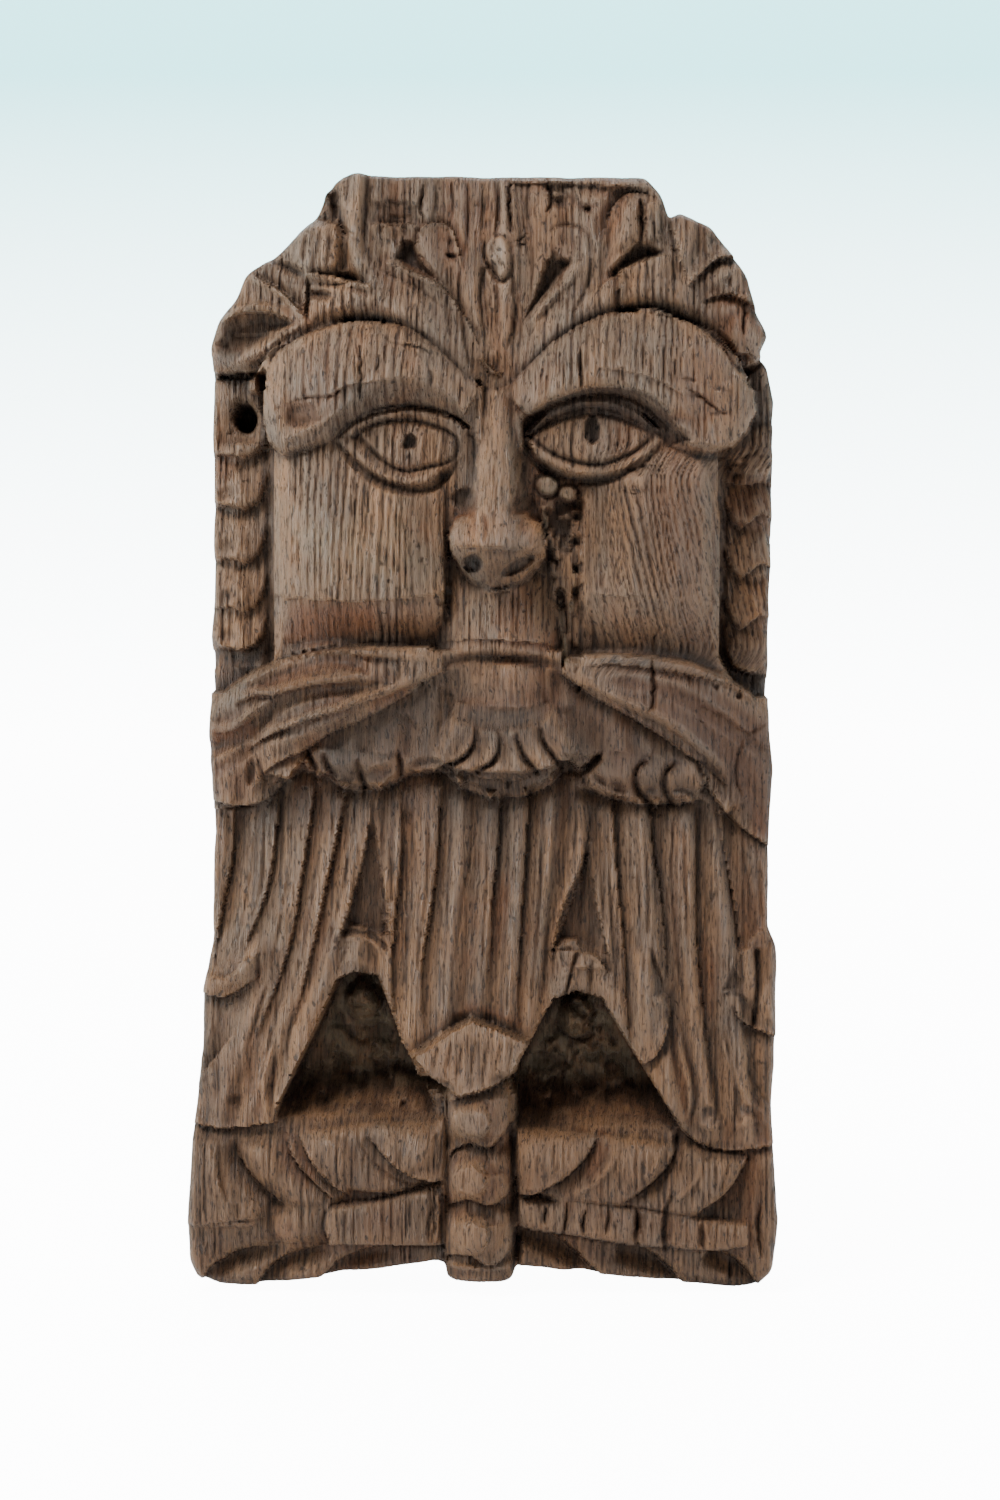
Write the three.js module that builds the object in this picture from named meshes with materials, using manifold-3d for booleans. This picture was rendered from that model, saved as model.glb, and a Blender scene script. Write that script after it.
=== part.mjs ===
import * as THREE from 'three';
import Module from 'manifold-3d';

// Green man mask: one oak block carved in high relief, with a flat back that lies against a wall.
// It is drawn lying on its back: x runs across, y runs up the panel and z is the depth of wood
// in front of the back. The last lines stand it up. Left and right are as seen from the front.

// Overall sizes, in millimetres
const panelHeight = 300;
const panelWidth = 159;

// Depths in front of the back, in millimetres
const boardDepth = 26;
const scaleDepth = 31.5;
const foreheadDepth = 46;
const browDepth = 53;
const socketDepth = 40;
const eyeDepth = 47;
const noseDepth = 62;
const cheekDepth = 51;
const lipDepth = 49;
const moustacheDepth = 51;
const fringeDepth = 45;
const beardDepth = 43;
const collarDepth = 45;
const stemDepth = 50;
const capDepth = 50;
const hollowFloor = 15;

// Small sizes that are set by themselves, in millimetres
const boardDraft = 1.2;
const lidWidth = 3.4;
const nailHoleRadius = 3.6;
const nailHoleFloor = 10;
const pupilRadius = 2.4;
const pupilDrop = 4;
const bossRadius = 4.7;
const bossRise = 5;
const splitWidth = 1.6;
const splitLength = 2.6;

// The carving is set out on a grid of 159 squares across and 300 squares up the panel
const gridAcross = 159;
const gridUp = 300;
const across = panelWidth / gridAcross;
const up = panelHeight / gridUp;

// Cross sections of the carved forms: places from one edge, -1, to the other, 1, with the lift at each
const round = [[-1, 0], [-0.7, 0.72], [0, 1], [0.7, 0.72], [1, 0]];
const flat = [[-1, 0], [-0.55, 0.95], [0.55, 0.95], [1, 0]];
const browRoll = [[-1, 0], [-0.62, 1], [0.1, 0.88], [0.75, 0.5], [1, 0.1]];
const bridge = [[-1, 0], [-0.62, 0.6], [-0.34, 0.97], [0.34, 0.97], [0.62, 0.6], [1, 0]];
const ribs = [[-1, 0.1], [-0.86, 0.85], [-0.5, 0.7], [-0.2, 0.98], [0.2, 0.76], [0.62, 1], [1, 0.1]];
const ribsBack = ribs.map(([place, lift]) => [-place, lift]).reverse();

const wasm = await Module();
wasm.setup();

/* A point of the carving grid, in millimetres. */
function at(x, y) {
  return new THREE.Vector2(x * across, y * up);
}

/* Triangles of a closed mesh as a solid, turned outwards if they face in. */
function solid(points, triangles) {
  const vertProperties = new Float32Array(points.flat());
  const volume = triangles.reduce((sum, [a, b, c]) => {
    const p = new THREE.Vector3(...points[a]);
    const q = new THREE.Vector3(...points[b]);
    const r = new THREE.Vector3(...points[c]);
    return sum + p.dot(q.cross(r));
  }, 0);
  const facing = volume < 0 ? triangles.map(([a, b, c]) => [a, c, b]) : triangles;
  const triVerts = new Uint32Array(facing.flat());
  return new wasm.Manifold(new wasm.Mesh({ numProp: 3, vertProperties, triVerts }));
}

/* The triangles that fill a flat outline, each in the outline's own order. */
function fill(flatPoints) {
  return THREE.ShapeUtils.triangulateShape(flatPoints, []).map((face) => face.sort((a, b) => a - b));
}

/* The triangles between each two rings of as many points. */
function bands(ringCount, count) {
  const triangles = [];
  for (let ring = 0; ring + 1 < ringCount; ring += 1) {
    for (let i = 0; i < count; i += 1) {
      const a = ring * count + i;
      const b = ring * count + (i + 1) % count;
      triangles.push([a, b, b + count], [a, b + count, a + count]);
    }
  }
  return triangles;
}

/* A solid from rings of as many points each, closed by flat faces at both ends. */
function skin(rings, startFace, endFace) {
  const count = rings[0].length;
  const last = (rings.length - 1) * count;
  const triangles = bands(rings.length, count);
  startFace.forEach(([a, b, c]) => triangles.push([a, c, b]));
  endFace.forEach(([a, b, c]) => triangles.push([a + last, b + last, c + last]));
  return solid(rings.flat(), triangles);
}

/* The outline drawn in by a distance, corner by corner. */
function inset(outline, distance) {
  const turn = Math.sign(THREE.ShapeUtils.area(outline));
  return outline.map((point, i) => {
    const before = outline[(i + outline.length - 1) % outline.length];
    const after = outline[(i + 1) % outline.length];
    const along = after.clone().sub(before).normalize();
    const inward = new THREE.Vector2(-along.y, along.x).multiplyScalar(turn);
    return point.clone().addScaledVector(inward, distance);
  });
}

/* A mass with the given outline, and a front edge that is cut back by a run across and a drop. */
function slab(outline, back, front, run = 0, drop = run) {
  const outer = outline.map(([x, y]) => at(x, y));
  const inner = inset(outer, run);
  const rings = [[outer, back]];
  if (drop < front - back && run > 0) rings.push([outer, front - drop]);
  rings.push([inner, front]);
  return skin(rings.map(([points, z]) => points.map((p) => [p.x, p.y, z])), fill(outer), fill(inner));
}

/* A hole's form: one outline at the floor and another, with as many points, at the mouth. */
function funnel(floorOutline, mouthOutline, floor, mouth) {
  const low = floorOutline.map(([x, y]) => at(x, y));
  const high = mouthOutline.map(([x, y]) => at(x, y));
  const rings = [low.map((p) => [p.x, p.y, floor]), high.map((p) => [p.x, p.y, mouth])];
  return skin(rings, fill(low), fill(high));
}

/* A cushion over an outline: power is 2 for a round cushion and more for a flatter one. */
function cushion(outline, root, crestAt, power = 2, rings = 3) {
  const outer = outline.map(([x, y]) => at(x, y));
  const count = outer.length;
  const centre = outer.reduce((sum, p) => sum.add(p), new THREE.Vector2()).divideScalar(count);
  const loops = [outer.map((p) => [p.x, p.y, 0])];
  for (let ring = 0; ring < rings; ring += 1) {
    const angle = (ring / rings) * Math.PI / 2;
    const spread = Math.cos(angle) ** (2 / power);
    const lift = Math.sin(angle) ** (2 / power);
    loops.push(outer.map((p) => {
      const q = centre.clone().lerp(p, spread);
      return [q.x, q.y, root + (crestAt(q.x / across, q.y / up) - root) * lift];
    }));
  }
  const points = [...loops.flat(), [centre.x, centre.y, crestAt(centre.x / across, centre.y / up)]];
  const triangles = bands(loops.length, count);
  for (let i = 0; i < count; i += 1) {
    triangles.push([rings * count + i, rings * count + (i + 1) % count, points.length - 1]);
  }
  fill(outer).forEach(([a, b, c]) => triangles.push([a, c, b]));
  return solid(points, triangles);
}

/* Points round an oval, for an outline. */
function oval(x, y, radiusX, radiusY, count) {
  return Array.from({ length: count }, (_, i) => {
    const angle = (i / count) * Math.PI * 2;
    return [x + Math.cos(angle) * radiusX, y + Math.sin(angle) * radiusY];
  });
}

/* Splines through stations: the place in the panel and three sizes at each. */
function route(stations) {
  const spine = new THREE.SplineCurve(stations.map(([x, y]) => at(x, y)));
  const sizes = stations.map(([, , a, b, c]) => new THREE.Vector3(a, b, c));
  const form = new THREE.CatmullRomCurve3(sizes, false, 'catmullrom', 0.3);
  return (t) => {
    const place = spine.getPoint(t);
    const along = spine.getTangent(t);
    const beside = (side, z) => [place.x - along.y * side, place.y + along.x * side, z];
    return { size: form.getPoint(t), beside };
  };
}

/* A leaf, lock or lid swept along a spine. A station is [x, y, half width, crest, edge]. */
function blade(stations, profile, steps, root = 0) {
  const pass = route(stations);
  const rings = [];
  const sections = [];
  for (let step = 0; step <= steps; step += 1) {
    const { size, beside } = pass(step / steps);
    const half = size.x * across;
    const section = profile.map(([place, lift]) => [place * half, size.z + (size.y - size.z) * lift]);
    section.push([half, root], [-half, root]);
    sections.push(section.map(([side, z]) => new THREE.Vector2(side, z)));
    rings.push(section.map(([side, z]) => beside(side, z)));
  }
  return skin(rings, fill(sections[0]), fill(sections[steps]));
}

/* A V cut along a line. A station is [x, y, half width, surface depth, depth of the cut]. */
function veeCut(stations, steps) {
  const clear = 6;
  const pass = route(stations);
  const rings = [];
  for (let step = 0; step <= steps; step += 1) {
    const { size, beside } = pass(step / steps);
    const wide = size.x * across * (size.z + clear) / size.z;
    rings.push([beside(-wide, size.y + clear), beside(0, size.y - size.z), beside(wide, size.y + clear)]);
  }
  return skin(rings, [[0, 1, 2]], [[0, 1, 2]]);
}

/* An oval ball, to join or to scoop with. */
function ball(x, y, z, radiusX, radiusY, radiusZ, turn = 0, count = 8) {
  const place = new THREE.Matrix4().compose(
    new THREE.Vector3(x * across, y * up, z),
    new THREE.Quaternion().setFromAxisAngle(new THREE.Vector3(0, 0, 1), turn),
    new THREE.Vector3(radiusX * across, radiusY * up, radiusZ));
  const rows = count / 2;
  const points = [[0, 0, 1]];
  for (let row = 1; row < rows; row += 1) {
    const polar = (row / rows) * Math.PI;
    const wide = Math.sin(polar);
    oval(0, 0, wide, wide, count).forEach(([a, b]) => points.push([a, b, Math.cos(polar)]));
  }
  points.push([0, 0, -1]);
  const end = points.length - 1;
  const triangles = bands(rows - 1, count).map((face) => face.map((corner) => corner + 1));
  for (let i = 0; i < count; i += 1) {
    const next = (i + 1) % count;
    triangles.push([0, 1 + next, 1 + i], [end, end - count + i, end - count + next]);
  }
  return solid(points.map((p) => new THREE.Vector3(...p).applyMatrix4(place).toArray()), triangles);
}

/* Locks lying side by side: each line is a valley, and a lock rises from one line to the next. */
function combed(lines, section, steps, crestOf, drop) {
  const root = boardDepth / 2;
  const curves = lines.map((line) => new THREE.SplineCurve(line.map(([x, y]) => at(x, y))));
  const rings = [];
  for (let step = 0; step <= steps; step += 1) {
    const t = step / steps;
    const front = [];
    curves.slice(0, -1).forEach((curve, i) => {
      const from = curve.getPoint(t);
      const to = curves[i + 1].getPoint(t);
      section.forEach(([share, lift]) => {
        const p = from.clone().lerp(to, share);
        front.push([p.x, p.y, crestOf(i, t) - drop * (1 - lift)]);
      });
    });
    const edge = curves[curves.length - 1].getPoint(t);
    front.push([edge.x, edge.y, crestOf(curves.length - 2, t) - drop]);
    rings.push([...front, ...front.map(([x, y]) => [x, y, root]).reverse()]);
  }
  const count = rings[0].length;
  const face = [];
  for (let i = 0; i + 1 < count / 2; i += 1) {
    face.push([i, i + 1, count - 2 - i], [i, count - 2 - i, count - 1 - i]);
  }
  return skin(rings, face, face);
}

/* All of a list joined into one solid. */
function join(solids) {
  return solids.reduce((whole, next) => whole.add(next));
}

/* A solid with every one of a list cut out of it. */
function cut(body, cutters) {
  return cutters.reduce((rest, next) => rest.subtract(next), body);
}

// The worn outline of the whole panel, clockwise from the top left corner
const outline = [
  [-35, 150], [-41.5, 145], [-44.5, 139.5], [-55, 128.5], [-63, 122.5], [-66.5, 116], [-71.5, 110.5],
  [-73.5, 103], [-73, 68], [-73, 36], [-73.8, 25], [-73, 9], [-73.5, -6], [-72.6, -19], [-73, -56],
  [-75.5, -70], [-75.5, -84], [-78, -106], [-79.5, -131], [-79, -142], [-77, -147], [-72, -149.3],
  [-61, -149.3], [-31, -145], [-10.8, -142], [-8.9, -145.3], [0.5, -147.6], [9, -143.2], [36, -146.4],
  [67, -150], [74, -149.8], [78, -145], [79.5, -131], [77.8, -100], [79, -80], [79.2, -58], [76.8, -52],
  [77.2, -31], [78.4, -12], [76.8, 7.5], [77.4, 24], [78.6, 67], [79.3, 90], [77.2, 99], [74.4, 101.5],
  [76.8, 106.5], [72.8, 115.4], [71.2, 122.5], [66, 130], [61.5, 136], [56, 138.5], [53, 140.3],
  [50, 138], [48.5, 144], [44, 149.6],
];

/* The plain board that carries the relief, a little wider at the back than at the front. */
function board() {
  return slab(outline, 0, boardDepth, boardDraft, boardDepth);
}

/* Everything inside the front outline, for trimming the relief to the block. */
function blank() {
  const front = inset(outline.map(([x, y]) => at(x, y)), boardDraft);
  return slab(front.map((p) => [p.x / across, p.y / up]), 0, noseDepth + 10);
}

/* The mass under the forehead leaves, from the top edge down to the two brow grooves. */
function foreheadMass() {
  const ground = [
    [-45, 152], [-57, 130], [-76, 112], [-76, 99], [-64, 97], [-58, 97.5], [-54, 103.5], [-47.5, 109],
    [-40, 111.8], [-33, 112.6], [-26, 112], [-16, 107.5], [-10, 102.7], [-4.6, 96.8], [1, 91], [6.2, 92.4],
    [13, 99], [25, 108.8], [33, 113.2], [41, 115.2], [47, 114.8], [54, 112.7], [60, 109], [64.5, 103],
    [66.8, 98], [72, 99], [82, 103], [82, 125], [60, 142], [50, 152],
  ];
  return slab(ground, 0, foreheadDepth - 13);
}

/* Leaves that fan out to the edges, above a band of leaf that follows each brow. */
function foreheadLeaves() {
  const full = foreheadDepth;
  const lines = [
    [[-60, 101], [-70, 101], [-84, 100]],
    [[-55, 108], [-66, 108.5], [-84, 108]],
    [[-47, 112.5], [-60, 117], [-80, 122]],
    [[-36, 116], [-46, 122], [-66, 132]],
    [[-29, 117.5], [-37, 127], [-52, 148]],
    [[-22, 117], [-30, 133], [-38, 156]],
    [[-12, 112], [-21, 128], [-27, 156]],
    [[-4, 104], [-9.5, 128], [-13, 156]],
    [[3.5, 96], [1, 125], [0, 156]],
    [[8.5, 98.5], [11.5, 120], [11, 156]],
    [[13, 104], [21.5, 124], [23, 156]],
    [[22, 111], [33, 127], [38, 156]],
    [[32, 117.5], [46, 130], [55, 156]],
    [[44, 119.5], [57, 126], [70, 142]],
    [[55, 117], [66, 120], [84, 128]],
    [[63, 111], [72, 111], [86, 113]],
    [[68, 102], [76, 101], [88, 100]],
  ];
  const section = [[0, 0], [0.18, 0.7], [0.55, 1], [0.86, 0.6]];
  const lift = [-6, -5, -3, -1, -1, 0, 0, 1, 1, 0, 1, 0, -1, -2, -5, -6];
  return [
    combed(lines, section, 5, (leaf, t) => full + lift[leaf] * (1 - t) - 12 * t ** 2, 3.2),
    blade([[2.4, 93, 1.5, full, full - 5], [-11, 106.5, 4.5, full + 2.5, full - 5],
      [-27, 115.5, 5, full + 1.5, full - 6], [-44, 114, 5, full - 1, full - 9],
      [-58, 104.5, 5.5, full - 6, full - 14], [-78, 101, 5.5, full - 13, full - 20]], round, 8),
    blade([[4.6, 93, 1.5, full, full - 5], [17, 107, 4.2, full + 2.5, full - 5],
      [31, 116, 4.5, full + 2, full - 6], [45, 118.5, 4.5, full, full - 8],
      [59, 113.5, 5, full - 4, full - 12], [80, 101, 6, full - 13, full - 20]], round, 8),
  ];
}

/* Deep wedges between the leaves, and the little pockets under their curled tips. */
function foreheadHollows() {
  const mouthDepth = foreheadDepth + 8;
  const wedge = (low, left, right, deep) => {
    const middle = [(low[0] + left[0] + right[0]) / 3, (low[1] + left[1] + right[1]) / 3];
    const drawn = [low, left, right].map(([x, y]) => [(x + middle[0]) / 2, (y + middle[1]) / 2]);
    return funnel(drawn, [low, left, right], foreheadDepth - deep, mouthDepth);
  };
  return [
    wedge([-8.5, 118.5], [-24.5, 133], [-15.5, 128], 15),
    wedge([10.5, 110], [16.5, 129.5], [26.5, 127], 15),
    wedge([30.5, 118.5], [42, 135], [51, 128.5], 15),
    wedge([-29, 119.5], [-48, 124.5], [-46, 119], 12),
    wedge([-49, 110], [-67, 116], [-66, 108.5], 13),
    wedge([58, 119.5], [76, 128.5], [76, 119.5], 14),
    ball(-42, 141, foreheadDepth - 9, 3, 5, 7, 0.4),
    ball(19, 144.5, foreheadDepth - 10, 5, 1.8, 6, -0.4),
  ];
}

/* The two rolled brows: the face leans forward to a crest and turns under above the eye. */
function brows() {
  const full = browDepth;
  const end = full - 17;
  return [
    blade([[-57, 84, 8, full - 7, end], [-51, 90.5, 13, full - 2, full - 11],
      [-40, 95.5, 14.5, full, full - 9], [-27, 98, 12.5, full + 1, full - 8],
      [-14, 95, 9.5, full, full - 7], [-3, 88.5, 4.5, full - 3, full - 6]], browRoll, 9),
    blade([[9, 88, 4, full - 3, full - 6], [18, 95.5, 9, full, full - 7], [31, 101, 11, full + 1, full - 8],
      [44, 100, 13, full, full - 9], [56, 94, 14.5, full - 2, full - 11],
      [66.5, 87, 9.5, full - 7, end]], browRoll, 9),
  ];
}

/* One almond eye with its two lids; rise and drop are from the corners to the edges of the ball. */
function eye(x0, x1, y, rise, drop) {
  const cx = (x0 + x1) / 2;
  const half = (x1 - x0) / 2;
  const low = socketDepth;
  const full = eyeDepth;
  const wide = lidWidth / 2;
  const almond = oval(cx, y + (rise - drop) / 2, half * 0.92, (rise + drop) / 2 + 0.8, 12);
  const upper = [
    [x0 - 2, y - 0.5, wide * 0.5, full - 1, low],
    [cx - half * 0.55, y + rise * 0.8 + 1.4, wide, full + 2, low],
    [cx, y + rise + wide, wide * 1.2, full + 3, low],
    [cx + half * 0.55, y + rise * 0.76 + 1.4, wide, full + 2, low],
    [x1 + 2, y - 0.5, wide * 0.5, full - 1, low],
  ];
  const lower = [
    [x0 - 2, y - 1, wide * 0.5, full - 2, low],
    [cx - half * 0.6, y - drop * 0.8 - 2.2, wide * 1.3, full, low],
    [cx, y - drop - wide, wide * 1.5, full + 0.6, low],
    [cx + half * 0.6, y - drop * 0.78 - 1.8, wide * 1.3, full, low],
    [x1 + 2, y - 1, wide * 0.5, full - 2, low],
  ];
  return [
    cushion(almond, low - 2, () => full, 2.2, 2),
    blade(upper, flat, 6, low - 3),
    blade(lower, flat, 6, low - 3),
  ];
}

/* The mass that the eyes, nose, mouth and fringe stand on. */
function faceMass() {
  const ground = [
    [-56, 96], [-30, 110], [4, 92], [34, 112], [63, 98], [64, 20], [76, -2], [66, -22], [52, -19], [36, -17],
    [22, -8], [16, -16], [-4, -17], [-16, -7], [-33, -14], [-49, -10], [-62, -17], [-71, 4], [-56, 20],
  ];
  return slab(ground, 0, socketDepth - 2);
}

/* Flat broad cheeks: each leans forward to a crisp lower edge and is undercut below it. */
function cheeks() {
  const full = cheekDepth;
  const low = boardDepth;
  const left = [[-1, 0], [-0.8, 0.84], [-0.3, 1], [0.5, 0.97], [0.96, 0.82], [1, 0.5]];
  const right = [[-1, 0.4], [-0.95, 0.74], [-0.3, 1], [0.3, 0.96], [0.7, 0.8], [1, 0]];
  return [
    blade([[-34, 82, 24.5, full - 8, low], [-34, 70, 24.5, full - 4, low], [-34, 52, 24.5, full, low],
      [-34, 36.5, 24.3, full - 0.5, low], [-34.5, 29, 23.8, full - 7, low], [-34.5, 20, 23, full - 13, low]],
    left, 7),
    blade([[46.5, 82, 20, full - 8, low], [46.3, 68, 20, full - 4, low], [46, 50, 20.5, full, low],
      [45.5, 35, 20.5, full - 0.5, low], [45, 28, 20, full - 7, low], [44, 19, 19.5, full - 12, low]],
    right, 7),
  ];
}

/* The nose: a broad bridge that widens to a heavy tip with two nostrils. */
function nose() {
  const full = noseDepth;
  const low = socketDepth - 3;
  const form = join([
    blade([[4.4, 96, 4.5, full - 14, low], [4, 81, 7, full - 11, low], [3.6, 66, 9.5, full - 7, low],
      [3.8, 56, 11.5, full - 2, low], [4, 50, 11.5, full, low], [4, 45, 10.5, full - 3, low],
      [4.2, 38, 8, full - 13, low]], bridge, 9),
    ball(-4.2, 52, full - 15, 5, 7, 10, -0.1),
    ball(12.4, 51, full - 15, 5, 7, 10, 0.1),
    ball(4, 51, full - 9, 8, 7, 8.8),
  ]);
  return cut(form, [
    ball(-2.4, 45.4, full - 8, 2.7, 2.7, 7),
    ball(9.6, 44.6, full - 7, 4, 2, 7, 0.6),
  ]);
}

/* The upper lip, the mouth line and the lower lip. */
function mouth() {
  const full = lipDepth;
  return [
    blade([[4.6, 42, 13, full - 7, full - 11], [4.8, 32, 14.8, full - 2, full - 10],
      [5.2, 23, 16.4, full, full - 10], [5.2, 20.8, 16.4, full - 2, full - 10]], round, 4),
    blade([[6, 18.8, 15, full - 3, full - 9], [6, 15, 14.8, full - 1, full - 9],
      [6, 8, 13.6, full - 3, full - 9], [6, 5.5, 12.6, full - 7, full - 10]], round, 4),
  ];
}

/* The two halves of the moustache: long ribbed leaves that droop at their outer ends. */
function moustache() {
  const full = moustacheDepth;
  return [
    blade([[-10.6, 19.2, 2.4, full - 3, full - 8], [-18.3, 18.4, 5.4, full - 1, full - 8],
      [-38, 12.8, 10.6, full, full - 10], [-52.5, 7, 12.6, full - 1, full - 11],
      [-62, 1, 12.8, full - 4, full - 13], [-67, -8, 11, full - 8, full - 15],
      [-66, -20, 8, full - 12, full - 16]], ribs, 9),
    blade([[21.6, 18, 2.4, full - 3, full - 8], [30.5, 16, 5.4, full - 1, full - 8],
      [42, 12.8, 8.8, full, full - 10], [53, 9, 10.8, full - 1, full - 11],
      [62, 2.6, 12.6, full - 4, full - 13], [69.5, -5.5, 12.6, full - 9, full - 16],
      [74, -17, 8, full - 14, full - 19], [77.5, -31, 3, full - 17, full - 21]], ribsBack, 10),
  ];
}

/* Short leaves that hang from under the moustache and the lip over the top of the beard. */
function jawFringe() {
  const full = fringeDepth;
  const left = [
    [-58, -5], [-58, -11], [-52, -12.5], [-46.8, -5.5], [-44, -13], [-41.2, -8.5], [-37, -15.8], [-33.2, -9],
    [-27, -15.2], [-21.6, -7], [-17, -11], [-12, -6], [-9, 6], [-14, 14], [-35, 7], [-50, 0.5],
  ];
  const right = [
    [20, 8], [20.5, -5], [26, -10.2], [31.5, -5.5], [36, -18], [42.8, -11], [46.4, -20.4], [50.2, -12.5],
    [55, -18.6], [60, -13], [58, -5], [42, 4], [28, 13],
  ];
  const tuft = [
    [-7, 8], [-13, -2], [-13, -10], [-8.5, -7.5], [-6, -14.5], [-2, -9.5], [2, -17.5], [6.5, -11],
    [11.5, -16.5], [13.4, -9.5], [18.6, -12.5], [20, -7], [26, -7.5], [24, -1], [19, 8],
  ];
  const part = (x0, y0, x1, y1, lift) => veeCut([
    [x0, y0, 0.8, full + lift, 1], [(x0 + x1) / 2, (y0 + y1) / 2, 1.4, full + lift, 3],
    [x1, y1, 1.6, full + lift, 3.5]], 2);
  return [
    ...[slab(left, boardDepth, full, 2), slab(right, boardDepth, full, 2)].map((leaves) => cut(leaves, [
      part(-44, 1, -46.8, -6, 0), part(-37, 2, -41.2, -9, 0), part(-30, 4, -33.2, -10, 0),
      part(-18, 7, -21.6, -8, 0), part(28, 7, 31.5, -6, 0), part(39, 2, 43, -12, 0),
      part(47, -1, 50.4, -13, 0),
    ])),
    cut(slab(tuft, boardDepth, full + 4, 2.4), [
      part(-3, 3.5, -8.8, -8.5, 4), part(1.5, 2.5, -2.2, -10.5, 4), part(6, 2, 6.6, -12, 4),
      part(10.5, 2.5, 13.6, -10.5, 4), part(15, 3.5, 20.4, -8, 4),
    ]),
  ];
}

/* Overlapping scales up both side boards, each one standing out at its round lower edge. */
function sideScales() {
  const scale = (x, y, wide) => {
    const hem = [[-1, 15], [-1, 5], [-0.72, 1.6], [0, 0], [0.72, 1.6], [1, 5], [1, 15]];
    const slope = 0.3;
    return cushion(hem.map(([a, b]) => [x + a * wide, y + b]), boardDepth - 2,
      (a, b) => scaleDepth + 2 - (b - y) * slope, 7, 2);
  };
  const left = [73.6, 59.8, 45.6, 32.3, 21.3].map((y) => scale(-66.2, y, 7.8));
  const right = [68.2, 55, 41.2, 27.5, 15].map((y) => scale(72.8, y, 7));
  return [...left, ...right];
}

/* The beard: long locks that fan outwards, each one stepping down to the next. */
function beard() {
  const lines = [
    [[-82, -12], [-82, -40], [-83, -66], [-84, -90], [-84, -105.5]],
    [[-67, -12], [-68, -38], [-72, -60], [-79, -78], [-82, -105.5]],
    [[-55, -10], [-56, -34], [-62.5, -56], [-71, -78], [-76, -105.5]],
    [[-45, -8], [-47.5, -34], [-53, -60], [-61, -83], [-69, -105.5]],
    [[-37, -8], [-40, -33], [-46, -59], [-53, -83], [-62, -105.5]],
    [[-31, -8], [-32.5, -33], [-38, -56], [-45.5, -81], [-56, -105]],
    [[-26, -8], [-29, -33], [-31, -56], [-31, -66], [-31, -70]],
    [[-21.5, -8], [-22.5, -38], [-24, -58], [-23.5, -76], [-20.5, -92]],
    [[-11, -8], [-12.5, -38], [-15.5, -60], [-16.2, -76], [-16, -92]],
    [[-2.4, -8], [-4, -38], [-6, -60], [-7, -76], [-8, -92]],
    [[4.8, -8], [3, -38], [2, -60], [1, -76], [0, -92]],
    [[12.5, -8], [11, -38], [9.8, -60], [8.5, -76], [7, -92]],
    [[21, -8], [20, -36], [16.5, -58], [14, -78], [11, -90]],
    [[28, -8], [28.4, -34], [26, -58], [25, -68], [25, -72]],
    [[34.5, -8], [35.8, -36], [37.6, -60], [39, -80], [47, -99]],
    [[44, -8], [46, -36], [48.8, -60], [51, -84], [56, -109.5]],
    [[56.5, -8], [57.4, -38], [57.6, -62], [60.5, -86], [64.5, -110.5]],
    [[63.5, -8], [66, -36], [69.5, -60], [71.5, -86], [74, -110.5]],
    [[84, -8], [84, -36], [84, -60], [84, -86], [84, -110.5]],
  ];
  const lift = [-5, -4, -2, -1, 0, 1, 0, 1, 2, 2, 2, 2, 1, 0, 1, 0, -1, -3];
  const section = [[0, 0], [0.16, 0.5], [0.86, 1]];
  return combed(lines, section, 5, (lock, t) => beardDepth + lift[lock] - 5 * (1 - t) ** 2, 4.5);
}

/* The curled tips where an outer lock turns away to the side. */
function beardTips() {
  const full = beardDepth;
  return [
    blade([[-60, -56, 2, full - 2, full - 9], [-65.5, -65, 3.6, full - 1, full - 9],
      [-77, -69.5, 3.4, full - 4, full - 12]], round, 4),
    blade([[70, -58, 3, full - 3, full - 9], [73, -70, 4.2, full - 2, full - 10],
      [80, -78, 3, full - 5, full - 13]], round, 4),
    blade([[41.5, -58, 3.4, full + 1, full - 6], [43.5, -76, 4.2, full + 2, full - 6],
      [41.5, -90, 0.8, full, full - 6]], round, 4),
  ];
}

/* The two tapering slots in the beard above the hollows. */
function beardSlots() {
  const floor = beardDepth - 9;
  const mouthDepth = beardDepth + 6;
  return [
    funnel([[-30.2, -26], [-36, -51], [-31, -52], [-26.5, -54]],
      [[-29.8, -20], [-38, -53], [-31, -53], [-24.5, -57]], floor, mouthDepth),
    funnel([[28, -34], [20.8, -55], [26, -55], [30.2, -57.5]],
      [[28.4, -28], [18.5, -58], [26, -56], [32.3, -60.5]], floor, mouthDepth),
  ];
}

/* The deep hollows under the beard, with a ledge that slopes up to the collar. */
function hollows() {
  const mouthDepth = beardDepth + 10;
  return [
    funnel(
      [[-38.5, -67], [-34, -65], [-28.8, -66], [-24, -79], [-18, -88], [-12, -93.5], [-51, -93.5],
        [-45, -82]],
      [[-39.5, -66], [-34, -63.4], [-28, -65], [-22.5, -79], [-20.5, -86], [-10, -109], [-59, -109],
        [-46, -81]],
      hollowFloor, mouthDepth),
    funnel(
      [[19.5, -72], [25, -70], [31.5, -72], [38, -83], [48, -97], [9, -95.5], [10, -88], [13.5, -82]],
      [[19, -71], [25, -69], [32, -71], [39, -83], [57, -112], [9, -111], [9.5, -89], [13.5, -82]],
      hollowFloor, mouthDepth),
  ];
}

/* The round boss of wood left standing near the top of each hollow. */
function bosses() {
  const boss = (x, y) => cushion(oval(x, y, bossRadius, bossRadius, 10), hollowFloor - 2,
    () => hollowFloor + bossRise, 5, 2);
  return [boss(-33, -73.5), boss(25.3, -77.5)];
}

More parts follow.
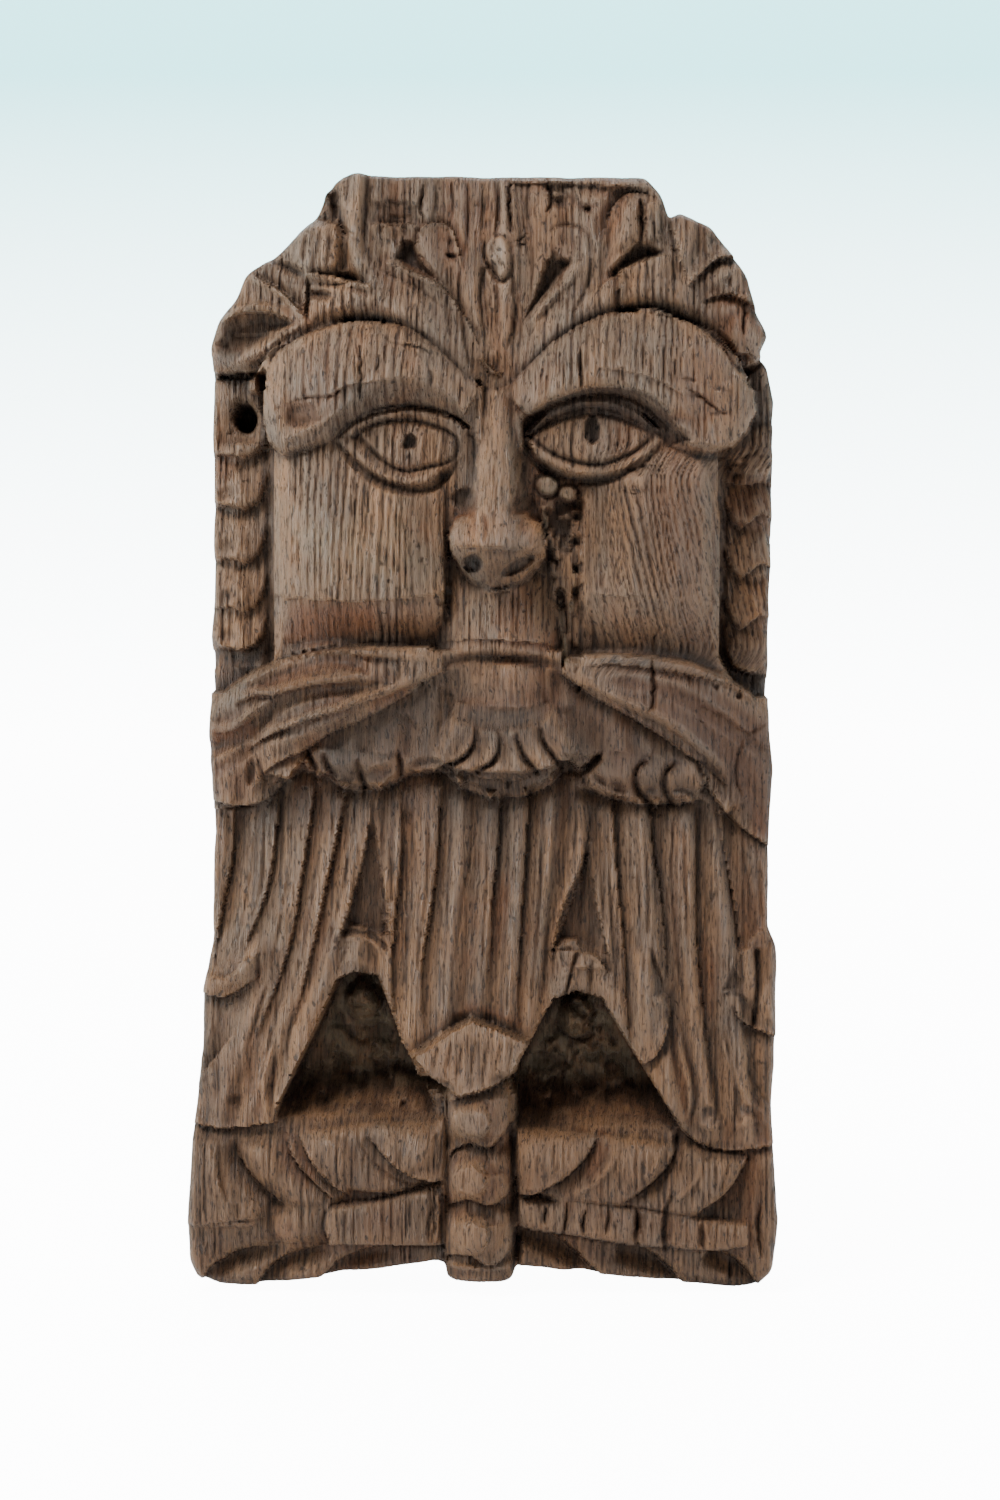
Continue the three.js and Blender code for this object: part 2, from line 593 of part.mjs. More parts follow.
/* The peaked cap over the stem, and the stem's four swelling knops. */
function stem() {
  const peak = [
    [-19, -86], [-10.5, -80], [-3, -76], [4.5, -78.6], [12, -82], [7.5, -92], [0.5, -95], [-6.5, -97],
    [-12, -93],
  ];
  const knops = [[-93, -109.8], [-109.2, -126.2], [-125.4, -141], [-139.6, -147.6]];
  const centre = -0.8;
  const half = 9.3;
  return [
    slab(peak, beardDepth - 12, capDepth, 1.4),
    ...knops.map(([top, bottom], i) => {
      const tall = top - bottom;
      const full = stemDepth - i * 0.7;
      return blade([
        [centre, top, half - 1.2, full - 4, full - 9],
        [centre, top - tall * 0.25, half, full, full - 7],
        [centre, bottom + tall * 0.2, half, full, full - 7],
        [centre, bottom, half - 1.2, full - 4, full - 9]], round, 3);
    }),
  ];
}

/* The collar: petals that spread from the stem, with a rail under them. */
function collar() {
  const full = collarDepth;
  const core = [
    [-82, -104], [-60, -104], [-52, -95], [48, -97], [58, -108.5], [82, -109], [82, -153], [-82, -153],
  ];
  const petal = (points, lift) => cushion(points, full - 8, (x, y) => full + lift - (y + 115) * 0.12, 5, 2);
  const block = (points, lift) => slab(points, 0, full + lift, 0.8);
  return [
    slab(core, 0, full - 6),
    petal([[-9, -102], [-29.5, -104.5], [-27, -112], [-21, -118], [-14, -120.5], [-9, -120.5]], 1.5),
    petal([[-24, -103], [-49, -105.5], [-46, -112], [-41, -118], [-35, -123], [-24, -123.6], [-14, -121]], 0),
    petal([[-44, -105.5], [-66, -109.5], [-64.5, -116], [-60, -122.5], [-54, -127], [-42, -127],
      [-34, -124]], -1.5),
    petal([[-66, -107], [-62.5, -119], [-57.5, -126.5], [-61, -133], [-82, -133], [-82, -107]], -2),
    petal([[8, -104], [30.5, -107], [28.5, -114], [23, -120], [15, -124], [8, -124]], 1.5),
    petal([[26, -106], [52, -109], [50, -115], [45, -121], [37.5, -127], [26, -126.6], [14, -124]], 0),
    petal([[48, -109], [71.5, -113], [68.5, -121], [63, -126], [56, -130], [44, -129.6], [36, -127]], -1.5),
    block([[72.6, -112], [82, -112], [82, -146], [73.4, -143], [73.6, -119]], -4),
    block([[-55.5, -128], [-43, -127], [-43, -137], [-55.5, -137]], -2.4),
    block([[-42, -126.5], [-28, -124.6], [-10.5, -120.6], [-10.5, -137], [-41, -137], [-42.6, -132]], -0.6),
    block([[9, -124.5], [22, -125.5], [41.5, -127.5], [41, -137.5], [22, -134.5], [9, -132.5]], -0.6),
    block([[42.2, -127.5], [49.4, -128.5], [48.6, -138.4], [41.8, -137.6]], -1),
    block([[50.2, -128.8], [71, -131.5], [71, -139], [49.2, -138.4]], -1.6),
  ];
}

/* Slanting cuts that twist the lobes along the foot, and the cut that leans the foot back. */
function footCuts() {
  const low = collarDepth - 7;
  const arc = (x0, y0, x1, y1, x2, y2) => veeCut([
    [x0, y0, 2, low - 2, 3], [x1, y1, 3.2, low, 4.2], [x2, y2, 2, low, 2.6]], 4);
  return [
    arc(-76, -150, -67, -141.5, -53, -138),
    arc(-61, -151, -53, -142.5, -41, -138),
    arc(-43, -150, -35, -142, -24, -138),
    arc(10, -134, 22, -139, 30, -148),
    arc(36, -139, 48, -143.5, 57, -152),
    arc(60, -139.5, 70, -145.5, 77, -153),
    veeCut([[-67, -110, 2.4, low + 3, 3], [-62, -120.5, 3, low + 3, 4], [-53, -127.5, 2, low + 3, 3]], 3),
    funnel([[-90, -152], [90, -152], [90, -160], [-90, -160]],
      [[-90, -134], [90, -134], [90, -160], [-90, -160]], low - 10, low + 20),
  ];
}

/* Pupils, nail hole, the slot beside it, the eaten channel by the nose and the split in the top. */
function holes() {
  const channel = [
    [15.4, 67], [24.5, 67], [26, 50], [25, 30], [22.8, 19], [21.4, 24], [19.6, 40], [17, 52],
  ];
  const half = splitWidth / 2;
  return [
    ball(-19.4, 77.8, eyeDepth + 0.5, pupilRadius, pupilRadius * 1.15, pupilDrop),
    ball(28.8, 81.2, eyeDepth + 0.5, pupilRadius, pupilRadius * 1.3, pupilDrop),
    slab(oval(-65.3, 84.7, nailHoleRadius, nailHoleRadius * 1.1, 12), nailHoleFloor, noseDepth),
    slab([[-61, 96.5], [-58.2, 97], [-58.6, 86], [-60.6, 87]], boardDepth - 9, noseDepth),
    slab(channel, socketDepth - 4, noseDepth),
    slab([[4.4 - half, 154], [4.4, 150 - splitLength], [4.4 + half, 154]], -1, noseDepth),
  ];
}

/* The whole block: the board, the relief trimmed to the outline, and what is cut back into both. */
function carvedBlock() {
  const forehead = cut(join([foreheadMass(), ...foreheadLeaves()]), foreheadHollows());
  const eyes = [...eye(-33.5, -5, 80.4, 4.2, 10), ...eye(13.5, 45.5, 80.2, 7, 8.4)];
  const face = cut(join([faceMass(), forehead, ...brows(), ...cheeks(), ...eyes, ...sideScales()]), holes());
  const features = join([face, nose(), ...mouth(), ...moustache(), ...jawFringe()]);
  const hair = cut(join([beard(), ...beardTips()]), beardSlots());
  const foot = cut(join(collar()), footCuts());
  const trimmed = join([features, hair, foot]).intersect(blank());
  const opened = cut(join([board(), trimmed]), hollows());
  const finished = join([opened, ...bosses(), ...stem()]);
  return cut(finished, holes().slice(2, 4));
}

/* A solid as geometry that three.js can show. */
function toGeometry(body) {
  const mesh = body.getMesh();
  const geometry = new THREE.BufferGeometry();
  geometry.setAttribute('position', new THREE.BufferAttribute(mesh.vertProperties, 3));
  geometry.setIndex(new THREE.BufferAttribute(mesh.triVerts, 1));
  geometry.computeVertexNormals();
  return geometry;
}

const oak = new THREE.MeshStandardMaterial({ color: 0x5b4334, roughness: 0.72, metalness: 0 });
const block = new THREE.Mesh(toGeometry(carvedBlock()), oak);
block.name = 'carved_block';
block.rotation.x = Math.PI / 2;

const mask = new THREE.Group();
mask.add(block);

export default mask;
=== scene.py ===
"""Looks for the carved oak green man mask.

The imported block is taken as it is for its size, outline and depths. Its front is then carved a second time,
finer: rounded where hands and weather have rounded it, cut again where the gouge cut, and raised in grain.
Places on the panel are in millimetres: x to the right, y up, and depth out of the flat back.
"""

import logging
import math
from dataclasses import dataclass
from enum import Enum
from typing import Callable, Sequence

import bpy
import numpy as np
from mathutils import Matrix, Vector
from mathutils.bvhtree import BVHTree

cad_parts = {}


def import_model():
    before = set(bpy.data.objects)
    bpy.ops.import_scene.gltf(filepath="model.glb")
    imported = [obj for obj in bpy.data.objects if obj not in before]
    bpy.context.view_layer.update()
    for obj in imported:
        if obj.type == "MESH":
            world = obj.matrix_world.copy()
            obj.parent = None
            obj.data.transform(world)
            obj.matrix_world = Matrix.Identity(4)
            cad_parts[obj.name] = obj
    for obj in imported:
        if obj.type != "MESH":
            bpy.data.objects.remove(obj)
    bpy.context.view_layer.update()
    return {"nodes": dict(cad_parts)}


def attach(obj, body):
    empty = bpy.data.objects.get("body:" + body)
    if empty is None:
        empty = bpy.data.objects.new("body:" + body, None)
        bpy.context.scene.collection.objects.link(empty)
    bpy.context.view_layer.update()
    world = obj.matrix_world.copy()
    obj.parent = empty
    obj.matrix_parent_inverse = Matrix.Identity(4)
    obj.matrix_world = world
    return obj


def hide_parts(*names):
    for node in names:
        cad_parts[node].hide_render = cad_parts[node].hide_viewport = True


LOG = logging.getLogger("green_man_mask")

Point = tuple[float, float]
Window = tuple[slice, slice]
Surface = Callable[[np.ndarray, np.ndarray], np.ndarray]

MM = 0.001
BLOCK_NODE = "carved_block"


class Taper(Enum):
    """Where a cut runs out to nothing."""

    NONE = "none"
    BOTH = "both"
    START = "start"
    END = "end"


class Side(Enum):
    """Which side of a line, going along it, falls away."""

    LEFT = 1.0
    RIGHT = -1.0


class Way(Enum):
    """Whether a surface may be drawn up, down or both."""

    BOTH = "both"
    UP = "up"
    DOWN = "down"


class Mark(Enum):
    """What a surface can be marked with. The dark mark holds both dirt and painted shade in creases, under
    edges and in hollows; the pale mark holds grit in the hollows and also a painted highlight on the left
    cheek.
    """

    SOOT = "soot"
    RED = "red"
    DUST = "dust"
    CALM = "calm"


class Tool(Enum):
    """The tools that a cutting list can name."""

    GROOVE = "groove"
    RIDGE = "ridge"
    FALL = "fall"
    PIT = "pit"
    SINK = "sink"
    SLOPE = "slope"
    CRACK = "crack"
    GNAW = "gnaw"
    STAIN = "stain"


OPTIONS: dict[str, Enum] = {
    option.name.lower(): option for kind in (Way, Side, Taper, Mark) for option in kind
}


@dataclass(frozen=True)
class Noise:
    """Smooth random relief that comes out the same on each run."""

    seed: int
    step_x: float
    step_y: float
    octaves: int = 1

    def at(self, x: np.ndarray, y: np.ndarray) -> np.ndarray:
        """Values from -1 to 1.

        Args:
            x: places across, in millimetres.
            y: places up, in millimetres.

        Returns:
            One value for each place.
        """
        total = np.zeros(np.shape(x))
        weight = 0.0
        for octave in range(self.octaves):
            scale = 2.0**octave
            total += self._layer(x * scale / self.step_x, y * scale / self.step_y, octave) / scale
            weight += 1.0 / scale
        return total / weight

    def _layer(self, u: np.ndarray, v: np.ndarray, octave: int) -> np.ndarray:
        """One octave of the noise, at places given in lattice steps."""
        low_u, low_v = math.floor(np.min(u)), math.floor(np.min(v))
        wide = int(np.max(u)) - low_u + 3
        high = int(np.max(v)) - low_v + 3
        lattice = np.random.default_rng(self.seed * 7 + octave).random((high, wide)) * 2.0 - 1.0
        i, j = np.floor(u).astype(int), np.floor(v).astype(int)
        fu, fv = u - i, v - j
        fu, fv = fu * fu * (3 - 2 * fu), fv * fv * (3 - 2 * fv)
        i, j = i - low_u, j - low_v
        near = lattice[j, i] * (1 - fu) + lattice[j, i + 1] * fu
        far = lattice[j + 1, i] * (1 - fu) + lattice[j + 1, i + 1] * fu
        return near * (1 - fv) + far * fv


def at(places: str) -> tuple[Point, ...]:
    """Reads places that are written as x,y with spaces between them."""
    return tuple((float(x), float(y)) for x, y in (place.split(",") for place in places.split()))


def sloping(place: Point, depth: float, across: float, up: float) -> Surface:
    """A flat slope: its depth at one place, and how much it rises for each millimetre across and up."""
    return lambda x, y: depth + (x - place[0]) * across + (y - place[1]) * up


class Cut:
    """One cut of a cutting list: its tool, its sizes and options, and the places that it goes through."""

    def __init__(self, tool: Tool) -> None:
        """Starts the cut with its tool."""
        self.tool = tool
        self.sizes: list[float | Enum] = []
        self.named: dict[str, float] = {}
        self.places: list[Point] = []

    def read(self, word: str) -> None:
        """Takes one more word of the cut: a named size, a place, an option or a size."""
        name, _, size = word.partition("=")
        if size:
            self.named[name] = float(size)
        elif "," in word:
            self.places.extend(at(word))
        else:
            self.sizes.append(OPTIONS[word] if word in OPTIONS else float(word))


def spline(points: Sequence[Point], spacing: float = 0.8) -> np.ndarray:
    """A smooth line through a few points.

    Args:
        points: the points, in millimetres.
        spacing: the distance between the points of the line.

    Returns:
        The line's points, one row each.
    """
    known = np.array(points, float)
    if len(known) == 2:
        count = max(2, int(np.linalg.norm(known[1] - known[0]) / spacing) + 1)
        return known[0] + (known[1] - known[0]) * np.linspace(0, 1, count)[:, None]
    ends = np.vstack([2 * known[0] - known[1], known, 2 * known[-1] - known[-2]])
    line = []
    for i in range(1, len(ends) - 2):
        p0, p1, p2, p3 = ends[i - 1 : i + 3]
        count = max(2, int(np.linalg.norm(p2 - p1) / spacing) + 1)
        t = np.linspace(0, 1, count, endpoint=False)[:, None]
        bend, twist = 2 * p0 - 5 * p1 + 4 * p2 - p3, 3 * p1 - p0 - 3 * p2 + p3
        line.append(0.5 * (2 * p1 + (p2 - p0) * t + bend * t**2 + twist * t**3))
    return np.vstack([*line, known[-1:]])


def closed(points: Sequence[Point]) -> np.ndarray:
    """The corners of an outline as a line that ends where it starts."""
    return np.array([*points, points[0]], float)


def smooth_step(value: np.ndarray) -> np.ndarray:
    """A soft rise from 0 to 1."""
    held = np.clip(value, 0.0, 1.0)
    return held * held * (3 - 2 * held)


def soften(field_: np.ndarray, radius: int, passes: int = 2) -> np.ndarray:
    """A field blurred by a box of the given radius, in grid steps."""
    result = field_
    for _ in range(passes):
        for axis in (0, 1):
            pad = [(0, 0), (0, 0)]
            pad[axis] = (radius + 1, radius)
            total = np.cumsum(np.pad(result, pad, mode="edge"), axis=axis)
            ahead = np.take(total, range(2 * radius + 1, total.shape[axis]), axis=axis)
            behind = np.take(total, range(0, total.shape[axis] - 2 * radius - 1), axis=axis)
            result = (ahead - behind) / (2 * radius + 1)
    return result


class Relief:
    """The front of the block: one depth for each point of the panel, and the marks on its surface."""

    def __init__(self, half_width: float = 82.0, half_height: float = 153.0, pitch: float = 0.5) -> None:
        """Lays out the grid.

        Args:
            half_width: the grid's reach to each side.
            half_height: the grid's reach up and down.
            pitch: the distance between its points.
        """
        self.pitch = pitch
        self.left = -half_width
        self.foot = -half_height
        across = np.arange(-half_width, half_width + pitch / 2, pitch)
        up = np.arange(-half_height, half_height + pitch / 2, pitch)
        self.x, self.y = np.meshgrid(across, up)
        self.depth = np.zeros(self.x.shape)
        # dirt and painted shade: how dark each place is drawn
        self.soot = np.zeros(self.x.shape)
        self.red = np.zeros(self.x.shape)
        # grit, and a painted highlight on the left cheek
        self.dust = np.zeros(self.x.shape)
        self.calm = np.zeros(self.x.shape)
        self.ring = np.ones(self.x.shape)

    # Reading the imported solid

    def sound(self, tree: BVHTree) -> None:
        """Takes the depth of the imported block's front at every point of the grid."""
        straight_in = Vector((0.0, 1.0, 0.0))
        depth = np.full(self.x.shape, np.nan)
        for (row, column), x in np.ndenumerate(self.x):
            hit, _, _, _ = tree.ray_cast(Vector((x * MM, -0.1, self.y[row, column] * MM)), straight_in)
            if hit is not None:
                depth[row, column] = -hit.y / MM
        self.take(depth)

    def take(self, depth: np.ndarray) -> None:
        """Sets the depths, and carries the front on over the sloping sides and past the edge."""
        reach, step = 6, 6.0
        empty = np.isnan(depth)
        beside, highest = empty.copy(), np.where(empty, -1e9, depth)
        for axis in (0, 1):
            ways = range(-reach, reach + 1)
            beside = np.any([np.roll(beside, way, axis) for way in ways], axis=0)
            highest = np.max([np.roll(highest, way, axis) for way in ways], axis=0)
        self.depth = np.where(beside & (depth < highest - step), np.nan, depth)
        for _ in range(16):
            empty = np.isnan(self.depth)
            if not empty.any():
                break
            grown = np.full((4, *self.depth.shape), np.nan)
            grown[0, 1:] = self.depth[:-1]
            grown[1, :-1] = self.depth[1:]
            grown[2, :, 1:] = self.depth[:, :-1]
            grown[3, :, :-1] = self.depth[:, 1:]
            counts = np.sum(~np.isnan(grown), axis=0)
            sums = np.nansum(grown, axis=0)
            fill = empty & (counts > 0)
            self.depth[fill] = sums[fill] / counts[fill]
        self.depth = np.nan_to_num(self.depth, nan=26.0)

    def wear_facets(self, radius: int, keep: float, passes: int) -> None:
        """Rounds the solid's facets off, but leaves its steps.

        Args:
            radius: how far each point looks, in grid steps.
            keep: the height of a step that stays, in millimetres.
            passes: how often it is done.
        """
        for _ in range(passes):
            total = np.zeros_like(self.depth)
            weight = np.zeros_like(self.depth)
            for i in range(-radius, radius + 1):
                for j in range(-radius, radius + 1):
                    moved = np.roll(self.depth, (i, j), (0, 1))
                    near = math.exp(-(i * i + j * j) / (radius * radius))
                    share = near * np.exp(-(((moved - self.depth) / keep) ** 2))
                    total += moved * share
                    weight += share
            self.depth = total / weight

    # Finding places

    def window(self, low: Sequence[float], high: Sequence[float]) -> Window:
        """The part of the grid between two corners."""

        def span(start: float, end: float, origin: float, count: int) -> slice:
            """The steps of the grid between two places, with one to spare."""
            return slice(
                max(0, int((start - origin) / self.pitch)),
                min(count, int((end - origin) / self.pitch) + 2),
            )

        rows, columns = self.x.shape
        return span(low[1], high[1], self.foot, rows), span(low[0], high[0], self.left, columns)

    def near(self, line: np.ndarray, reach: float) -> tuple[Window, np.ndarray, np.ndarray, np.ndarray]:
        """Looks up the grid's points near a line.

        Args:
            line: the line's points.
            reach: how far from it to look.

        Returns:
            The window of the grid, and in it each point's distance, its place along the line from 0 to 1,
            and its side, which is 1 on the left of the line and -1 on its right.
        """
        window = self.window(line.min(0) - reach, line.max(0) + reach)
        x, y = self.x[window], self.y[window]
        best = np.full(x.shape, 1e9)
        along = np.zeros(x.shape)
        side = np.ones(x.shape)
        if x.size == 0:
            return window, best, along, side
        left, foot = x[0, 0], y[0, 0]
        for i, (a, b) in enumerate(zip(line[:-1], line[1:])):
            low, high = np.minimum(a, b) - reach, np.maximum(a, b) + reach
            rows = slice(
                max(0, int((low[1] - foot) / self.pitch)), max(0, int((high[1] - foot) / self.pitch) + 2),
            )
            columns = slice(
                max(0, int((low[0] - left) / self.pitch)), max(0, int((high[0] - left) / self.pitch) + 2),
            )
            px, py = x[rows, columns] - a[0], y[rows, columns] - a[1]
            dx, dy = b - a
            share = np.clip((px * dx + py * dy) / max(dx * dx + dy * dy, 1e-9), 0, 1)
            ex, ey = px - share * dx, py - share * dy
            apart = ex * ex + ey * ey
            closer = apart < best[rows, columns]
            best[rows, columns][closer] = apart[closer]
            along[rows, columns][closer] = (i + share[closer]) / (len(line) - 1)
            side[rows, columns][closer] = np.where(dx * ey - dy * ex >= 0, 1.0, -1.0)[closer]
        return window, np.sqrt(best), along, side

    def inside(self, corners: Sequence[Point], reach: float) -> tuple[Window, np.ndarray]:
        """The signed distance to an outline, positive inside it, for the points near and in it."""
        line = closed(corners)
        window = self.window(line.min(0) - reach, line.max(0) + reach)
        x, y = self.x[window], self.y[window]
        within = np.zeros(x.shape, bool)
        best = np.full(x.shape, 1e9)
        for (ax, ay), (bx, by) in zip(line[:-1], line[1:]):
            crosses = (ay > y) != (by > y)
            rise = by - ay if by != ay else 1e-9
            within ^= crosses & (x < ax + (y - ay) * (bx - ax) / rise)
            dx, dy = bx - ax, by - ay
            share = np.clip(((x - ax) * dx + (y - ay) * dy) / max(dx * dx + dy * dy, 1e-9), 0, 1)
            best = np.minimum(best, np.hypot(x - ax - share * dx, y - ay - share * dy))
        return window, np.where(within, best, -best)

    # Cutting

    def cut(self, cutting_list: str) -> None:
        """Works through a cutting list in order.

        Args:
            cutting_list: the cuts. Each names its tool, gives the sizes and options of the method of that
                name in their order, and then the places it goes through, as x,y.
        """
        tools = {tool.value: tool for tool in Tool}
        cuts: list[Cut] = []
        for word in cutting_list.split():
            if word in tools:
                cuts.append(Cut(tools[word]))
            else:
                cuts[-1].read(word)
        for cut in cuts:
            places = cut.places if cut.tool is Tool.PIT else [cut.places]
            getattr(self, cut.tool.value)(*places, *cut.sizes, **cut.named)

    @staticmethod
    def _run_out(along: np.ndarray, taper: Taper) -> np.ndarray:
        """How full a cut is at each place along it."""
        if taper is Taper.BOTH:
            return np.sqrt(np.clip(4 * along * (1 - along), 0, 1))
        if taper is Taper.START:
            return np.sqrt(np.clip(along * 1.6, 0, 1))
        if taper is Taper.END:
            return np.sqrt(np.clip((1 - along) * 1.6, 0, 1))
        return np.ones_like(along)

    def groove(
        self,
        points: Sequence[Point],
        half: float,
        deep: float,
        taper: Taper = Taper.BOTH,
        round_: float = 1.0,
        soot: float = 0.0,
    ) -> None:
        """Cuts a groove along a line, its floor darkened with dirt and painted shade.

        Args:
            points: the line.
            half: half the groove's width.
            deep: how deep it goes.
            taper: where it runs out.
            round_: 1 for a V, and more for a rounder floor.
            soot: how dark its floor gets.
        """
        window, apart, along, _ = self.near(spline(points), half + 0.5)
        full = self._run_out(along, taper)
        place = np.clip(1 - apart / np.maximum(half * (0.35 + 0.65 * full), 0.2), 0, 1)
        cut = 1 - (1 - place) ** round_ if round_ > 1 else place
        self.depth[window] -= deep * full * cut
        self.soot[window] = np.maximum(self.soot[window], soot * full * place)

    def ridge(self, points: Sequence[Point], half: float, lift: float, taper: Taper = Taper.BOTH) -> None:
        """Raises a soft ridge along a line."""
        window, apart, along, _ = self.near(spline(points), half + 0.5)
        full = self._run_out(along, taper)
        self.depth[window] += lift * full * smooth_step(1 - apart / half)

    def fall(
        self,
        points: Sequence[Point],
        side: Side,
        deep: float,
        run: float,
        taper: Taper = Taper.NONE,
        lip: float = 0.0,
        soot: float = 0.0,
    ) -> None:
        """Drops the surface sharply on one side of a line and lets it come up again, as under a leaf's edge,
        with painted shadow in the drop.

        Args:
            points: the line.
            side: the side that drops.
            deep: the drop at the line.
            run: how far from the line the surface is level again.
            taper: where the drop runs out.
            lip: how much the edge on the other side stands up.
            soot: how dark the drop gets at the line.
        """
        window, apart, along, which = self.near(spline(points), run + 0.5)
        full = self._run_out(along, taper)
        under = np.clip(which * side.value, 0, 1)
        slope = np.clip(1 - apart / run, 0, 1)
        self.depth[window] -= deep * full * under * slope**1.5
        self.depth[window] += lip * full * (1 - under) * np.clip(1 - apart / (run * 0.6), 0, 1) ** 2
        self.soot[window] = np.maximum(
            self.soot[window], soot * full * under * np.clip(1 - apart / 2.4, 0, 1),
        )

    def pit(
        self, place: Point, half: Point, deep: float, turn: float = 0.0, power: float = 1.0, soot: float = 0.0
    ) -> None:
        """Sinks an oval hollow, or raises a mound where deep is negative, darkened with dirt and painted
        shade.

        Args:
            place: its middle.
            half: half its width and height.
            deep: how deep its middle goes.
            turn: how far it is turned, in degrees.
            power: more for steeper sides.
            soot: how dark it gets.
        """
        reach = max(half) * 1.1
        window = self.window((place[0] - reach, place[1] - reach), (place[0] + reach, place[1] + reach))
        x, y = self.x[window] - place[0], self.y[window] - place[1]
        c, s = math.cos(math.radians(turn)), math.sin(math.radians(turn))
        away = np.hypot((x * c + y * s) / half[0], (y * c - x * s) / half[1])
        full = smooth_step(np.clip(1 - away**power, 0, 1) * 1.4)
        self.depth[window] -= deep * full
        self.soot[window] = np.maximum(self.soot[window], soot * full)

    def sink(self, corners: Sequence[Point], deep: float, run: float, soot: float = 0.0) -> None:
        """Lowers what is inside an outline, or raises it where deep is negative, with a slope run wide,
        darkened with dirt and painted shade.
        """
        window, inward = self.inside(corners, 1.0)
        full = smooth_step(inward / run)
        self.depth[window] -= deep * full
        self.soot[window] = np.maximum(self.soot[window], soot * full)

    def raise_to(self, corners: Sequence[Point], crest: Surface, edge: float, roll: float) -> None:
        """Builds up to a crest inside an outline, rolled off towards its edge.

        Args:
            corners: the outline.
            crest: the depth at each place.
            edge: how far below the crest the form's edge lies.
            roll: how wide the rolled border is.
        """
        window, inward = self.inside(corners, 1.0)
        turn = np.clip(1 - inward / roll, 0, 1)
        height = crest(self.x[window], self.y[window]) - edge * (1 - np.sqrt(np.clip(1 - turn**2, 0, 1)))
        self.depth[window] = np.where(inward > 0, np.maximum(self.depth[window], height), self.depth[window])

    def reshape(
        self,
        corners: Sequence[Point],
        target: Surface,
        run: float,
        way: Way = Way.BOTH,
        share: float = 1.0,
    ) -> None:
        """Draws the surface inside an outline towards another one.

        Args:
            corners: the outline.
            target: the depth wanted at each place.
            run: how wide the change from the old surface to the new one is.
            way: whether it may only rise or only sink.
            share: how far it goes, 1 for all the way.
        """
        window, inward = self.inside(corners, 1.0)
        full = share * smooth_step(inward / run)
        wanted = target(self.x[window], self.y[window])
        if way is Way.UP:
            wanted = np.maximum(wanted, self.depth[window])
        if way is Way.DOWN:
            wanted = np.minimum(wanted, self.depth[window])
        self.depth[window] = self.depth[window] * (1 - full) + wanted * full

    def slope(
        self, places: Sequence[Point], depth: float, across: float, up: float, run: float, way: Way = Way.BOTH
    ) -> None:
        """Draws the surface inside an outline towards a flat slope.

        Args:
            places: where the slope has its depth, and then the outline.
            depth: that depth.
            across: its rise for each millimetre across.
            up: its rise for each millimetre up.
            run: how wide the change at the outline is.
            way: whether it may only rise or only sink.
        """
        self.reshape(places[1:], sloping(places[0], depth, across, up), run, way)

    def fill_in(self, corners: Sequence[Point], radius: int, deepest: float) -> None:
        """Fills the valleys inside an outline where they lie more than deepest below what is round them."""
        window, inward = self.inside(corners, 1.0)
        floor = soften(self.depth, radius)[window] - deepest
        full = smooth_step(inward / 2.0)
        low = np.maximum(floor - self.depth[window], 0.0)
        self.depth[window] += 0.85 * low * full

    def crack(
        self, points: Sequence[Point], half: float = 0.55, deep: float = 1.8, wander: float = 0.35
    ) -> None:
        """Opens a drying crack that wanders a little along its line, blackened with dirt and painted shade.
        """
        line = spline(points, 1.3)
        random = np.random.default_rng(int(abs(line[0, 0] * 13 + line[0, 1] * 7)))
        line = line + random.uniform(-wander, wander, line.shape) * (1.0, 0.3)
        self.groove([tuple(place) for place in line], half, deep, round_=1.6, soot=1.0)

    def gnaw(
        self,
        corners: Sequence[Point],
        deep: float,
        across: float,
        up: float,
        seed: float,
        run: float = 1.5,
        soot: float = 0.6,
    ) -> None:
        """Eats pits into the surface inside an outline, darkened with dirt and painted shade.

        Args:
            corners: the outline.
            deep: how deep the deepest pits go.
            across: the pits' spacing across.
            up: their spacing up the panel.
            seed: picks the pattern.
            run: how wide the change at the outline is.
            soot: how dark the pits get.
        """
        window, inward = self.inside(corners, 1.0)
        rough = Noise(int(seed), across, up, 3).at(self.x[window], self.y[window])
        pits = smooth_step((rough + 0.12) / 0.45) * smooth_step(inward / run)
        self.depth[window] -= deep * pits
        self.soot[window] = np.maximum(self.soot[window], soot * pits)

    def stain(self, corners: Sequence[Point], mark: Mark, amount: float, run: float) -> None:
        """Marks the surface inside an outline, softly over the width of run."""
        window, inward = self.inside(corners, run)
        marks = getattr(self, mark.value)
        marks[window] = np.maximum(marks[window], amount * smooth_step((inward + run) / (2 * run)))


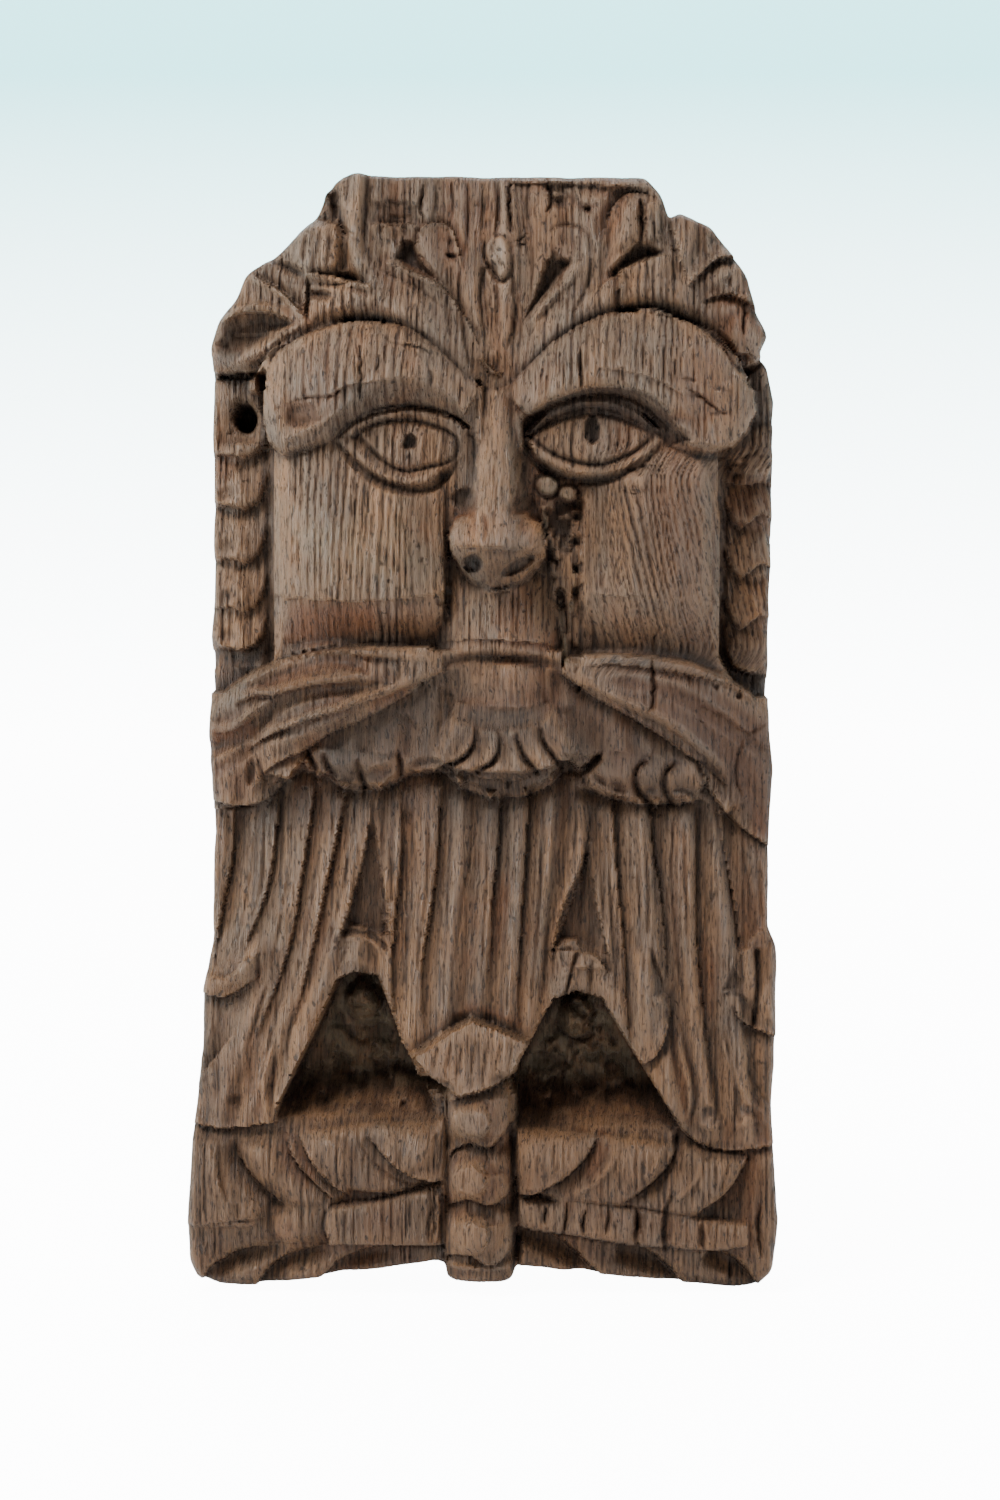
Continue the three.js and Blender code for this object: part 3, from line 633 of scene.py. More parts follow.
@dataclass(frozen=True)
class Grain:
    """The oak's rings, which stand as ridges running up the panel."""

    seed: int = 11
    closest: float = 1.0
    widest: float = 2.4
    height: float = 1.0
    lean: float = 0.10

    def phase(self, x: np.ndarray, y: np.ndarray, depth: np.ndarray) -> np.ndarray:
        """Where each place lies across the rings, in millimetres of wood."""
        drift = Noise(self.seed, 30.0, 120.0, 2).at(x, y) * 2.6
        drift += Noise(self.seed + 5, 9.0, 34.0, 2).at(x, y) * 0.8
        drift += Noise(self.seed + 31, 3.0, 7.0, 3).at(x, y) * 0.55
        knots = np.zeros(np.shape(x))
        for kx, ky, size, push in ((4.6, 127.0, 7.0, 2.6), (40.5, 69.0, 6.0, 2.2), (-19.0, 60.0, 30.0, 1.5)):
            away = np.hypot(x - kx, (y - ky) * 0.55) / size
            knots += push * np.tanh((x - kx) / size * 2) * np.exp(-(away**2))
        sheared = smooth_step((x - 24) / 14) * smooth_step((78 - y) / 12) * smooth_step((y - 14) / 10)
        return x + drift - knots + self.lean * depth + 0.22 * sheared * (y - 45)

    def rings(self, x: np.ndarray, y: np.ndarray, depth: np.ndarray) -> np.ndarray:
        """The ridge, 1, or the groove, 0, of the ring at each place, broken up along its length."""
        phase = self.phase(x, y, depth)
        random = np.random.default_rng(self.seed)
        edges = np.cumsum(random.uniform(self.closest, self.widest, 240)) - 190.0
        place = np.clip(np.searchsorted(edges, phase) - 1, 0, len(edges) - 2)
        share = (phase - edges[place]) / (edges[place + 1] - edges[place])
        strength = random.uniform(0.4, 1.0, 240)[place]
        strength = strength * np.clip(0.8 + 0.8 * Noise(self.seed + 41, 1.6, 7.0, 3).at(x, y), 0.1, 1.0)
        return 1.0 - strength * (1.0 - smooth_step(share * 2.4) * smooth_step((1 - share) * 6.0))

    def raise_on(self, relief: Relief) -> None:
        """Lifts the hard part of each ring and sinks the soft part, less where the surface is calm."""
        x, y = relief.x, relief.y
        relief.depth += 0.22 * Noise(self.seed + 21, 5.0, 9.0, 2).at(x, y)
        ring = self.rings(x, y, relief.depth)
        calm = np.clip(np.maximum(relief.calm, 0.45 * relief.red), 0, 1)
        fibre = Noise(self.seed + 3, 0.9, 9.0, 2).at(x, y)
        relief.depth += self.height * (1 - calm) * (ring - 0.7) + 0.16 * fibre * (1 - 0.5 * calm)
        relief.ring = 0.8 - 0.14 * calm + (ring - 0.8) * (1 - 0.55 * calm)


@dataclass(frozen=True)
class Forehead:
    """The leaves that fan out above the brows."""

    bolder: float = 0.5

    def carve(self, relief: Relief) -> None:
        """Cuts the leaves, and then makes the cutting bolder."""
        self._fill_pockets(relief)
        before = relief.depth.copy()
        self._left_leaves(relief)
        self._left_top(relief)
        self._middle(relief)
        self._right_leaves(relief)
        self._right_end(relief)
        relief.depth += self.bolder * (relief.depth - before)

    @staticmethod
    def _fill_pockets(relief: Relief) -> None:
        """Brings the pockets between the leaves up to a floor that runs out at their lower ends."""
        for corners, place, depth, across, up in (
            (at("-48,125 -48,117.5 -33,117.5 -32,124 -40,126"), (-40, 121), 41.6, 0.08, -0.15),
            (at("-67,117 -67,106.5 -52,106.5 -51,112.5 -58,116"), (-60, 112), 40.0, 0.14, -0.2),
            (at("-24,132.5 -20,133 -9,123 -10.5,118.5 -22,126"), (-17, 126), 41.6, 0.05, -0.3),
            (at("14,130 26,128 25,124 14.5,110.5 11,112"), (19, 122), 41.0, 0.12, -0.3),
            (at("31,120 39.5,135 44,134.5 51,128.4 46,124"), (42, 128), 40.4, 0.0, -0.3),
            (at("57,115 68,126.5 73,125 74,117.5 60,115.5"), (66, 120), 39.4, -0.12, -0.1),
            (at("13,149 25,144 24,139.6 12,143.5"), (18, 145), 37.2, 0.0, -0.2),
            (at("-46,147 -36.5,147 -36,134 -47,134"), (-40, 140), 36.4, 0.3, -0.2),
        ):
            relief.reshape(corners, sloping(place, depth, across, up), 1.0, Way.UP)

    def _left_leaves(self, relief: Relief) -> None:
        """The leaves over the left brow."""
        # The dark stain on the lowest leaf is painted shade on its hollow facet, which faces down and to the
        # left.
        relief.cut("""
            sink 2.6 3.4 -73,104 -67,111.5 -60,113.5 -53,112.5 -48.5,109.6 -56,106 -64,101 -70,101
            ridge 2.4 1.7 -71.5,101 -66,99.4 -60,101.6 -55.5,105 -50,108.6 -45,110.6
            fall right 1.9 8 both lip=.6 -71,109.6 -66,112 -61.3,113 -56,112.2 -50,109.6
            stain soot .42 1.2 -70.2,110 -61.3,112.6 -52,110 -57.2,107 -65.5,101 -70.7,99 -71.8,103
            stain calm .8 1.2 -70.2,110 -61.3,112.6 -52,110 -57.2,107 -65.5,101 -70.7,99 -71.8,103
            fall right 1.8 3 lip=.6 soot=.9 -73,97.2 -66,95.6 -59,96.4
            ridge 1.6 1.3 -71,108.5 -66,112.6 -60,114.4 -53,113.4
            ridge 1.5 1.2 -62.4,122.6 -57,119.6 -52.5,116.4 -48.3,111
            fall left 2.2 4.6 both soot=.4 -62.4,123.2 -57,120.2 -52.5,117 -47.8,111.6
            groove 1.6 1.5 soot=.45 -58,127.6 -52,124.6 -47.5,122.8
            ridge 1.3 1.7 start -48,122.2 -44,122 -38,120.9 -30.5,119.2
            fall left 2.6 4.6 both soot=.75 -47,123.2 -40,122.6 -33,120.8 -30.4,119.9
            pit 2 -18 soot=.95 -36.3,122.2 3.6,1.3
            pit 1.4 -8 power=1.4 soot=.35 -43.5,117.3 4,1.6
            ridge 1.4 .7 -46,119.6 -40,118.8 -34,117.2 -29,115.6
            crack .7 3 .2 -47,122.6 -46.7,118 -47.1,113 -46.8,109.4
        """)

    def _left_top(self, relief: Relief) -> None:
        """The dome, the tall rib and the cut ends beside them."""
        relief.cut("""
            pit -2.3 power=2.2 -44.5,129.5 8.4,8.6
            fall left 1.7 4 start soot=.35 -54,131.4 -50,135 -45,137.8 -40,137.2 -37.2,134
        """)
        for i, x in enumerate((-50.5, -47.6, -44.2, -41.0)):
            relief.groove(
                [(x - 0.6, 126 - i * 0.4), (x, 130), (x + 0.4, 134.5 + i * 0.4)], 0.8, 0.9, soot=0.5,
            )
        relief.cut("""
            groove 1.8 2 none 1.6 .5 -40.6,146 -38.8,140 -37.4,133 -37.6,125.5
            ridge 3.2 2.4 end -33.4,150 -34.2,141 -34.8,132 -33.2,125 -29.6,119.6 -27.6,115
            groove 1.3 1.4 end soot=.5 -30.6,149 -30.8,142 -31.4,136 -30.8,129 -27.6,122
            sink 1.2 1.4 .3 -44,142.8 -38.4,148 -37.4,137.6 -41,137.8
            sink 1.3 2 .3 -31,135.6 -16,136 -16.5,142.2 -31,143.6
            fall left 1.3 3 both lip=.7 soot=.5 -30.5,136.4 -24,136.8 -16,136.2
            groove .9 1 soot=.8 -26.5,143.2 -23,142.2 -19.5,142.4
            groove .7 .5 soot=.3 -27,139.3 -22,138.6 -17.8,139.2
        """)
        for x, low in at("-27.4,129 -23.8,130.6 -20.6,131.6"):
            relief.groove([(x, 136.6), (x + 0.3, 133), (x + 1.0, low)], 0.7, 1.1, Taper.END, soot=0.55)
        relief.cut("crack .55 2 -16.2,147.5 -16.5,142 -16,136.5")

    def _middle(self, relief: Relief) -> None:
        """The hooked leaf, the knot and the tongue between the brows."""
        relief.cut("""
            sink 2.8 1.3 .9 -24,127 -21.6,132.6 -18.4,132 -17,127.4 -10.8,120.6 -15.6,122.4 -19.7,124.6
            ridge 1.2 1.2 -26.5,126.2 -22.6,125.2 -18,122.6 -12.6,119.6 -9.4,118.6
            groove 1.2 .9 soot=.3 -28,124 -22,121.4 -16,118 -10,113.6
            fall left 1.2 2.6 none lip=.9 soot=.4 -17.9,131 -15.8,136 -9.4,136.2 -7,132 -6,127.6
            fall left .9 2.4 both lip=.8 soot=.3 -27,131 -26.6,135.2 -22,135.6 -20.8,132
            pit 1.5 -14 soot=.9 -8.2,127.8 2.3,1
            pit .9 soot=.4 -8.6,131.2 1.2,2.4
            fall left 1.4 3 both lip=.9 soot=.4 -25.9,126 -18,123.2 -11.3,119.7 -5,112 -.6,103
        """)
        for x, high, low in (
            (-12.8, 148.6, 137.4),
            (-8.4, 149, 136.2),
            (-4.2, 149, 128),
            (-0.3, 148, 133.5),
            (3.8, 149, 134.5),
        ):
            relief.groove([(x, high), (x + 0.4, (high + low) / 2), (x - 0.2, low)], 0.85, 1.3, soot=0.6)
        self._knot(relief)
        relief.cut("""
            slope 45.6 0 0 .6 up 1,98 -3,102.6 6,102.6 6,94 -3,94
            groove 1 1.7 end soot=.7 .2,124 -.6,117 .2,108 .8,103
            groove 1.1 1.3 both soot=.5 7.6,124 8.6,117 8.2,108 6.4,102
            groove .7 .8 soot=.4 4.2,121 3.6,112 4.4,104
            groove .9 1.4 soot=.6 -5.6,126 -6.2,118 -5.2,110 -4.2,102 -1.6,94
            groove .8 .9 soot=.4 -9.6,118 -9.6,112 -8.2,106
            crack .4 .8 .2 1.4,100 1.6,96 1.2,92
        """)

    @staticmethod
    def _knot(relief: Relief) -> None:
        """The teardrop knot in the middle of the forehead."""
        drop = at(".3,129.4 .8,131.8 3,133.6 5.6,133.4 7.3,131.2 8,128 7.8,124.6 5.4,120.8 3,123 1,126")
        relief.sink(drop, -1.1, 1.4)
        relief.groove(drop[5:] + drop[:2], 0.9, 1.6, Taper.BOTH, soot=0.75)
        relief.groove(drop[2:6], 0.6, 0.7, Taper.BOTH, soot=0.35)
        relief.cut("""
            pit 1.2 24 soot=.5 3.2,124.6 1.6,2.6
            groove .6 .6 soot=.3 2.4,130 4.8,126 5.4,122.4
            crack .4 .9 8.2,131.6 10,132.4 12.4,134
            crack .4 .8 8.6,130.6 12.4,131.4
        """)

    def _right_leaves(self, relief: Relief) -> None:
        """The leaves over the right brow."""
        relief.cut("""
            crack .6 2.2 7.6,149 7.2,142 7.6,134
            crack .6 2.2 17,149 18.2,144 17.2,139.5
            groove .8 1.1 soot=.5 12.4,148 12,141 12.6,134.5
            groove 1.5 .9 soot=.4 18,145.6 19,142.8 21.4,144.2 24.6,143.4 27.2,141.2 31.6,141.6
            pit 1.6 -20 soot=.6 20.6,142.6 3,2.2
            fall right 1.6 4 both lip=.3 soot=.35 6.5,147.6 18,147.9 32,146.9 40,146.4 46.6,144
            ridge 1.8 1.2 33,146.4 38,147.4 44.6,146.4
            pit 1.5 soot=.9 28.2,140.6 1.4,1.2
            groove .9 .8 soot=.3 17.4,133.5 19.4,135.9 23.8,136.3 27.8,134 29.4,127.6 28.4,120
            sink 2.8 2.6 .5 14.6,120 17.8,127.2 25,127 22.4,122.4 15.6,114.6 10.4,110
            pit 1.8 -2 soot=1 21.4,126.2 3.2,1.1
            fall right 1.6 3 start soot=.85 10.6,110 14.4,117.6 17.6,125.6 18.4,127.6
            ridge 1.4 1.3 12.6,109.6 18,116 23.6,121.8 26.2,126.4
            groove .9 1.1 soot=.55 23.8,111.6 27.6,118.6 29.2,127
            sink 3.2 1.7 .9 32.6,120.6 36.2,126.8 41,131.8 45.6,131 49.8,128.4 43,126.8 37,124.2
            fall left 1.2 3 both lip=.9 soot=.4 31.4,119.4 36.6,123.6 43,126.6 50,128.6
            crack .7 2.6 42.2,131 42.8,137 42.2,143.6
        """)
        leaf = at("33.6,127 34.2,137 37.4,143 41,144.8 42.2,141 42.2,133 39.6,130.4")
        relief.sink(leaf, -1.7, 3.4)
        relief.cut("""
            fall left 1.9 3.6 both soot=.7 32.6,132 33.6,138 37,143.9 41.4,145.4 45.6,144.2
            sink -1.6 2.4 43.6,131.4 43.4,142.4 46.4,143.6 49.6,139 50.4,131
        """)
        for x in (45.8, 48.0):
            relief.groove([(x + 0.4, 131.6), (x, 137), (x - 0.4, 142)], 0.7, 1.2, soot=0.55)
        relief.cut("""
            fall right 2.4 3.4 none lip=.7 soot=.6 36.4,123.6 36.5,119 36.7,113.8
            slope 41.4 0 .2 .5 up 48,113 40,117 47,117 54,115.6 56,111.6 48,111 40,113
        """)
        for x, high in at("38.8,124.6 44.6,126.6 51.6,127.6"):
            relief.groove([(x - 1.0, high), (x, 121), (x - 0.6, 116.6)], 0.8, 0.9, soot=0.45)

    def _right_end(self, relief: Relief) -> None:
        """The leaves that turn down at the right."""
        relief.cut("""
            fall left -1.4 5 both 50.6,139.6 51.2,133 52.8,127 55.6,120
            groove .8 1.3 soot=.6 50.2,138.4 50.8,132 52.4,126
            groove 1.6 1.2 soot=.3 57.6,138.6 58.4,134 57.4,127.6
            fall right 2.8 5 start lip=.9 soot=.6 54.6,119.6 59,123.8 63,127 68,128
            groove .7 .8 soot=.4 59.6,133.6 63.4,131.8 66,129
            sink -1.2 2.6 60,119 63,126 69,126.4 71.6,118 66,117
            fall right 2.6 4.6 start lip=.8 soot=.55 58.6,115.4 63,117.4 68,117.2 74,113.6
            sink -1 3 63,101.6 66,112.4 72,113.6 77,104 74,98.4 68,98
            crack .5 1.6 69.6,116 70.2,111 69.8,106.4
            groove 1.3 1.9 soot=.85 66.8,98.6 71,97.4 75.4,99.6
        """)


@dataclass(frozen=True)
class Brows:
    """The two heavy brows."""

    crease: float = 2.4
    arch: float = 2.6

    def carve(self, relief: Relief) -> None:
        """Cuts round the brows and cracks them."""
        left = at("-57,98.6 -54,102.6 -46.8,106.9 -36.3,110 -28,110.3 -19.7,108.2 -11.3,102 -5,95.8 -.8,91.2")
        right = at(
            ".4,91.2 6.8,93 12.9,98.7 18.3,104 25.1,108.6 31.5,111.8 36.5,113.1 43,113.2 50,112.1 "
            "55.2,110.1 60.4,106.8 64,103.2 66.8,98.4"
        )
        self._brow_ends(relief)
        for line, arch in ((left, left[:6]), (right, right[6:])):
            relief.fall(line, Side.LEFT, self.crease, 1.7, Taper.BOTH, soot=0.95)
            relief.fall(arch, Side.LEFT, self.arch, 4.0, Taper.BOTH, soot=1.0)
            relief.fall(line, Side.RIGHT, 0.9, 1.6, Taper.BOTH)
        relief.cut("""
            sink -.9 6 -55.5,98 -50,103.6 -44,107.6 -36,109.6 -26,109.2 -16,105 -16,92 -36,90 -54,88
            sink -.9 6 16,99 26,107 36,111.4 48,112.2 58,107.6 65,98 66,88 50,84 30,96
        """)
        self._left(relief)
        self._right(relief)

    @staticmethod
    def _brow_ends(relief: Relief) -> None:
        """Rolls the outer ends of the brows down over the cheeks and the side boards."""
        left = at("-53,97 -58.6,92 -59.4,85 -57.6,78 -53.6,74.2 -46,75.6 -40,78.4 -36,84 -40,90")
        relief.raise_to(left, sloping((-50, 84), 48.6, 0.10, 0.12), 5.0, 4.6)
        right = at("47,84 50.6,79.6 55.6,76 61,75 66.8,76.8 70.6,80.2 73.6,86 73.4,91.6 69,97 56,93")
        relief.raise_to(right, lambda x, y: 47.6 - 0.55 * np.maximum(x - 62, 0) + 0.08 * (y - 84), 4.4, 4.4)

    @staticmethod
    def _left(relief: Relief) -> None:
        """Strokes, cracks and the nail hole by the left brow."""
        crest = at(
            "-55.6,86.4 -49.8,89.1 -44,89.9 -40.1,90.1 -36.3,92.6 -31,93.3 -23.4,94.5 -17,94.9 -12.6,93.4"
        )
        relief.fall(crest, Side.RIGHT, 0.5, 6.0, Taper.BOTH, lip=0.8)
        relief.groove(crest[1:5], 0.6, 0.9, soot=0.7)
        relief.cut("""
            ridge 1.3 1.3 -54,78.2 -50,79.6 -43.9,82.4 -38.8,85.4 -34.6,87.8
            groove 1.3 1.2 soot=.9 -54.6,74 -50,75 -45,76.4 -40.5,78
            pit 1.5 14 power=1.8 soot=.3 -48.3,85 5.4,3.7
            stain calm .9 1.5 -53,87 -44,88.6 -43,83 -52,81
        """)
        relief.reshape(
            at("-59.4,84 -52.7,78.6 -43.9,81.6 -36.4,85.6 -39,77.4 -46,74.4 -55.2,73.6"),
            lambda x, y: 46.0 + 0.8 * (y - 75.4 - 0.22 * np.maximum(x + 50, 0)), 1.2, Way.DOWN,
        )
        relief.cut("""
            crack .55 2.2 -32.6,103 -32.2,96 -32.4,89.4 -31.4,86.8
            crack .5 1.5 -27.8,101 -27.4,95.6
            groove .9 1.6 soot=1 -14.2,97 -13.6,94.8 -13.8,92.4
            crack .5 1.4 -13.4,92.6 -10.8,89.9 -10.5,84.9
            crack .45 1 -24,104 -16,102.6 -13,99.6
            slope 30.2 0 -.02 1 up -66,85 -73.4,76 -73.4,96 -58.4,96 -58.4,76
        """)
        relief.reshape(at("-72,77.6 -72,92 -58.6,92 -58.6,77.6"), Brows._nail_hole, 0.8)
        relief.cut("gnaw 1 2.2 2.6 5 soot=.25 -70.4,79 -69.6,90.4 -60.6,90.4 -60.6,78.6")
        hole = at("-67.4,83.4 -66.8,86.6 -65.2,88.4 -62.8,87.6 -61.4,85.4 -62,81.8 -64.6,80.6 -66.4,81.4")
        relief.stain(hole, Mark.SOOT, 1.0, 1.0)
        relief.cut("""
            stain soot .35 1.6 -69.4,80 -69,89 -64,90.4 -60,88 -60,80 -64.6,78
            fall right 1.4 2.6 soot=.6 -72.8,96 -66,95.6 -58.6,96
            slope 29 0 0 .7 up -60,92 -61.4,97 -58.6,97 -58.8,88 -61.2,88
            groove 1 2 none soot=.7 -59.8,96 -60,91 -59.6,86.6
        """)

    @staticmethod
    def _nail_hole(x: np.ndarray, y: np.ndarray) -> np.ndarray:
        """The old nail hole in the side board: a soft funnel and a deep, uneven middle."""
        away = np.hypot((x + 64.4) / 3.1, (y - 84.6) / 3.9) + 0.16 * Noise(61, 2.4, 2.4, 2).at(x, y)
        return 30.0 - 1.6 * smooth_step(1.9 - away) - 15.0 * smooth_step((1.12 - away) / 0.34)

    @staticmethod
    def _right(relief: Relief) -> None:
        """Strokes and cracks of the right brow."""
        under = at("11.7,82 16.8,87.2 23.3,90.4 29.7,92.3 37.4,92 42.5,91 47.6,87.8 51.5,82.7 56,80")
        relief.fall(under, Side.RIGHT, 1.0, 3.0, Taper.BOTH, lip=0.9, soot=0.9)
        relief.cut("""
            fall right .9 6 both lip=.6 30,97.6 34.4,96.9 40,96 46.1,94.2 54.9,89.4
            crack .5 1.2 53.4,92.2 56.4,90.8 59.8,88.6 62,86.6 65,85.4
            ridge 1.8 1.4 46.4,80.6 52,79 60,77.4 68,78.8 71.6,82
            groove 1.2 1.5 start soot=.85 46.4,78.4 51.5,76.4 55.3,74.8 60.6,73.9 65,74.2
            crack .6 2.4 26.4,103 26,96.6 26.4,91
            crack .5 1.2 36.6,98 37.2,93.6
        """)
        for a, b in (
            ((53.4, 90.4), (59.6, 89.6)),
            ((60, 85.2), (66, 85.8)),
            ((52.6, 94.6), (57, 94.0)),
            ((61, 92.4), (66.4, 91.2)),
        ):
            relief.groove([a, b], 0.8, 0.8, soot=0.45)
        relief.cut("ridge 1.3 .9 73,92.4 74.2,88 73.4,84.4 70.6,80.4")


@dataclass(frozen=True)
class Eye:
    """One lidded eye: outlines of the whole and of the ball, and the lines of its two lids."""

    middle: Point
    level: float
    whole: tuple[Point, ...]
    ball: tuple[Point, ...]
    upper: tuple[Point, ...]
    lower: tuple[Point, ...]
    crease: tuple[Point, ...]
    bag: tuple[Point, ...]
    pupil: tuple[Point, ...]
    lid: float = 1.3
    shade: float = 0.0

    def carve(self, relief: Relief) -> None:
        """Cuts the eye."""
        x, y = self.middle
        relief.reshape(self.whole, sloping(self.middle, self.level, 0.0, 0.0), 1.0)
        relief.reshape(
            self.ball, lambda u, v: self.level + 1.5 - 0.009 * (u - x) ** 2 - 0.03 * (v - y) ** 2, 1.2,
        )
        edge = [*self.ball, self.ball[0]]
        relief.groove(edge, 0.9, 1.6, Taper.NONE, soot=0.85)
        relief.ridge(self.upper, 1.3, self.lid)
        relief.ridge(self.lower, 1.8, self.lid)
        relief.groove(self.crease, 1.3, 2.2, Taper.BOTH, 1.3, 0.95)
        relief.groove(self.bag, 1.6, 2.6, Taper.BOTH, 1.5, 0.95)
        relief.sink(self.pupil, 2.6, 0.6, 1.0)
        for i, across in enumerate((-8.6, -5.6, 4.4, 6.8, 9.6)):
            relief.groove(
                [(x + across, y - 4.4), (x + across + 0.4, y), (x + across, y + 4 - i * 0.3)], 0.55, 0.6,
                soot=0.5,
            )
        if self.shade:
            relief.stain([*self.crease, *reversed(self.upper)], Mark.SOOT, self.shade, 1.2)


@dataclass(frozen=True)
class Eyes:
    """The left eye, level, and the right one, lifted and deep under its brow."""

    def carve(self, relief: Relief) -> None:
        """Cuts both eyes and what shades them."""
        relief.reshape(
            at("-38,92.8 -32,93.8 -23,95 -14,94.6 -8,91 -3.6,83.4 -10,85.2 -22,87.2 -30,85.6 -36,82 -41,80"),
            lambda x, y: 46.6 + 1.05 * (y - 88.4 + 0.022 * (x + 19) ** 2), 0.8, Way.DOWN,
        )
        Eye(
            middle=(-20.0, 77.4),
            level=45.6,
            whole=at(
                "-39,78.6 -36,82.6 -30.2,86 -22.1,87.8 -14.8,87.2 -8.4,85 -3.6,81.6 -5.4,76 -6.6,72.6 "
                "-8.4,69.6 -12.4,66.2 -18.1,64.6 -23.7,65.4 -29.4,67.8 -34.2,71.8 -37.8,76"
            ),
            ball=at(
                "-33.4,80.5 -27.7,83 -20.5,83.8 -14,82.6 -8.4,80 -6.6,77.3 -7.2,74.1 -10,72.3 -14.8,71.2 "
                "-19.7,70.2 -23.7,71 -27.9,74 -31.2,77.6"
            ),
            upper=at("-36.8,79.6 -32.6,82.8 -25.3,85.2 -17.3,85.9 -10,84 -4.4,81.2"),
            lower=at("-36.4,78 -33,74.4 -29.3,70.9 -25.3,68.5 -20,67.5 -14.5,68.4 -10.6,70.4"),
            crease=at("-38,79.4 -35.8,82.4 -30.2,85.9 -22.1,87.5 -14.8,87 -8.4,84.8 -4.2,82.4"),
            bag=at(
                "-38.6,78.6 -37.4,76 -34.2,72.1 -29.4,68.2 -23.7,65.7 -18.1,64.8 -12.4,66.3 -8.6,70.4 "
                "-6.8,73.4"
            ),
            pupil=at("-21.8,77 -20.6,79.8 -18.8,80.6 -17.3,78.6 -17.7,76.2 -20.4,75.6"),
        ).carve(relief)
        # The two dark stains here are painted shade under the left brow and on the lobe below its outer end.
        relief.cut("""
            pit 2.2 42 soot=1 -10.6,68.8 3.2,1.9
            crack .4 1 -19.8,75.8 -19.6,70.6 -19.8,68.2
            groove .7 .8 soot=.6 -34.4,79.6 -30.2,75.6 -25.6,71.4
            pit 1 soot=.8 -34.2,79.4 1.3,1.2
            stain soot .38 1.2 -38,92 -32,93.4 -23,94.6 -14,94.2 -8,90 -3.6,83.4 -10,85.2 -22,87.2 -30,85.6
                -36,82 -41,80
            stain soot .38 1.2 -59.4,84 -52.7,78 -43.9,81 -36.4,85 -39,77.4 -46,74.4 -55.2,73.6
            stain red .55 6 48,84 56,104 66,96 72,84 58,76
            stain red .65 5 62,100 62,118 72,120 78,104 70,97
            stain red .45 3 -56,92 -40,91 -36,86 -50,80 -58,84
        """)
        socket = at(
            "11.4,84.4 17.5,88.6 25.5,91 33.4,92 41.2,90.4 47.1,86.4 52,81.4 56,78.4 50,76.8 45.1,80.3 "
            "28.5,85.6 14.7,80.7 11.6,79"
        )
        relief.reshape(socket, lambda x, y: 44.6 + 0.25 * (y - 86), 0.8, Way.DOWN)
        # painted shade on the band under the right brow, as if in the brow's shadow
        relief.stain(socket, Mark.SOOT, 0.8, 0.8)
        Eye(
            middle=(29.0, 79.0),
            level=45.2,
            whole=at(
                "11.8,78 14,81.6 21,85.4 28.5,87 35.3,86.2 41.8,83.6 46.6,80.6 48.4,78.6 43.6,73 37.6,69.4 "
                "31.4,67.6 24.4,67.8 17.4,70.2 13.4,73.4"
            ),
            ball=at(
                "12.8,79.2 16,81.6 21.6,84.2 28.5,85.6 35.3,84.7 41.2,82.2 45.1,80 43,77.2 38.3,74.4 "
                "31.4,71.9 23.6,72.9 17.7,75.4"
            ),
            upper=at("13,82 18.4,85.6 25.2,88 31.6,88.5 37.4,87 42.5,84.4 47,81.2"),
            lower=at("13.4,76 18.2,72.6 24,70.3 31,69.7 37.4,71.3 42.8,74.8 46.6,78.6"),
            crease=at("12.6,84.2 17.8,87.6 25.2,90.2 32.4,91 39.8,89.6 45.6,85.8 50.4,80.6"),
            bag=at("11.4,77.6 13.4,73.4 17.4,70.4 24.4,68 31.4,67.7 37.6,69.4 43.6,73 48.2,78"),
            pupil=at("26.9,83.2 28.4,85.8 30.4,85.6 31.5,82 31.2,78.2 29.2,76.8 27,78.6"),
            lid=1.0,
            shade=0.85,
        ).carve(relief)
        relief.cut("""
            pit -1.2 28.2,79.2 1,1.4
            pit 2.4 -38 soot=1 16.4,70.8 3.2,2
        """)


@dataclass(frozen=True)
class SideBoards:
    """The scaled boards down both sides."""

    left_feet: tuple[float, ...] = (73.6, 59.8, 45.4, 32.2, 21.2)
    right_feet: tuple[float, ...] = (54.7, 41.2, 27.4)
    drop: float = 1.5

    def carve(self, relief: Relief) -> None:
        """Cuts the scales."""
        for corners in (at("-73,76 -58,76 -58,16 -73,16"), at("65,60 79,60 79,22 65,22")):
            relief.fill_in(corners, 7, 1.6)
        for foot in self.left_feet:
            edge = [
                (-58.2, foot + 10.5),
                (-59.4, foot + 5),
                (-61.6, foot + 1.6),
                (-64.6, foot),
                (-68, foot + 1.3),
                (-73.5, foot + 0.6),
            ]
            relief.fall(edge, Side.LEFT, self.drop, 6.5, Taper.START, lip=0.7, soot=0.45)
            relief.groove(edge[:4], 0.9, 1.0, soot=0.55)
            relief.pit((-69.4, foot + 4.4), (3.6, 2.6), 0.9, 20, soot=0.35)
            relief.ridge([(-66.4, foot + 11), (-65.4, foot + 5.6), (-63.6, foot + 1.4)], 1.8, 0.7)
        for foot in self.right_feet:
            edge = [
                (65.9, foot + 6),
                (67.2, foot + 2),
                (69.6, foot),
                (72, foot + 1.8),
                (75.2, foot + 4),
                (78, foot + 3),
            ]
            relief.fall(edge, Side.RIGHT, self.drop, 6.0, Taper.NONE, lip=0.6, soot=0.7)
            relief.groove(edge[:3], 0.9, 1.2, soot=1.0)
            relief.ridge([(72.4, foot + 10), (73.6, foot + 7), (74.6, foot + 5)], 1.6, 0.6)
            relief.groove([(70, foot + 9), (71.4, foot + 5), (72.6, foot + 3)], 1.0, 0.6, soot=0.3)
        relief.cut("""
            gnaw 1.6 3 2.4 13 1.4 .45 65.2,77 70,75.4 74.8,76.4 75.4,70 70,67.8 65.4,69.4
            fall right 1.2 4 lip=.7 soot=.4 65.6,67.6 70,66.6 75,67.2 78.4,66
            groove .7 .7 soot=.5 -72.6,91.6 -70.8,93.2 -62,93
            crack .35 .6 -66.4,43 -65.6,36 -66.2,33
            stain red .5 3 66,67 78,67 78,54 66,54
        """)


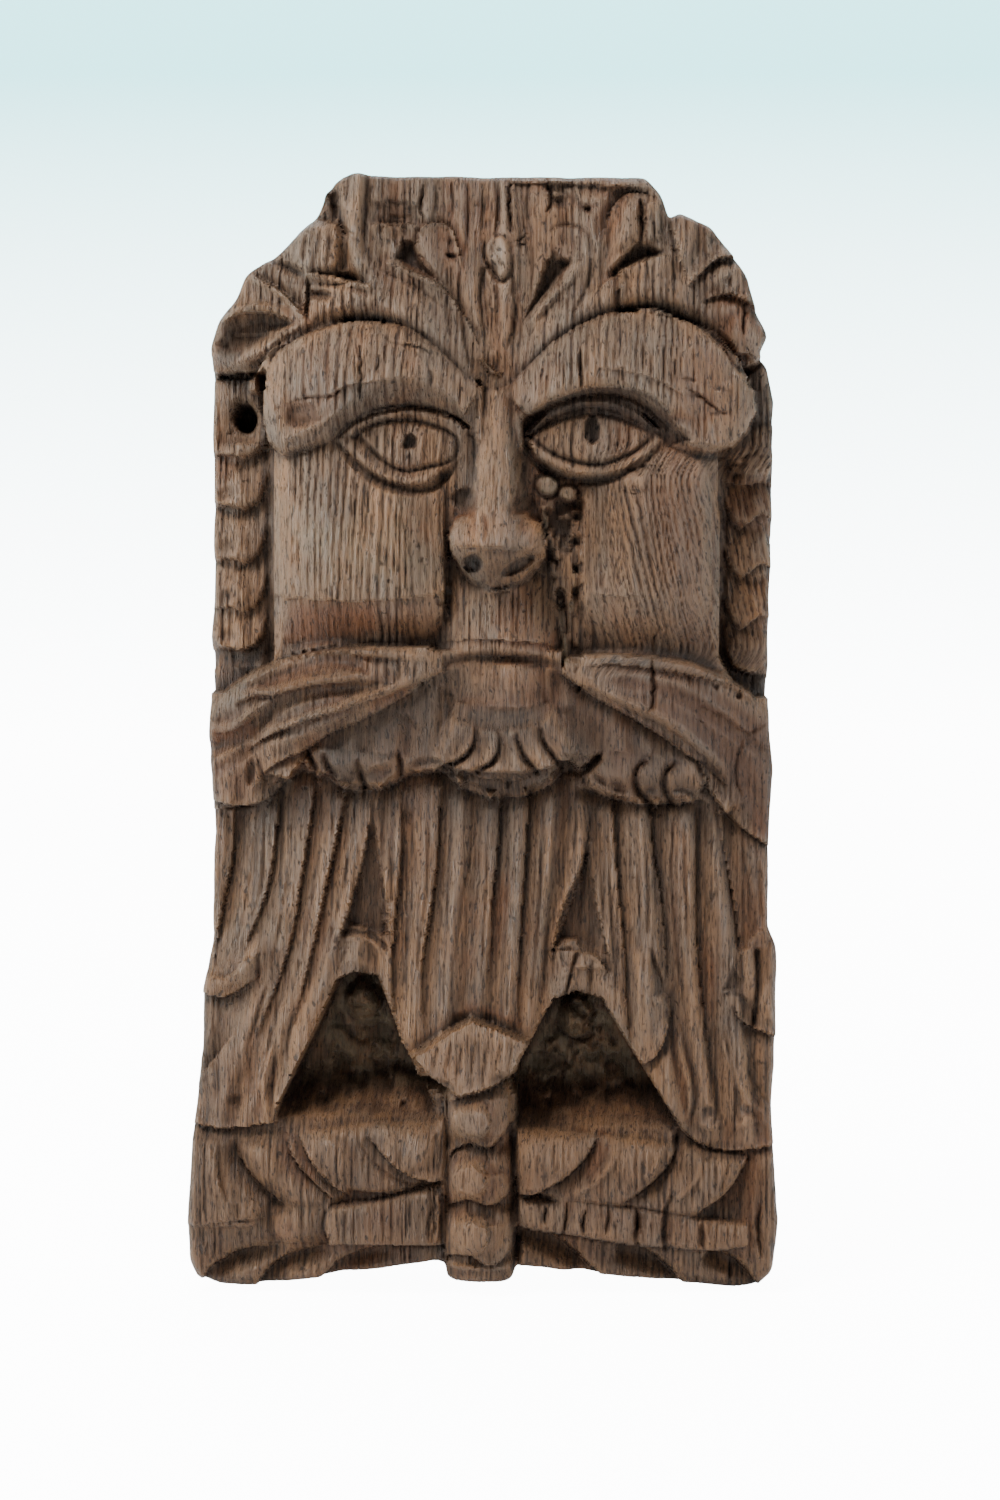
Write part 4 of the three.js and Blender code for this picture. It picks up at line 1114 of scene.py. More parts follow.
@dataclass(frozen=True)
class Cheeks:
    """The cheeks with their sharp lower edges, and the eaten channel beside the nose."""

    channel_floor: float = 40.2

    def carve(self, relief: Relief) -> None:
        """Cuts both cheeks."""
        lower = at("-54,36.6 -46,36 -36,35.4 -26,35.8 -18,36.6 -10.6,37.6")
        relief.fall(lower, Side.RIGHT, 0.6, 5.0, lip=0.7)
        # The pale stain over the middle of the left cheek is a painted highlight where the cheek bulges
        # towards the light.
        relief.cut("""
            groove .7 1.2 soot=.95 -56,20.4 -50,21.2 -42,22.8 -34,24.2 -24,24 -13,25.2
            stain dust .38 8 -52,60 -16,60 -14,40 -52,40
            stain red .95 2 -54,35.5 -54,24 -46,23 -28,27 -28,35
            stain red .35 2 -28,35 -28,25 -11,26 -11,36
            fall right .6 5 both lip=.5 28.8,37.6 34,36.6 42,37.4
            crack .5 1.2 47.4,28.6 45.8,24.6 45.6,21
            stain red .55 7 42,66 64,72 63,22 54,22 50,40
            groove .8 1 none soot=.4 66,58 65.6,45 65.4,33 63.6,22
        """)
        for x, high, low in ((63.6, 55, 30), (62.4, 46, 22)):
            relief.ridge([(x, high), (x - 0.3, (high + low) / 2), (x - 1.6, low)], 0.8, 0.7)
        # painted shade: the right cheek is drawn a little darker, as if turned from the light
        relief.cut("stain soot .12 6 30,66 64,70 63,22 30,22")
        self._crevice(relief)
        self._channel(relief)
        self._knot(relief)

    @staticmethod
    def _crevice(relief: Relief) -> None:
        """The narrow gap between the left cheek and the nose."""
        relief.cut("""
            gnaw 1.6 1.6 3 8 soot=.6 -13,50 -8,50 -8,30 -13,28
            groove 1.1 1.2 soot=.6 -9.4,58 -10,48 -9.6,38 -10.6,28
        """)
        for place, high in (
            ((-17.2, 50), 0.9),
            ((-22.4, 44.2), 1.5),
            ((-24.8, 40.8), 0.8),
            ((-16.2, 46.4), 1.2),
            ((-26.8, 45.4), 1.0),
        ):
            relief.pit(place, (0.6, high), 0.7, soot=0.7)

    def _channel(self, relief: Relief) -> None:
        """The worm-eaten channel at the right, with the old plugs above it."""
        channel = at("12.6,76 27.4,70.5 28.4,50 27.6,36 27,18.4 19.6,18.4 18.6,36 17.6,46 15.4,56 12.6,63")
        relief.reshape(channel, sloping((21, 45), self.channel_floor, 0.05, 0.02), 1.6, Way.UP)
        relief.cut("""
            gnaw 3.6 2.3 3.4 3 soot=.85 15.4,63 27.8,63 27.4,40 25,30 19,34 16.4,48
            gnaw 1.8 2 7 4 soot=.45 19.6,40 27.4,40 27,18.6 20,18.6
            pit 1.6 power=2 soot=.6 22.4,50.4 2.6,3.2
            pit -1.6 23.2,50 1.2,1.6
            pit 1.2 soot=.6 26.4,32 1.6,3.4
        """)
        for rib in (
            at("24.9,44 24.2,38 23.4,32"),
            at("20.4,38 21.4,33 22,26 22.2,18.6"),
            at("16.4,61 16.2,56 17.2,52"),
        ):
            relief.ridge(rib, 0.8, 1.7)
            relief.stain(
                [
                    (rib[0][0] - 0.5, rib[0][1]),
                    (rib[0][0] + 0.5, rib[0][1]),
                    (rib[-1][0] + 0.5, rib[-1][1]),
                    (rib[-1][0] - 0.5, rib[-1][1]),
                ],
                Mark.DUST, 0.9, 0.5,
            )
        relief.cut("groove .8 1.6 none soot=.85 20.4,28 20.6,22 20.8,14.6")
        for place, half in (((17.2, 66.3), (3.3, 3.1)), ((22.9, 64.1), (2.9, 2.7))):
            relief.groove(
                [
                    (place[0] + half[0] * math.cos(a / 4), place[1] + half[1] * math.sin(a / 4))
                    for a in range(26)
                ],
                0.8, 1.5, Taper.NONE, soot=0.95,
            )
            relief.pit(place, half, -1.7, power=2.4)
        relief.cut("""
            stain dust .95 .8 14.6,64 14.6,68.6 19.6,68.6 19.6,64
            stain dust .4 .8 20.8,62.6 21,66 24.8,66 24.8,62.6
            crack .6 2.2 26.6,68.6 25.4,65 25.9,61
            groove .8 .9 soot=.5 27.8,62 28.2,50 27.8,40
        """)

    @staticmethod
    def _knot(relief: Relief) -> None:
        """The small knot under the right eye."""
        relief.cut("pit -.9 power=1.6 40.3,67.3 4,3.4")
        for size in (1.5, 2.6, 3.7):
            relief.groove(
                [
                    (40.3 + size * math.cos(a / 4), 67.2 + size * 0.85 * math.sin(a / 4))
                    for a in range(12, 26)
                ],
                0.5, 0.5, soot=0.35,
            )
        relief.cut("""
            pit 1.6 10 soot=1 39.8,70.6 1.9,1.1
            pit 1.4 soot=1 42.9,71.4 1.3,1
        """)


@dataclass(frozen=True)
class Nose:
    """The nose: bridge, wings and nostrils."""

    hole: float = 3.2

    def carve(self, relief: Relief) -> None:
        """Cuts the nose."""
        for corners, place, depth, across, up in (
            (at("-14,96 1,93.4 1.6,76 -2.5,77 -4.6,81.6 -10,85.6 -14,88"), (-6, 87), 47.2, 0.12, 0.12),
            (at("6.4,94 16,97 15.4,88 11.4,83 11.8,75 8,75"), (10, 86), 47.0, -0.1, 0.12),
        ):
            relief.reshape(corners, sloping(place, depth, across, up), 1.6, Way.UP)
        flank = at("-12.8,86 -4,82 -.6,78 .8,62 -2,49.6 -12.8,49.6")
        relief.reshape(flank, lambda x, y: 43.6 + 0.25 * np.abs(x + 9) + 0.03 * (y - 66), 2.2, Way.UP)
        relief.cut("""
            slope 41.6 -.5 .05 1.4 up 12,70 9.6,78 14.6,76 14,62 9,62
            pit 2 power=1.8 soot=.4 -4.9,62.6 4.4,3.3
            fall right 1.6 3 both lip=.5 soot=.3 -1.1,89.4 -1.9,76.6 -.8,66.6 .6,59.8
            fall left 1.6 3 both lip=.5 soot=.3 10.3,89.4 11,76.6 9.2,66 7.4,59.8
            groove .9 .8 soot=.4 -9.6,60.4 -5.4,59 -1.2,60.4 .4,64
            pit 1.7 24 power=1.8 soot=.4 10.6,61.4 4.4,3
            groove 1 1.2 soot=.6 5.4,64 6.6,60.6 8.4,58.6 11.6,60.2 15,61
            ridge 1.5 .6 -.6,88 -.8,76 -.6,66 .6,58
            ridge 1.5 .5 8.2,88 8,76 6.6,66 6,58
            pit -.9 power=2.2 -3.8,54.6 5.4,5.6
            pit -1.1 power=2 11,54.2 5.2,5.8
            groove 1.3 1.3 soot=.25 -.2,60.4 .8,56 .4,50.6
            groove 1.2 1.3 soot=.35 7.4,60 7.8,55 9,50.4
        """)
        for x in (10.6, 12.6, 14.2):
            relief.groove([(x - 0.3, 58), (x + 0.4, 54), (x - 0.4, 50)], 0.5, 0.5, soot=0.4)
        below = at("-8.6,48.9 -1,49.8 7,49.6 16,48.8 15.6,44.4 11,40.2 4.6,38.2 -1.9,39.2 -6.1,42.8")
        relief.reshape(below, lambda x, y: 46.6 + 1.1 * (y - 38.2) - 0.05 * (x - 3.8) ** 2, 0.9)
        # painted shade on the underside of the nose
        relief.stain(below, Mark.SOOT, 0.45, 0.8)
        relief.pit((-2.6, 45.6), (2.9, 2.7), self.hole, power=2.6, soot=1.0)
        relief.cut("""
            pit -1.6 -2.1,45 1.3,1.1
            pit 2.6 30 power=2 soot=.85 9.3,44.9 5.4,1.9
            pit 1.6 soot=1 13,47 1.8,1.4
            groove 1.1 1.9 both 1.4 .9 -7.8,47.8 -5.6,43 -1,39.6 4,38.6 10,40.2 14,44 15.8,48
            fall right 1.2 3 both lip=.4 -8.8,50.4 -4,49.7 1,49.9 7.4,49.4 13.8,48.6
            groove 1.1 1.4 soot=.8 16.4,60 16.6,54 15.4,48
            stain red .9 2 -8.6,60 0,60 8,60 15.6,60 15.6,48 9,50 -8,50
            crack .4 .9 4.2,90.8 3.6,94
        """)


@dataclass(frozen=True)
class Mouth:
    """The lips, and the tuft of hooked tongues under them."""

    slit: float = 1.9

    def carve(self, relief: Relief) -> None:
        """Cuts the mouth and the tuft."""
        relief.cut("slope 45.2 0 .1 .6 up 5,19 -12,22.6 -11,17 21.6,17 21.6,22.6")
        for corners, depth in (
            (at("-13.6,19.4 -2.6,18.8 -2.2,7 -13,2"), 45.4),
            (at("15.6,18.8 24.4,18.4 25,7 16.6,3"), 45.8),
        ):
            relief.reshape(corners, sloping((0, 12), depth, 0.0, 0.0), 1.4, Way.UP)
        relief.groove(
            at("-11.4,17.2 -7,19.6 0,20.8 6,20.6 13,19.8 18,18.8 21.6,17"), 2.0, self.slit, Taper.BOTH, 1.2,
            0.75,
        )
        relief.cut("""
            fall right 1.2 3.6 both lip=.4 soot=.25 -11,24.4 -2,25.2 9,24.8 21,23.6
            groove .9 .7 soot=.8 10,18.2 14,18 18,18.2
            sink 1.5 3.4 .15 -12,18.4 -4.6,18 -3.8,12 -6.6,6 -12,9
            sink 1.1 2.6 .15 16.6,18 21.4,17 22.4,10 19,6 16.6,10
            pit -1 power=1.4 7,13.4 12.6,7.4
            groove 3.4 2.6 both 2 .15 -11,12 -7.4,7 -1,4.6 7,4 14,5 19,8.4
            stain red .35 2 -4,22.6 -4,27 20,28 20,22
            stain red .95 1.5 12,21.6 12,27.4 20.2,27.4 20.2,21.6
            stain red .5 1.2 -6,6.4 -6,10 17,10 17,6.4
            stain soot .45 3 -12,17 -4,17 -3,9 4,7 14,8 16,17 24,17 22,-2 -12,-2
        """)
        self._tuft(relief)

    @staticmethod
    def _tuft(relief: Relief) -> None:
        """The tongues, each hooked to one side, and the rolled rim below them."""
        rim = at(
            "-11.2,-7.8 -6,-9 2,-9.8 10,-10 17,-8.8 21.4,-7.2 20.6,-9.6 16,-14.2 8.9,-17 1.7,-16.4 "
            "-5.4,-12.9"
        )
        relief.reshape(rim, lambda x, y: 46.2 + 0.95 * (y + 9), 0.9)
        # painted shade on the rolled rim under the tongues
        relief.stain(rim, Mark.SOOT, 0.5, 1.0)
        for tip in (
            at("-11,-7.4 -8,-9.4 -3.6,-10.2"),
            at("-3.4,-10.4 0,-12 4.2,-12"),
            at("4.6,-12.2 8.4,-12.8 12,-11.6"),
            at("12.6,-10.4 16,-9.4 19.8,-7.8"),
        ):
            relief.fall(tip, Side.RIGHT, 1.5, 3.0, lip=1.0, soot=0.6)
        for hook, side in (
            (at("-2.2,3.2 -2.2,-1.5 -4.2,-5.4 -8.2,-8.2"), Side.LEFT),
            (at("3.6,2 4.4,-2.6 2.8,-7 -1.4,-9.8"), Side.LEFT),
            (at("9.2,.6 9.8,-2.8 11.8,-7 14.6,-10"), Side.RIGHT),
            (at("15.2,3.4 16.2,-1.8 18.8,-5.8 21,-8.8"), Side.RIGHT),
        ):
            relief.groove(hook, 1.1, 2.2, Taper.START, 1.4, 1.0)
            relief.fall(hook, side, 1.6, 3.6, Taper.START, lip=0.8, soot=0.3)
        relief.cut("""
            groove .8 .9 soot=.4 -9.4,9 -8.8,4 -9.8,-1
            pit 1.8 -10 soot=1 6.9,-13.4 .9,2.2
            ridge .8 .5 -9.8,-10.4 -5,-13.4 1,-15.8 7,-16.4 14,-14.8 19.4,-11
            fall right 2.2 4 soot=.95 -10.8,-10.8 -6,-14.4 1,-17.2 9,-17.2 17,-14.8 21.4,-10.6
            sink 1.8 1.6 .55 20.8,-4.6 28,-5.4 33.6,-4.4 30,-9 27,-12.6 22,-11.6
        """)
        for corners in (at("-16,17 -11.2,18 -11.2,7 -16,9"), at("20.6,17 26.4,15 26.4,9 21,10")):
            relief.reshape(corners, sloping((0, 12), 45.2, 0.0, 0.0), 1.2, Way.UP)
        for corners in (
            at("-47,-6 -40,0 -30,5 -20,10 -12,16 -11,-8 -24,-13 -37,-14"),
            at("22,15 30,9 38,4 46,-1 55,-6 58,-16 50,-18 34,-17 24,-10 21,-5"),
            at("-11,12 -4,6 -9,-6 -11,-8"),
            at("19,8 22,14 21,-6 18,-2"),
        ):
            relief.stain(corners, Mark.SOOT, 0.45, 1.5)


@dataclass(frozen=True)
class Moustache:
    """The swept moustache and the fringe of the jaw below it."""

    swell: float = 2.2
    hollow: float = 2.7

    def carve(self, relief: Relief) -> None:
        """Cuts both halves."""
        self._left(relief)
        self._right(relief)
        self._left_fringe(relief)
        self._right_fringe(relief)
        relief.cut("""
            stain soot .15 3 -76,10 -60,20 -36,24 -12,20 -30,6 -58,-8 -76,-18
            stain soot .34 3 22,20 44,22 70,14 78,2 78,-30 58,-8 40,4
        """)

    def _left(self, relief: Relief) -> None:
        """The left half, with its three long ridges."""
        relief.groove(
            at("-64,11.6 -57,14.6 -50,17.4 -42,19.4 -34,18.4 -29.6,16.4"), 2.4, self.hollow, round_=1.8,
            soot=0.2,
        )
        relief.groove(
            at("-74,-4.6 -66,-1.4 -59,4 -52,9 -42,11.6 -32,12.4 -26,13.6"), 2.6, self.hollow + 0.4,
            Taper.END, 1.8, 0.25,
        )
        relief.cut("groove 2 1.2 end 1.6 .15 -74,-12 -66,-6.6 -58,-.6 -50,.6 -42,2.6")
        relief.ridge(at("-62,17.4 -54,20.4 -46,22.6 -38,23.4 -30,22.2 -20,21.2 -13,20.4"), 1.9, self.swell)
        relief.ridge(at("-66,9 -61,11.2 -56,11.6 -50,13.2 -44,14.6 -38,15.2 -32,16"), 1.6, self.swell)
        relief.ridge(at("-72.6,2 -68,2 -63.6,4.2 -60.4,7.6"), 1.8, self.swell)
        relief.ridge(at("-62,-3.4 -56,1.2 -50,3.6 -44,5.8 -38,7.4 -32,9.8 -26,11.4 -19,14"), 1.7, self.swell)
        for ridge in (
            at("-67,14.2 -62,16.4 -54,19.2 -46,21.2 -38,21.8 -30,20.6 -22,19.6"),
            at("-66,7.8 -61,10 -56,10.4 -50,11.8 -44,13.2 -38,13.8 -32,14.6"),
            at("-72,.4 -67.6,.6 -63.4,2.8 -60.4,6.4"),
            at("-64,-5.4 -61,-3 -56,0 -50,2.4 -44,4.6 -38,6.2 -32,8.6 -26,10.2"),
        ):
            relief.fall(ridge, Side.RIGHT, 1.5, 2.6, Taper.BOTH, lip=0.9, soot=0.4)
        relief.cut("""
            fall right 2.4 4.6 end lip=.3 soot=.75 -59.4,-12.4 -56,-8.6 -47,-4 -40,.4 -30,4.8 -20,10.6
                -11.6,16.6
            pit 2.2 -8 power=1.3 soot=.75 -62.2,-10.4 1.6,4.6
            groove .7 1.2 soot=.8 -60.6,-5.2 -59.4,-9.6 -58.2,-14.6
            groove .6 .7 soot=.5 -60.4,8.8 -60.8,3 -60.2,-4
            fall right 2.6 4.5 soot=.95 lip=.6 -73.6,-18 -66,-19.6 -59,-18.6 -54.4,-14.6 -49,-9.8
        """)
        for x, y in at("-25.6,17.6 -22.4,17 -18.2,16.6 -15.2,17.4 -30.6,18.6"):
            relief.groove([(x, y + 3), (x + 0.2, y), (x - 0.2, y - 3)], 0.5, 0.6, soot=0.5)
        relief.cut("""
            stain red .55 2 -46,23 -30,22 -24,15 -34,14 -62,9 -62,12
            stain red .9 1.5 -73,2 -62,4 -60,0 -66,-3 -73,-4
            stain red .55 3 -73,-8 -62,-4 -60,-12 -62,-18 -73,-18
            stain red .7 1.5 -30,9 -20,13 -20,10 -30,6
        """)

    def _right(self, relief: Relief) -> None:
        """The right half, flatter and split."""
        relief.groove(
            at("34,14.4 44,13.2 54,9.6 62,4.4 70,-1.6 77,-6"), 2.6, self.hollow * 0.7, round_=1.8, soot=0.1,
        )
        relief.ridge(at("26,20 35,20.6 46,19.4 56,17.6 66,14.8 74,9"), 2.0, self.swell * 0.8)
        relief.ridge(at("30,12 40,8 50,3 58,-3 66,-10"), 1.8, self.swell * 0.8)
        for ridge in (
            at("27,18 35,18.6 46,17.4 56,15.6 66,12.6 74,6.8"),
            at("33,9.6 40,6 50,1.2 58,-5 65,-11.6"),
        ):
            relief.fall(ridge, Side.RIGHT, 1.2, 2.8, Taper.BOTH, lip=0.7, soot=0.3)
        relief.cut("""
            fall right 2.4 4.6 lip=.4 soot=.8 21.8,15.4 30,9.6 38,5.2 46,.4 54,-5.2 58,-8 59.6,-13 62.4,-18
                70,-26 77.6,-31.4
            groove .9 1.7 soot=.95 56.4,-6.4 60,-8.8 63.4,-12.4 65.4,-14.4
            groove .8 1.9 soot=1 69.6,-1.8 68.4,-6 67.8,-11 68.8,-15 70,-17.4
            groove .8 1 soot=.35 77.6,3.6 73,.8 70,.2 64,4.6 57,7.6
            fall right -.9 3 both 71,12.2 74,10 77.4,5.6
            crack .65 2.2 45.2,20.4 45.6,14 45.4,10 44.6,6.6 43.2,5
            crack .45 1 54.8,17.4 55.2,12.6
            crack .4 .8 57.6,4.6 59,2.4
            crack .4 .9 26.4,11.6 26.6,8
            pit 1.6 soot=1 68.4,10 1.2,1.3
            pit 1.1 soot=1 62.3,12.5 .8,1
            groove .7 1 soot=.4 63,17.8 66.4,15.4 68.6,12.4
            groove .7 .8 soot=.3 24,15.8 26,18.8 26,20.6
            stain red .7 4 30,17 44,18 62,16 76,6 77,-20 70,-20 60,-4 44,5
            stain red 1 1.5 72,-20 78,-20 78,-29 73,-28
        """)

    @staticmethod
    def _left_fringe(relief: Relief) -> None:
        """The scalloped fringe under the left half."""
        rim = at(
            "-48.8,-7 -44,-3 -11,-6.6 -10.6,-10 -18,-10.4 -24,-13.6 -31,-14.8 -37.4,-14.2 -42,-11.2 "
            "-47,-10.4"
        )
        relief.reshape(rim, lambda x, y: 44.4 + 0.75 * np.minimum(y + 8, 0), 0.9)
        for notch in (
            at("-42.6,-5.2 -41.8,-8 -39.8,-11.6"),
            at("-33.4,-6.8 -33,-10 -31.6,-14.6"),
            at("-22.8,-4.6 -21.8,-8 -22,-12.4"),
            at("-47.4,-3.4 -46.2,-6 -44.6,-9.4"),
        ):
            relief.groove(notch, 1.3, 3.4, Taper.START, 1.3, 1.0)
            relief.fall(notch, Side.RIGHT, 1.2, 2.8, Taper.START, lip=0.8)
        for edge in (
            at("-46,-9.6 -43.6,-10.4 -41.4,-10.2"),
            at("-41,-10.6 -38.4,-13.4 -34.8,-13.6 -33,-11.6"),
            at("-32.6,-12 -29.6,-13.6 -25.4,-12.2 -22.6,-9.4"),
        ):
            relief.ridge(edge, 1.1, 1.0)
        relief.cut("""
            groove .8 .8 soot=.4 -31.6,-11.8 -28.6,-10.6 -24.4,-10.4
            ridge 1.2 .6 -31.4,-10 -27.4,-7.8 -23.8,-7
            groove 1.5 1.6 soot=.7 -21,-10.6 -17,-8 -12.6,-8.4
            groove 1 .7 soot=.1 -23.6,5.4 -19,3.6 -16,0
            groove 1.2 1.4 end soot=.4 -11.4,12 -11.2,4 -11.8,-6
            fall right 2.4 4 soot=.95 -49,-10.2 -43,-11.6 -37.4,-15 -31,-15.6 -24,-14.2 -18,-11 -11,-10.8
            stain red .6 1 -30,-10 -22,-7 -21,-11 -27,-13
        """)

    @staticmethod
    def _right_fringe(relief: Relief) -> None:
        """The hooked fringe under the right half."""
        rim = at("27,-11 34,-4 57,-7 58.6,-14 58,-17.6 50,-18.6 41,-18.4 34,-17.2 28,-15")
        relief.reshape(rim, lambda x, y: 44.0 + 0.65 * np.minimum(y + 11, 0), 0.9)
        for hook in (
            at("44.2,-7.4 41.8,-9 40.9,-12 41.6,-15.2 43.8,-17.8"),
            at("52.4,-7.6 49.6,-10 48.6,-13 49.2,-16 50.8,-19"),
        ):
            relief.groove(hook, 1.3, 3.2, Taper.START, 1.3, 1.0)
            relief.fall(hook, Side.RIGHT, 1.3, 3.0, Taper.BOTH, lip=0.9, soot=0.2)
        relief.cut("""
            groove .6 .8 soot=.5 45.8,-3.6 44.6,-7.4
            pit 1.6 -42 soot=.6 30.6,-12 3.6,1.5
            pit 1.5 -24 soot=.55 36.4,-14.4 3.4,1.6
            pit .9 -8 soot=.4 45.2,-15.4 2.2,1
            ridge .9 .9 27.6,-9.4 30.8,-13.2 34,-15.8 40,-17.2 46,-17.4
            groove .9 1.2 soot=.9 50.4,-15.6 54,-15.4 58,-17.4
            fall right 3 4.4 soot=1 27.6,-15.2 34,-17.6 41,-19 50,-19.4 58,-18.4
            stain red .7 1.5 34,-1 41,-4 40,-8 33,-6
            stain red .5 1 30,-10 40,-12 40,-17 33,-15
        """)


@dataclass(frozen=True)
class Beard:
    """The long locks, each rising to an edge on its right and dropping to the next."""

    drop: float = 2.0
    left_edges: tuple[tuple[Point, ...], ...] = (
        at("-67.1,-20.5 -67.6,-33.7 -69.8,-45.8 -71.7,-56.9 -72.2,-63.9"),
        at("-55.2,-18.3 -55.8,-29.4 -57.4,-40.2 -59,-45.8 -62.5,-54.4 -63.9,-59.6"),
        at("-45.3,-15.6 -46.9,-28 -48.8,-40.2 -50.4,-51.2 -53.6,-63.3 -57.9,-74.4 -60.9,-81.9"),
        at("-36.9,-16.7 -39.3,-29.4 -42,-41.2 -44.7,-54.4 -48.2,-68.7 -50.9,-78.7"),
        at("-21.8,-22 -21.8,-30 -22.6,-40.2 -24,-56.9 -24,-70.6 -22.4,-80"),
        at("-11.3,-15.6 -12.1,-32.1 -13.5,-45.8 -15.9,-59.6 -16.4,-70.6 -15.4,-80"),
    )
    right_edges: tuple[tuple[Point, ...], ...] = (
        at("4.6,-18.3 3.8,-33.7 2.4,-45.8 1.9,-60 .6,-68"),
        at("12.4,-17.2 11.6,-31.5 10.2,-51.2 9.2,-73.3 9.4,-79"),
        at("34.9,-19.4 35.8,-33.7 37.2,-49 38.3,-62.3 38.8,-77.6 41,-88"),
        at("44.9,-21 45.8,-32.1 47.7,-43.1 48.8,-55.8 49.6,-67.1"),
        at("57.2,-21.6 57.4,-34.8 57.1,-51.2 59,-73.3 60.1,-83.3 63,-96"),
    )

    def carve(self, relief: Relief) -> None:
        """Cuts the locks and what crosses them."""
        relief.fill_in(
            at("-76,-20 -10,-16 20,-18 76,-30 76,-96 46,-96 30,-64 16,-76 -20,-76 -34,-60 -54,-100 -76,-100"),
            7, 1.4,
        )
        for edge in (*self.left_edges, *self.right_edges):
            relief.fall(edge, Side.LEFT, self.drop, 5.5, Taper.END, lip=1.1, soot=0.25)
            relief.groove(edge, 0.7, 0.6, Taper.END, soot=0.25)
        # The first dark stain is painted shadow on the top of the beard, under the moustache's fringe.
        relief.cut("""
            stain soot .42 4 -60,-12 -36,-14 -10,-10 6,-17 22,-10 34,-17 60,-19 62,-26 34,-26 20,-22 4,-26
                -20,-22 -36,-25 -58,-25
            fall right 1.8 5 end lip=.8 soot=.5 63.4,-21.6 64.8,-31 67.6,-45.8 69.2,-56.9 70.2,-67.6
        """)
        self._hairs(relief)
        self._slots(relief)
        self._left_curl(relief)
        self._right_curls(relief)
        relief.cut("stain dust .12 8 -74,-30 -40,-30 -50,-90 -74,-90")
        self._feet(relief)

    @staticmethod
    def _hairs(relief: Relief) -> None:
        """The lesser edges between the locks."""
        for line, half, deep, soot in (
            (at("-2.6,-17.8 -3.3,-33.7 -5.6,-44 -7,-60"), 0.8, 1.1, 0.4),
            (at("-.4,-20 -1.2,-40 -2.6,-60 -3.6,-72"), 0.7, 0.7, 0.35),
            (at("1.6,-24 .8,-44 -.6,-66"), 0.6, 0.6, 0.3),
            (at("7.6,-22 6.4,-44 5.6,-66"), 0.7, 0.7, 0.35),
            (at("16.6,-19 15.6,-40 14,-60 12.6,-76"), 0.9, 1.3, 0.7),
            (at("19.4,-21 18,-44 16.6,-62 15.6,-76"), 0.8, 1.1, 0.5),
            (at("22.6,-20 22,-34 20.6,-46"), 0.7, 0.7, 0.35),
            ([(25.4, -19), (24.6, -32)], 0.6, 0.6, 0.35),
            (at("31.4,-21 31.8,-36 32.6,-54 33.6,-70"), 0.8, 0.8, 0.4),
            (at("33.4,-24 34.2,-44 35.6,-66"), 0.6, 0.7, 0.4),
            (at("40.2,-22 41.6,-40 43.2,-56"), 0.7, 0.7, 0.35),
            (at("43.4,-26 44.4,-44 44.2,-54"), 0.7, 0.9, 0.45),
            (at("51.4,-22 51,-40 52.6,-60 54.6,-76"), 0.9, 1.0, 0.45),
            (at("53.8,-22 54.4,-40 55.2,-60"), 0.7, 0.8, 0.4),
            (at("61.2,-23 60.6,-40 61.4,-56"), 0.7, 0.7, 0.3),
            (at("69.6,-28 71.8,-44 73,-56"), 0.8, 0.9, 0.45),
            ([(74.4, -34), (74.8, -50)], 0.7, 0.8, 0.4),
            (at("-28.6,-20 -27.4,-34 -26.4,-50"), 0.7, 0.8, 0.45),
            (at("-25.4,-22 -24.8,-40 -25.4,-60"), 0.6, 0.7, 0.4),
            (at("-18.6,-19 -18.8,-40 -20.6,-62 -20.4,-76"), 0.8, 0.9, 0.45),
            (at("-14.8,-19 -15,-40 -18,-66"), 0.6, 0.7, 0.4),
            (at("-34,-18 -36,-34 -40,-52 -43.6,-64"), 0.8, 0.9, 0.45),
            (at("-42.6,-18 -44.4,-34 -47.2,-52 -50.6,-68"), 0.8, 0.8, 0.4),
            (at("-51,-19 -52,-34 -54.2,-50 -57.4,-64"), 0.7, 0.8, 0.4),
            (at("-61.4,-21 -62.4,-36 -64.6,-50 -67.4,-60"), 0.8, 0.7, 0.35),
            (at("-58.6,-22 -59.6,-40 -62.2,-50"), 0.6, 0.6, 0.3),
            (at("-8.6,-19 -9.2,-40 -10.6,-64"), 0.6, 0.5, 0.3),
        ):
            relief.groove(line, half, deep, soot=0.7 * soot)

    @staticmethod
    def _slots(relief: Relief) -> None:
        """The two long three-cornered slots, shallow at the top and cut under a tongue at the foot."""
        for corners in (
            at("-30.4,-24 -29,-24 -25.4,-52 -26.6,-55 -32,-53.6 -37.2,-53"),
            at("28.2,-30 26,-37 22,-46 19.6,-56.4 24,-58 31,-59 31.6,-52 29.4,-40"),
        ):
            relief.stain(corners, Mark.CALM, 1.0, 0.8)
            relief.stain(corners, Mark.SOOT, 0.38, 1.2)
        left = at("-30.2,-22.6 -29,-22.6 -24.6,-54 -37.8,-54")
        relief.cut("slope 37.8 -.06 .03 1 up -31,-42 -32,-20 -27.6,-20 -22.8,-56 -39.6,-56")
        relief.sink(left, 0.6, 1.2)
        relief.cut("""
            fall left 1.8 5 start lip=1.6 soot=.35 -29.8,-16 -31.2,-30 -34.8,-44 -37.8,-53.6
            fall right 1.6 4 start lip=1.1 soot=.35 -29.4,-22 -27.8,-34 -25.8,-46 -24.8,-55
            groove .9 1.7 none soot=.75 -37.8,-53.6 -34,-53.4 -30,-54.2 -25.8,-57.6
            ridge 1.2 1.2 -38.4,-55.4 -34,-55 -30.4,-55.6 -26.4,-59
            groove .7 .9 soot=.4 -39.4,-64.6 -37,-59 -36.4,-56
            groove .7 .9 soot=.4 -32.6,-62 -32.6,-56.6
            groove .6 .7 soot=.4 -28.6,-63 -28.4,-57.6
        """)
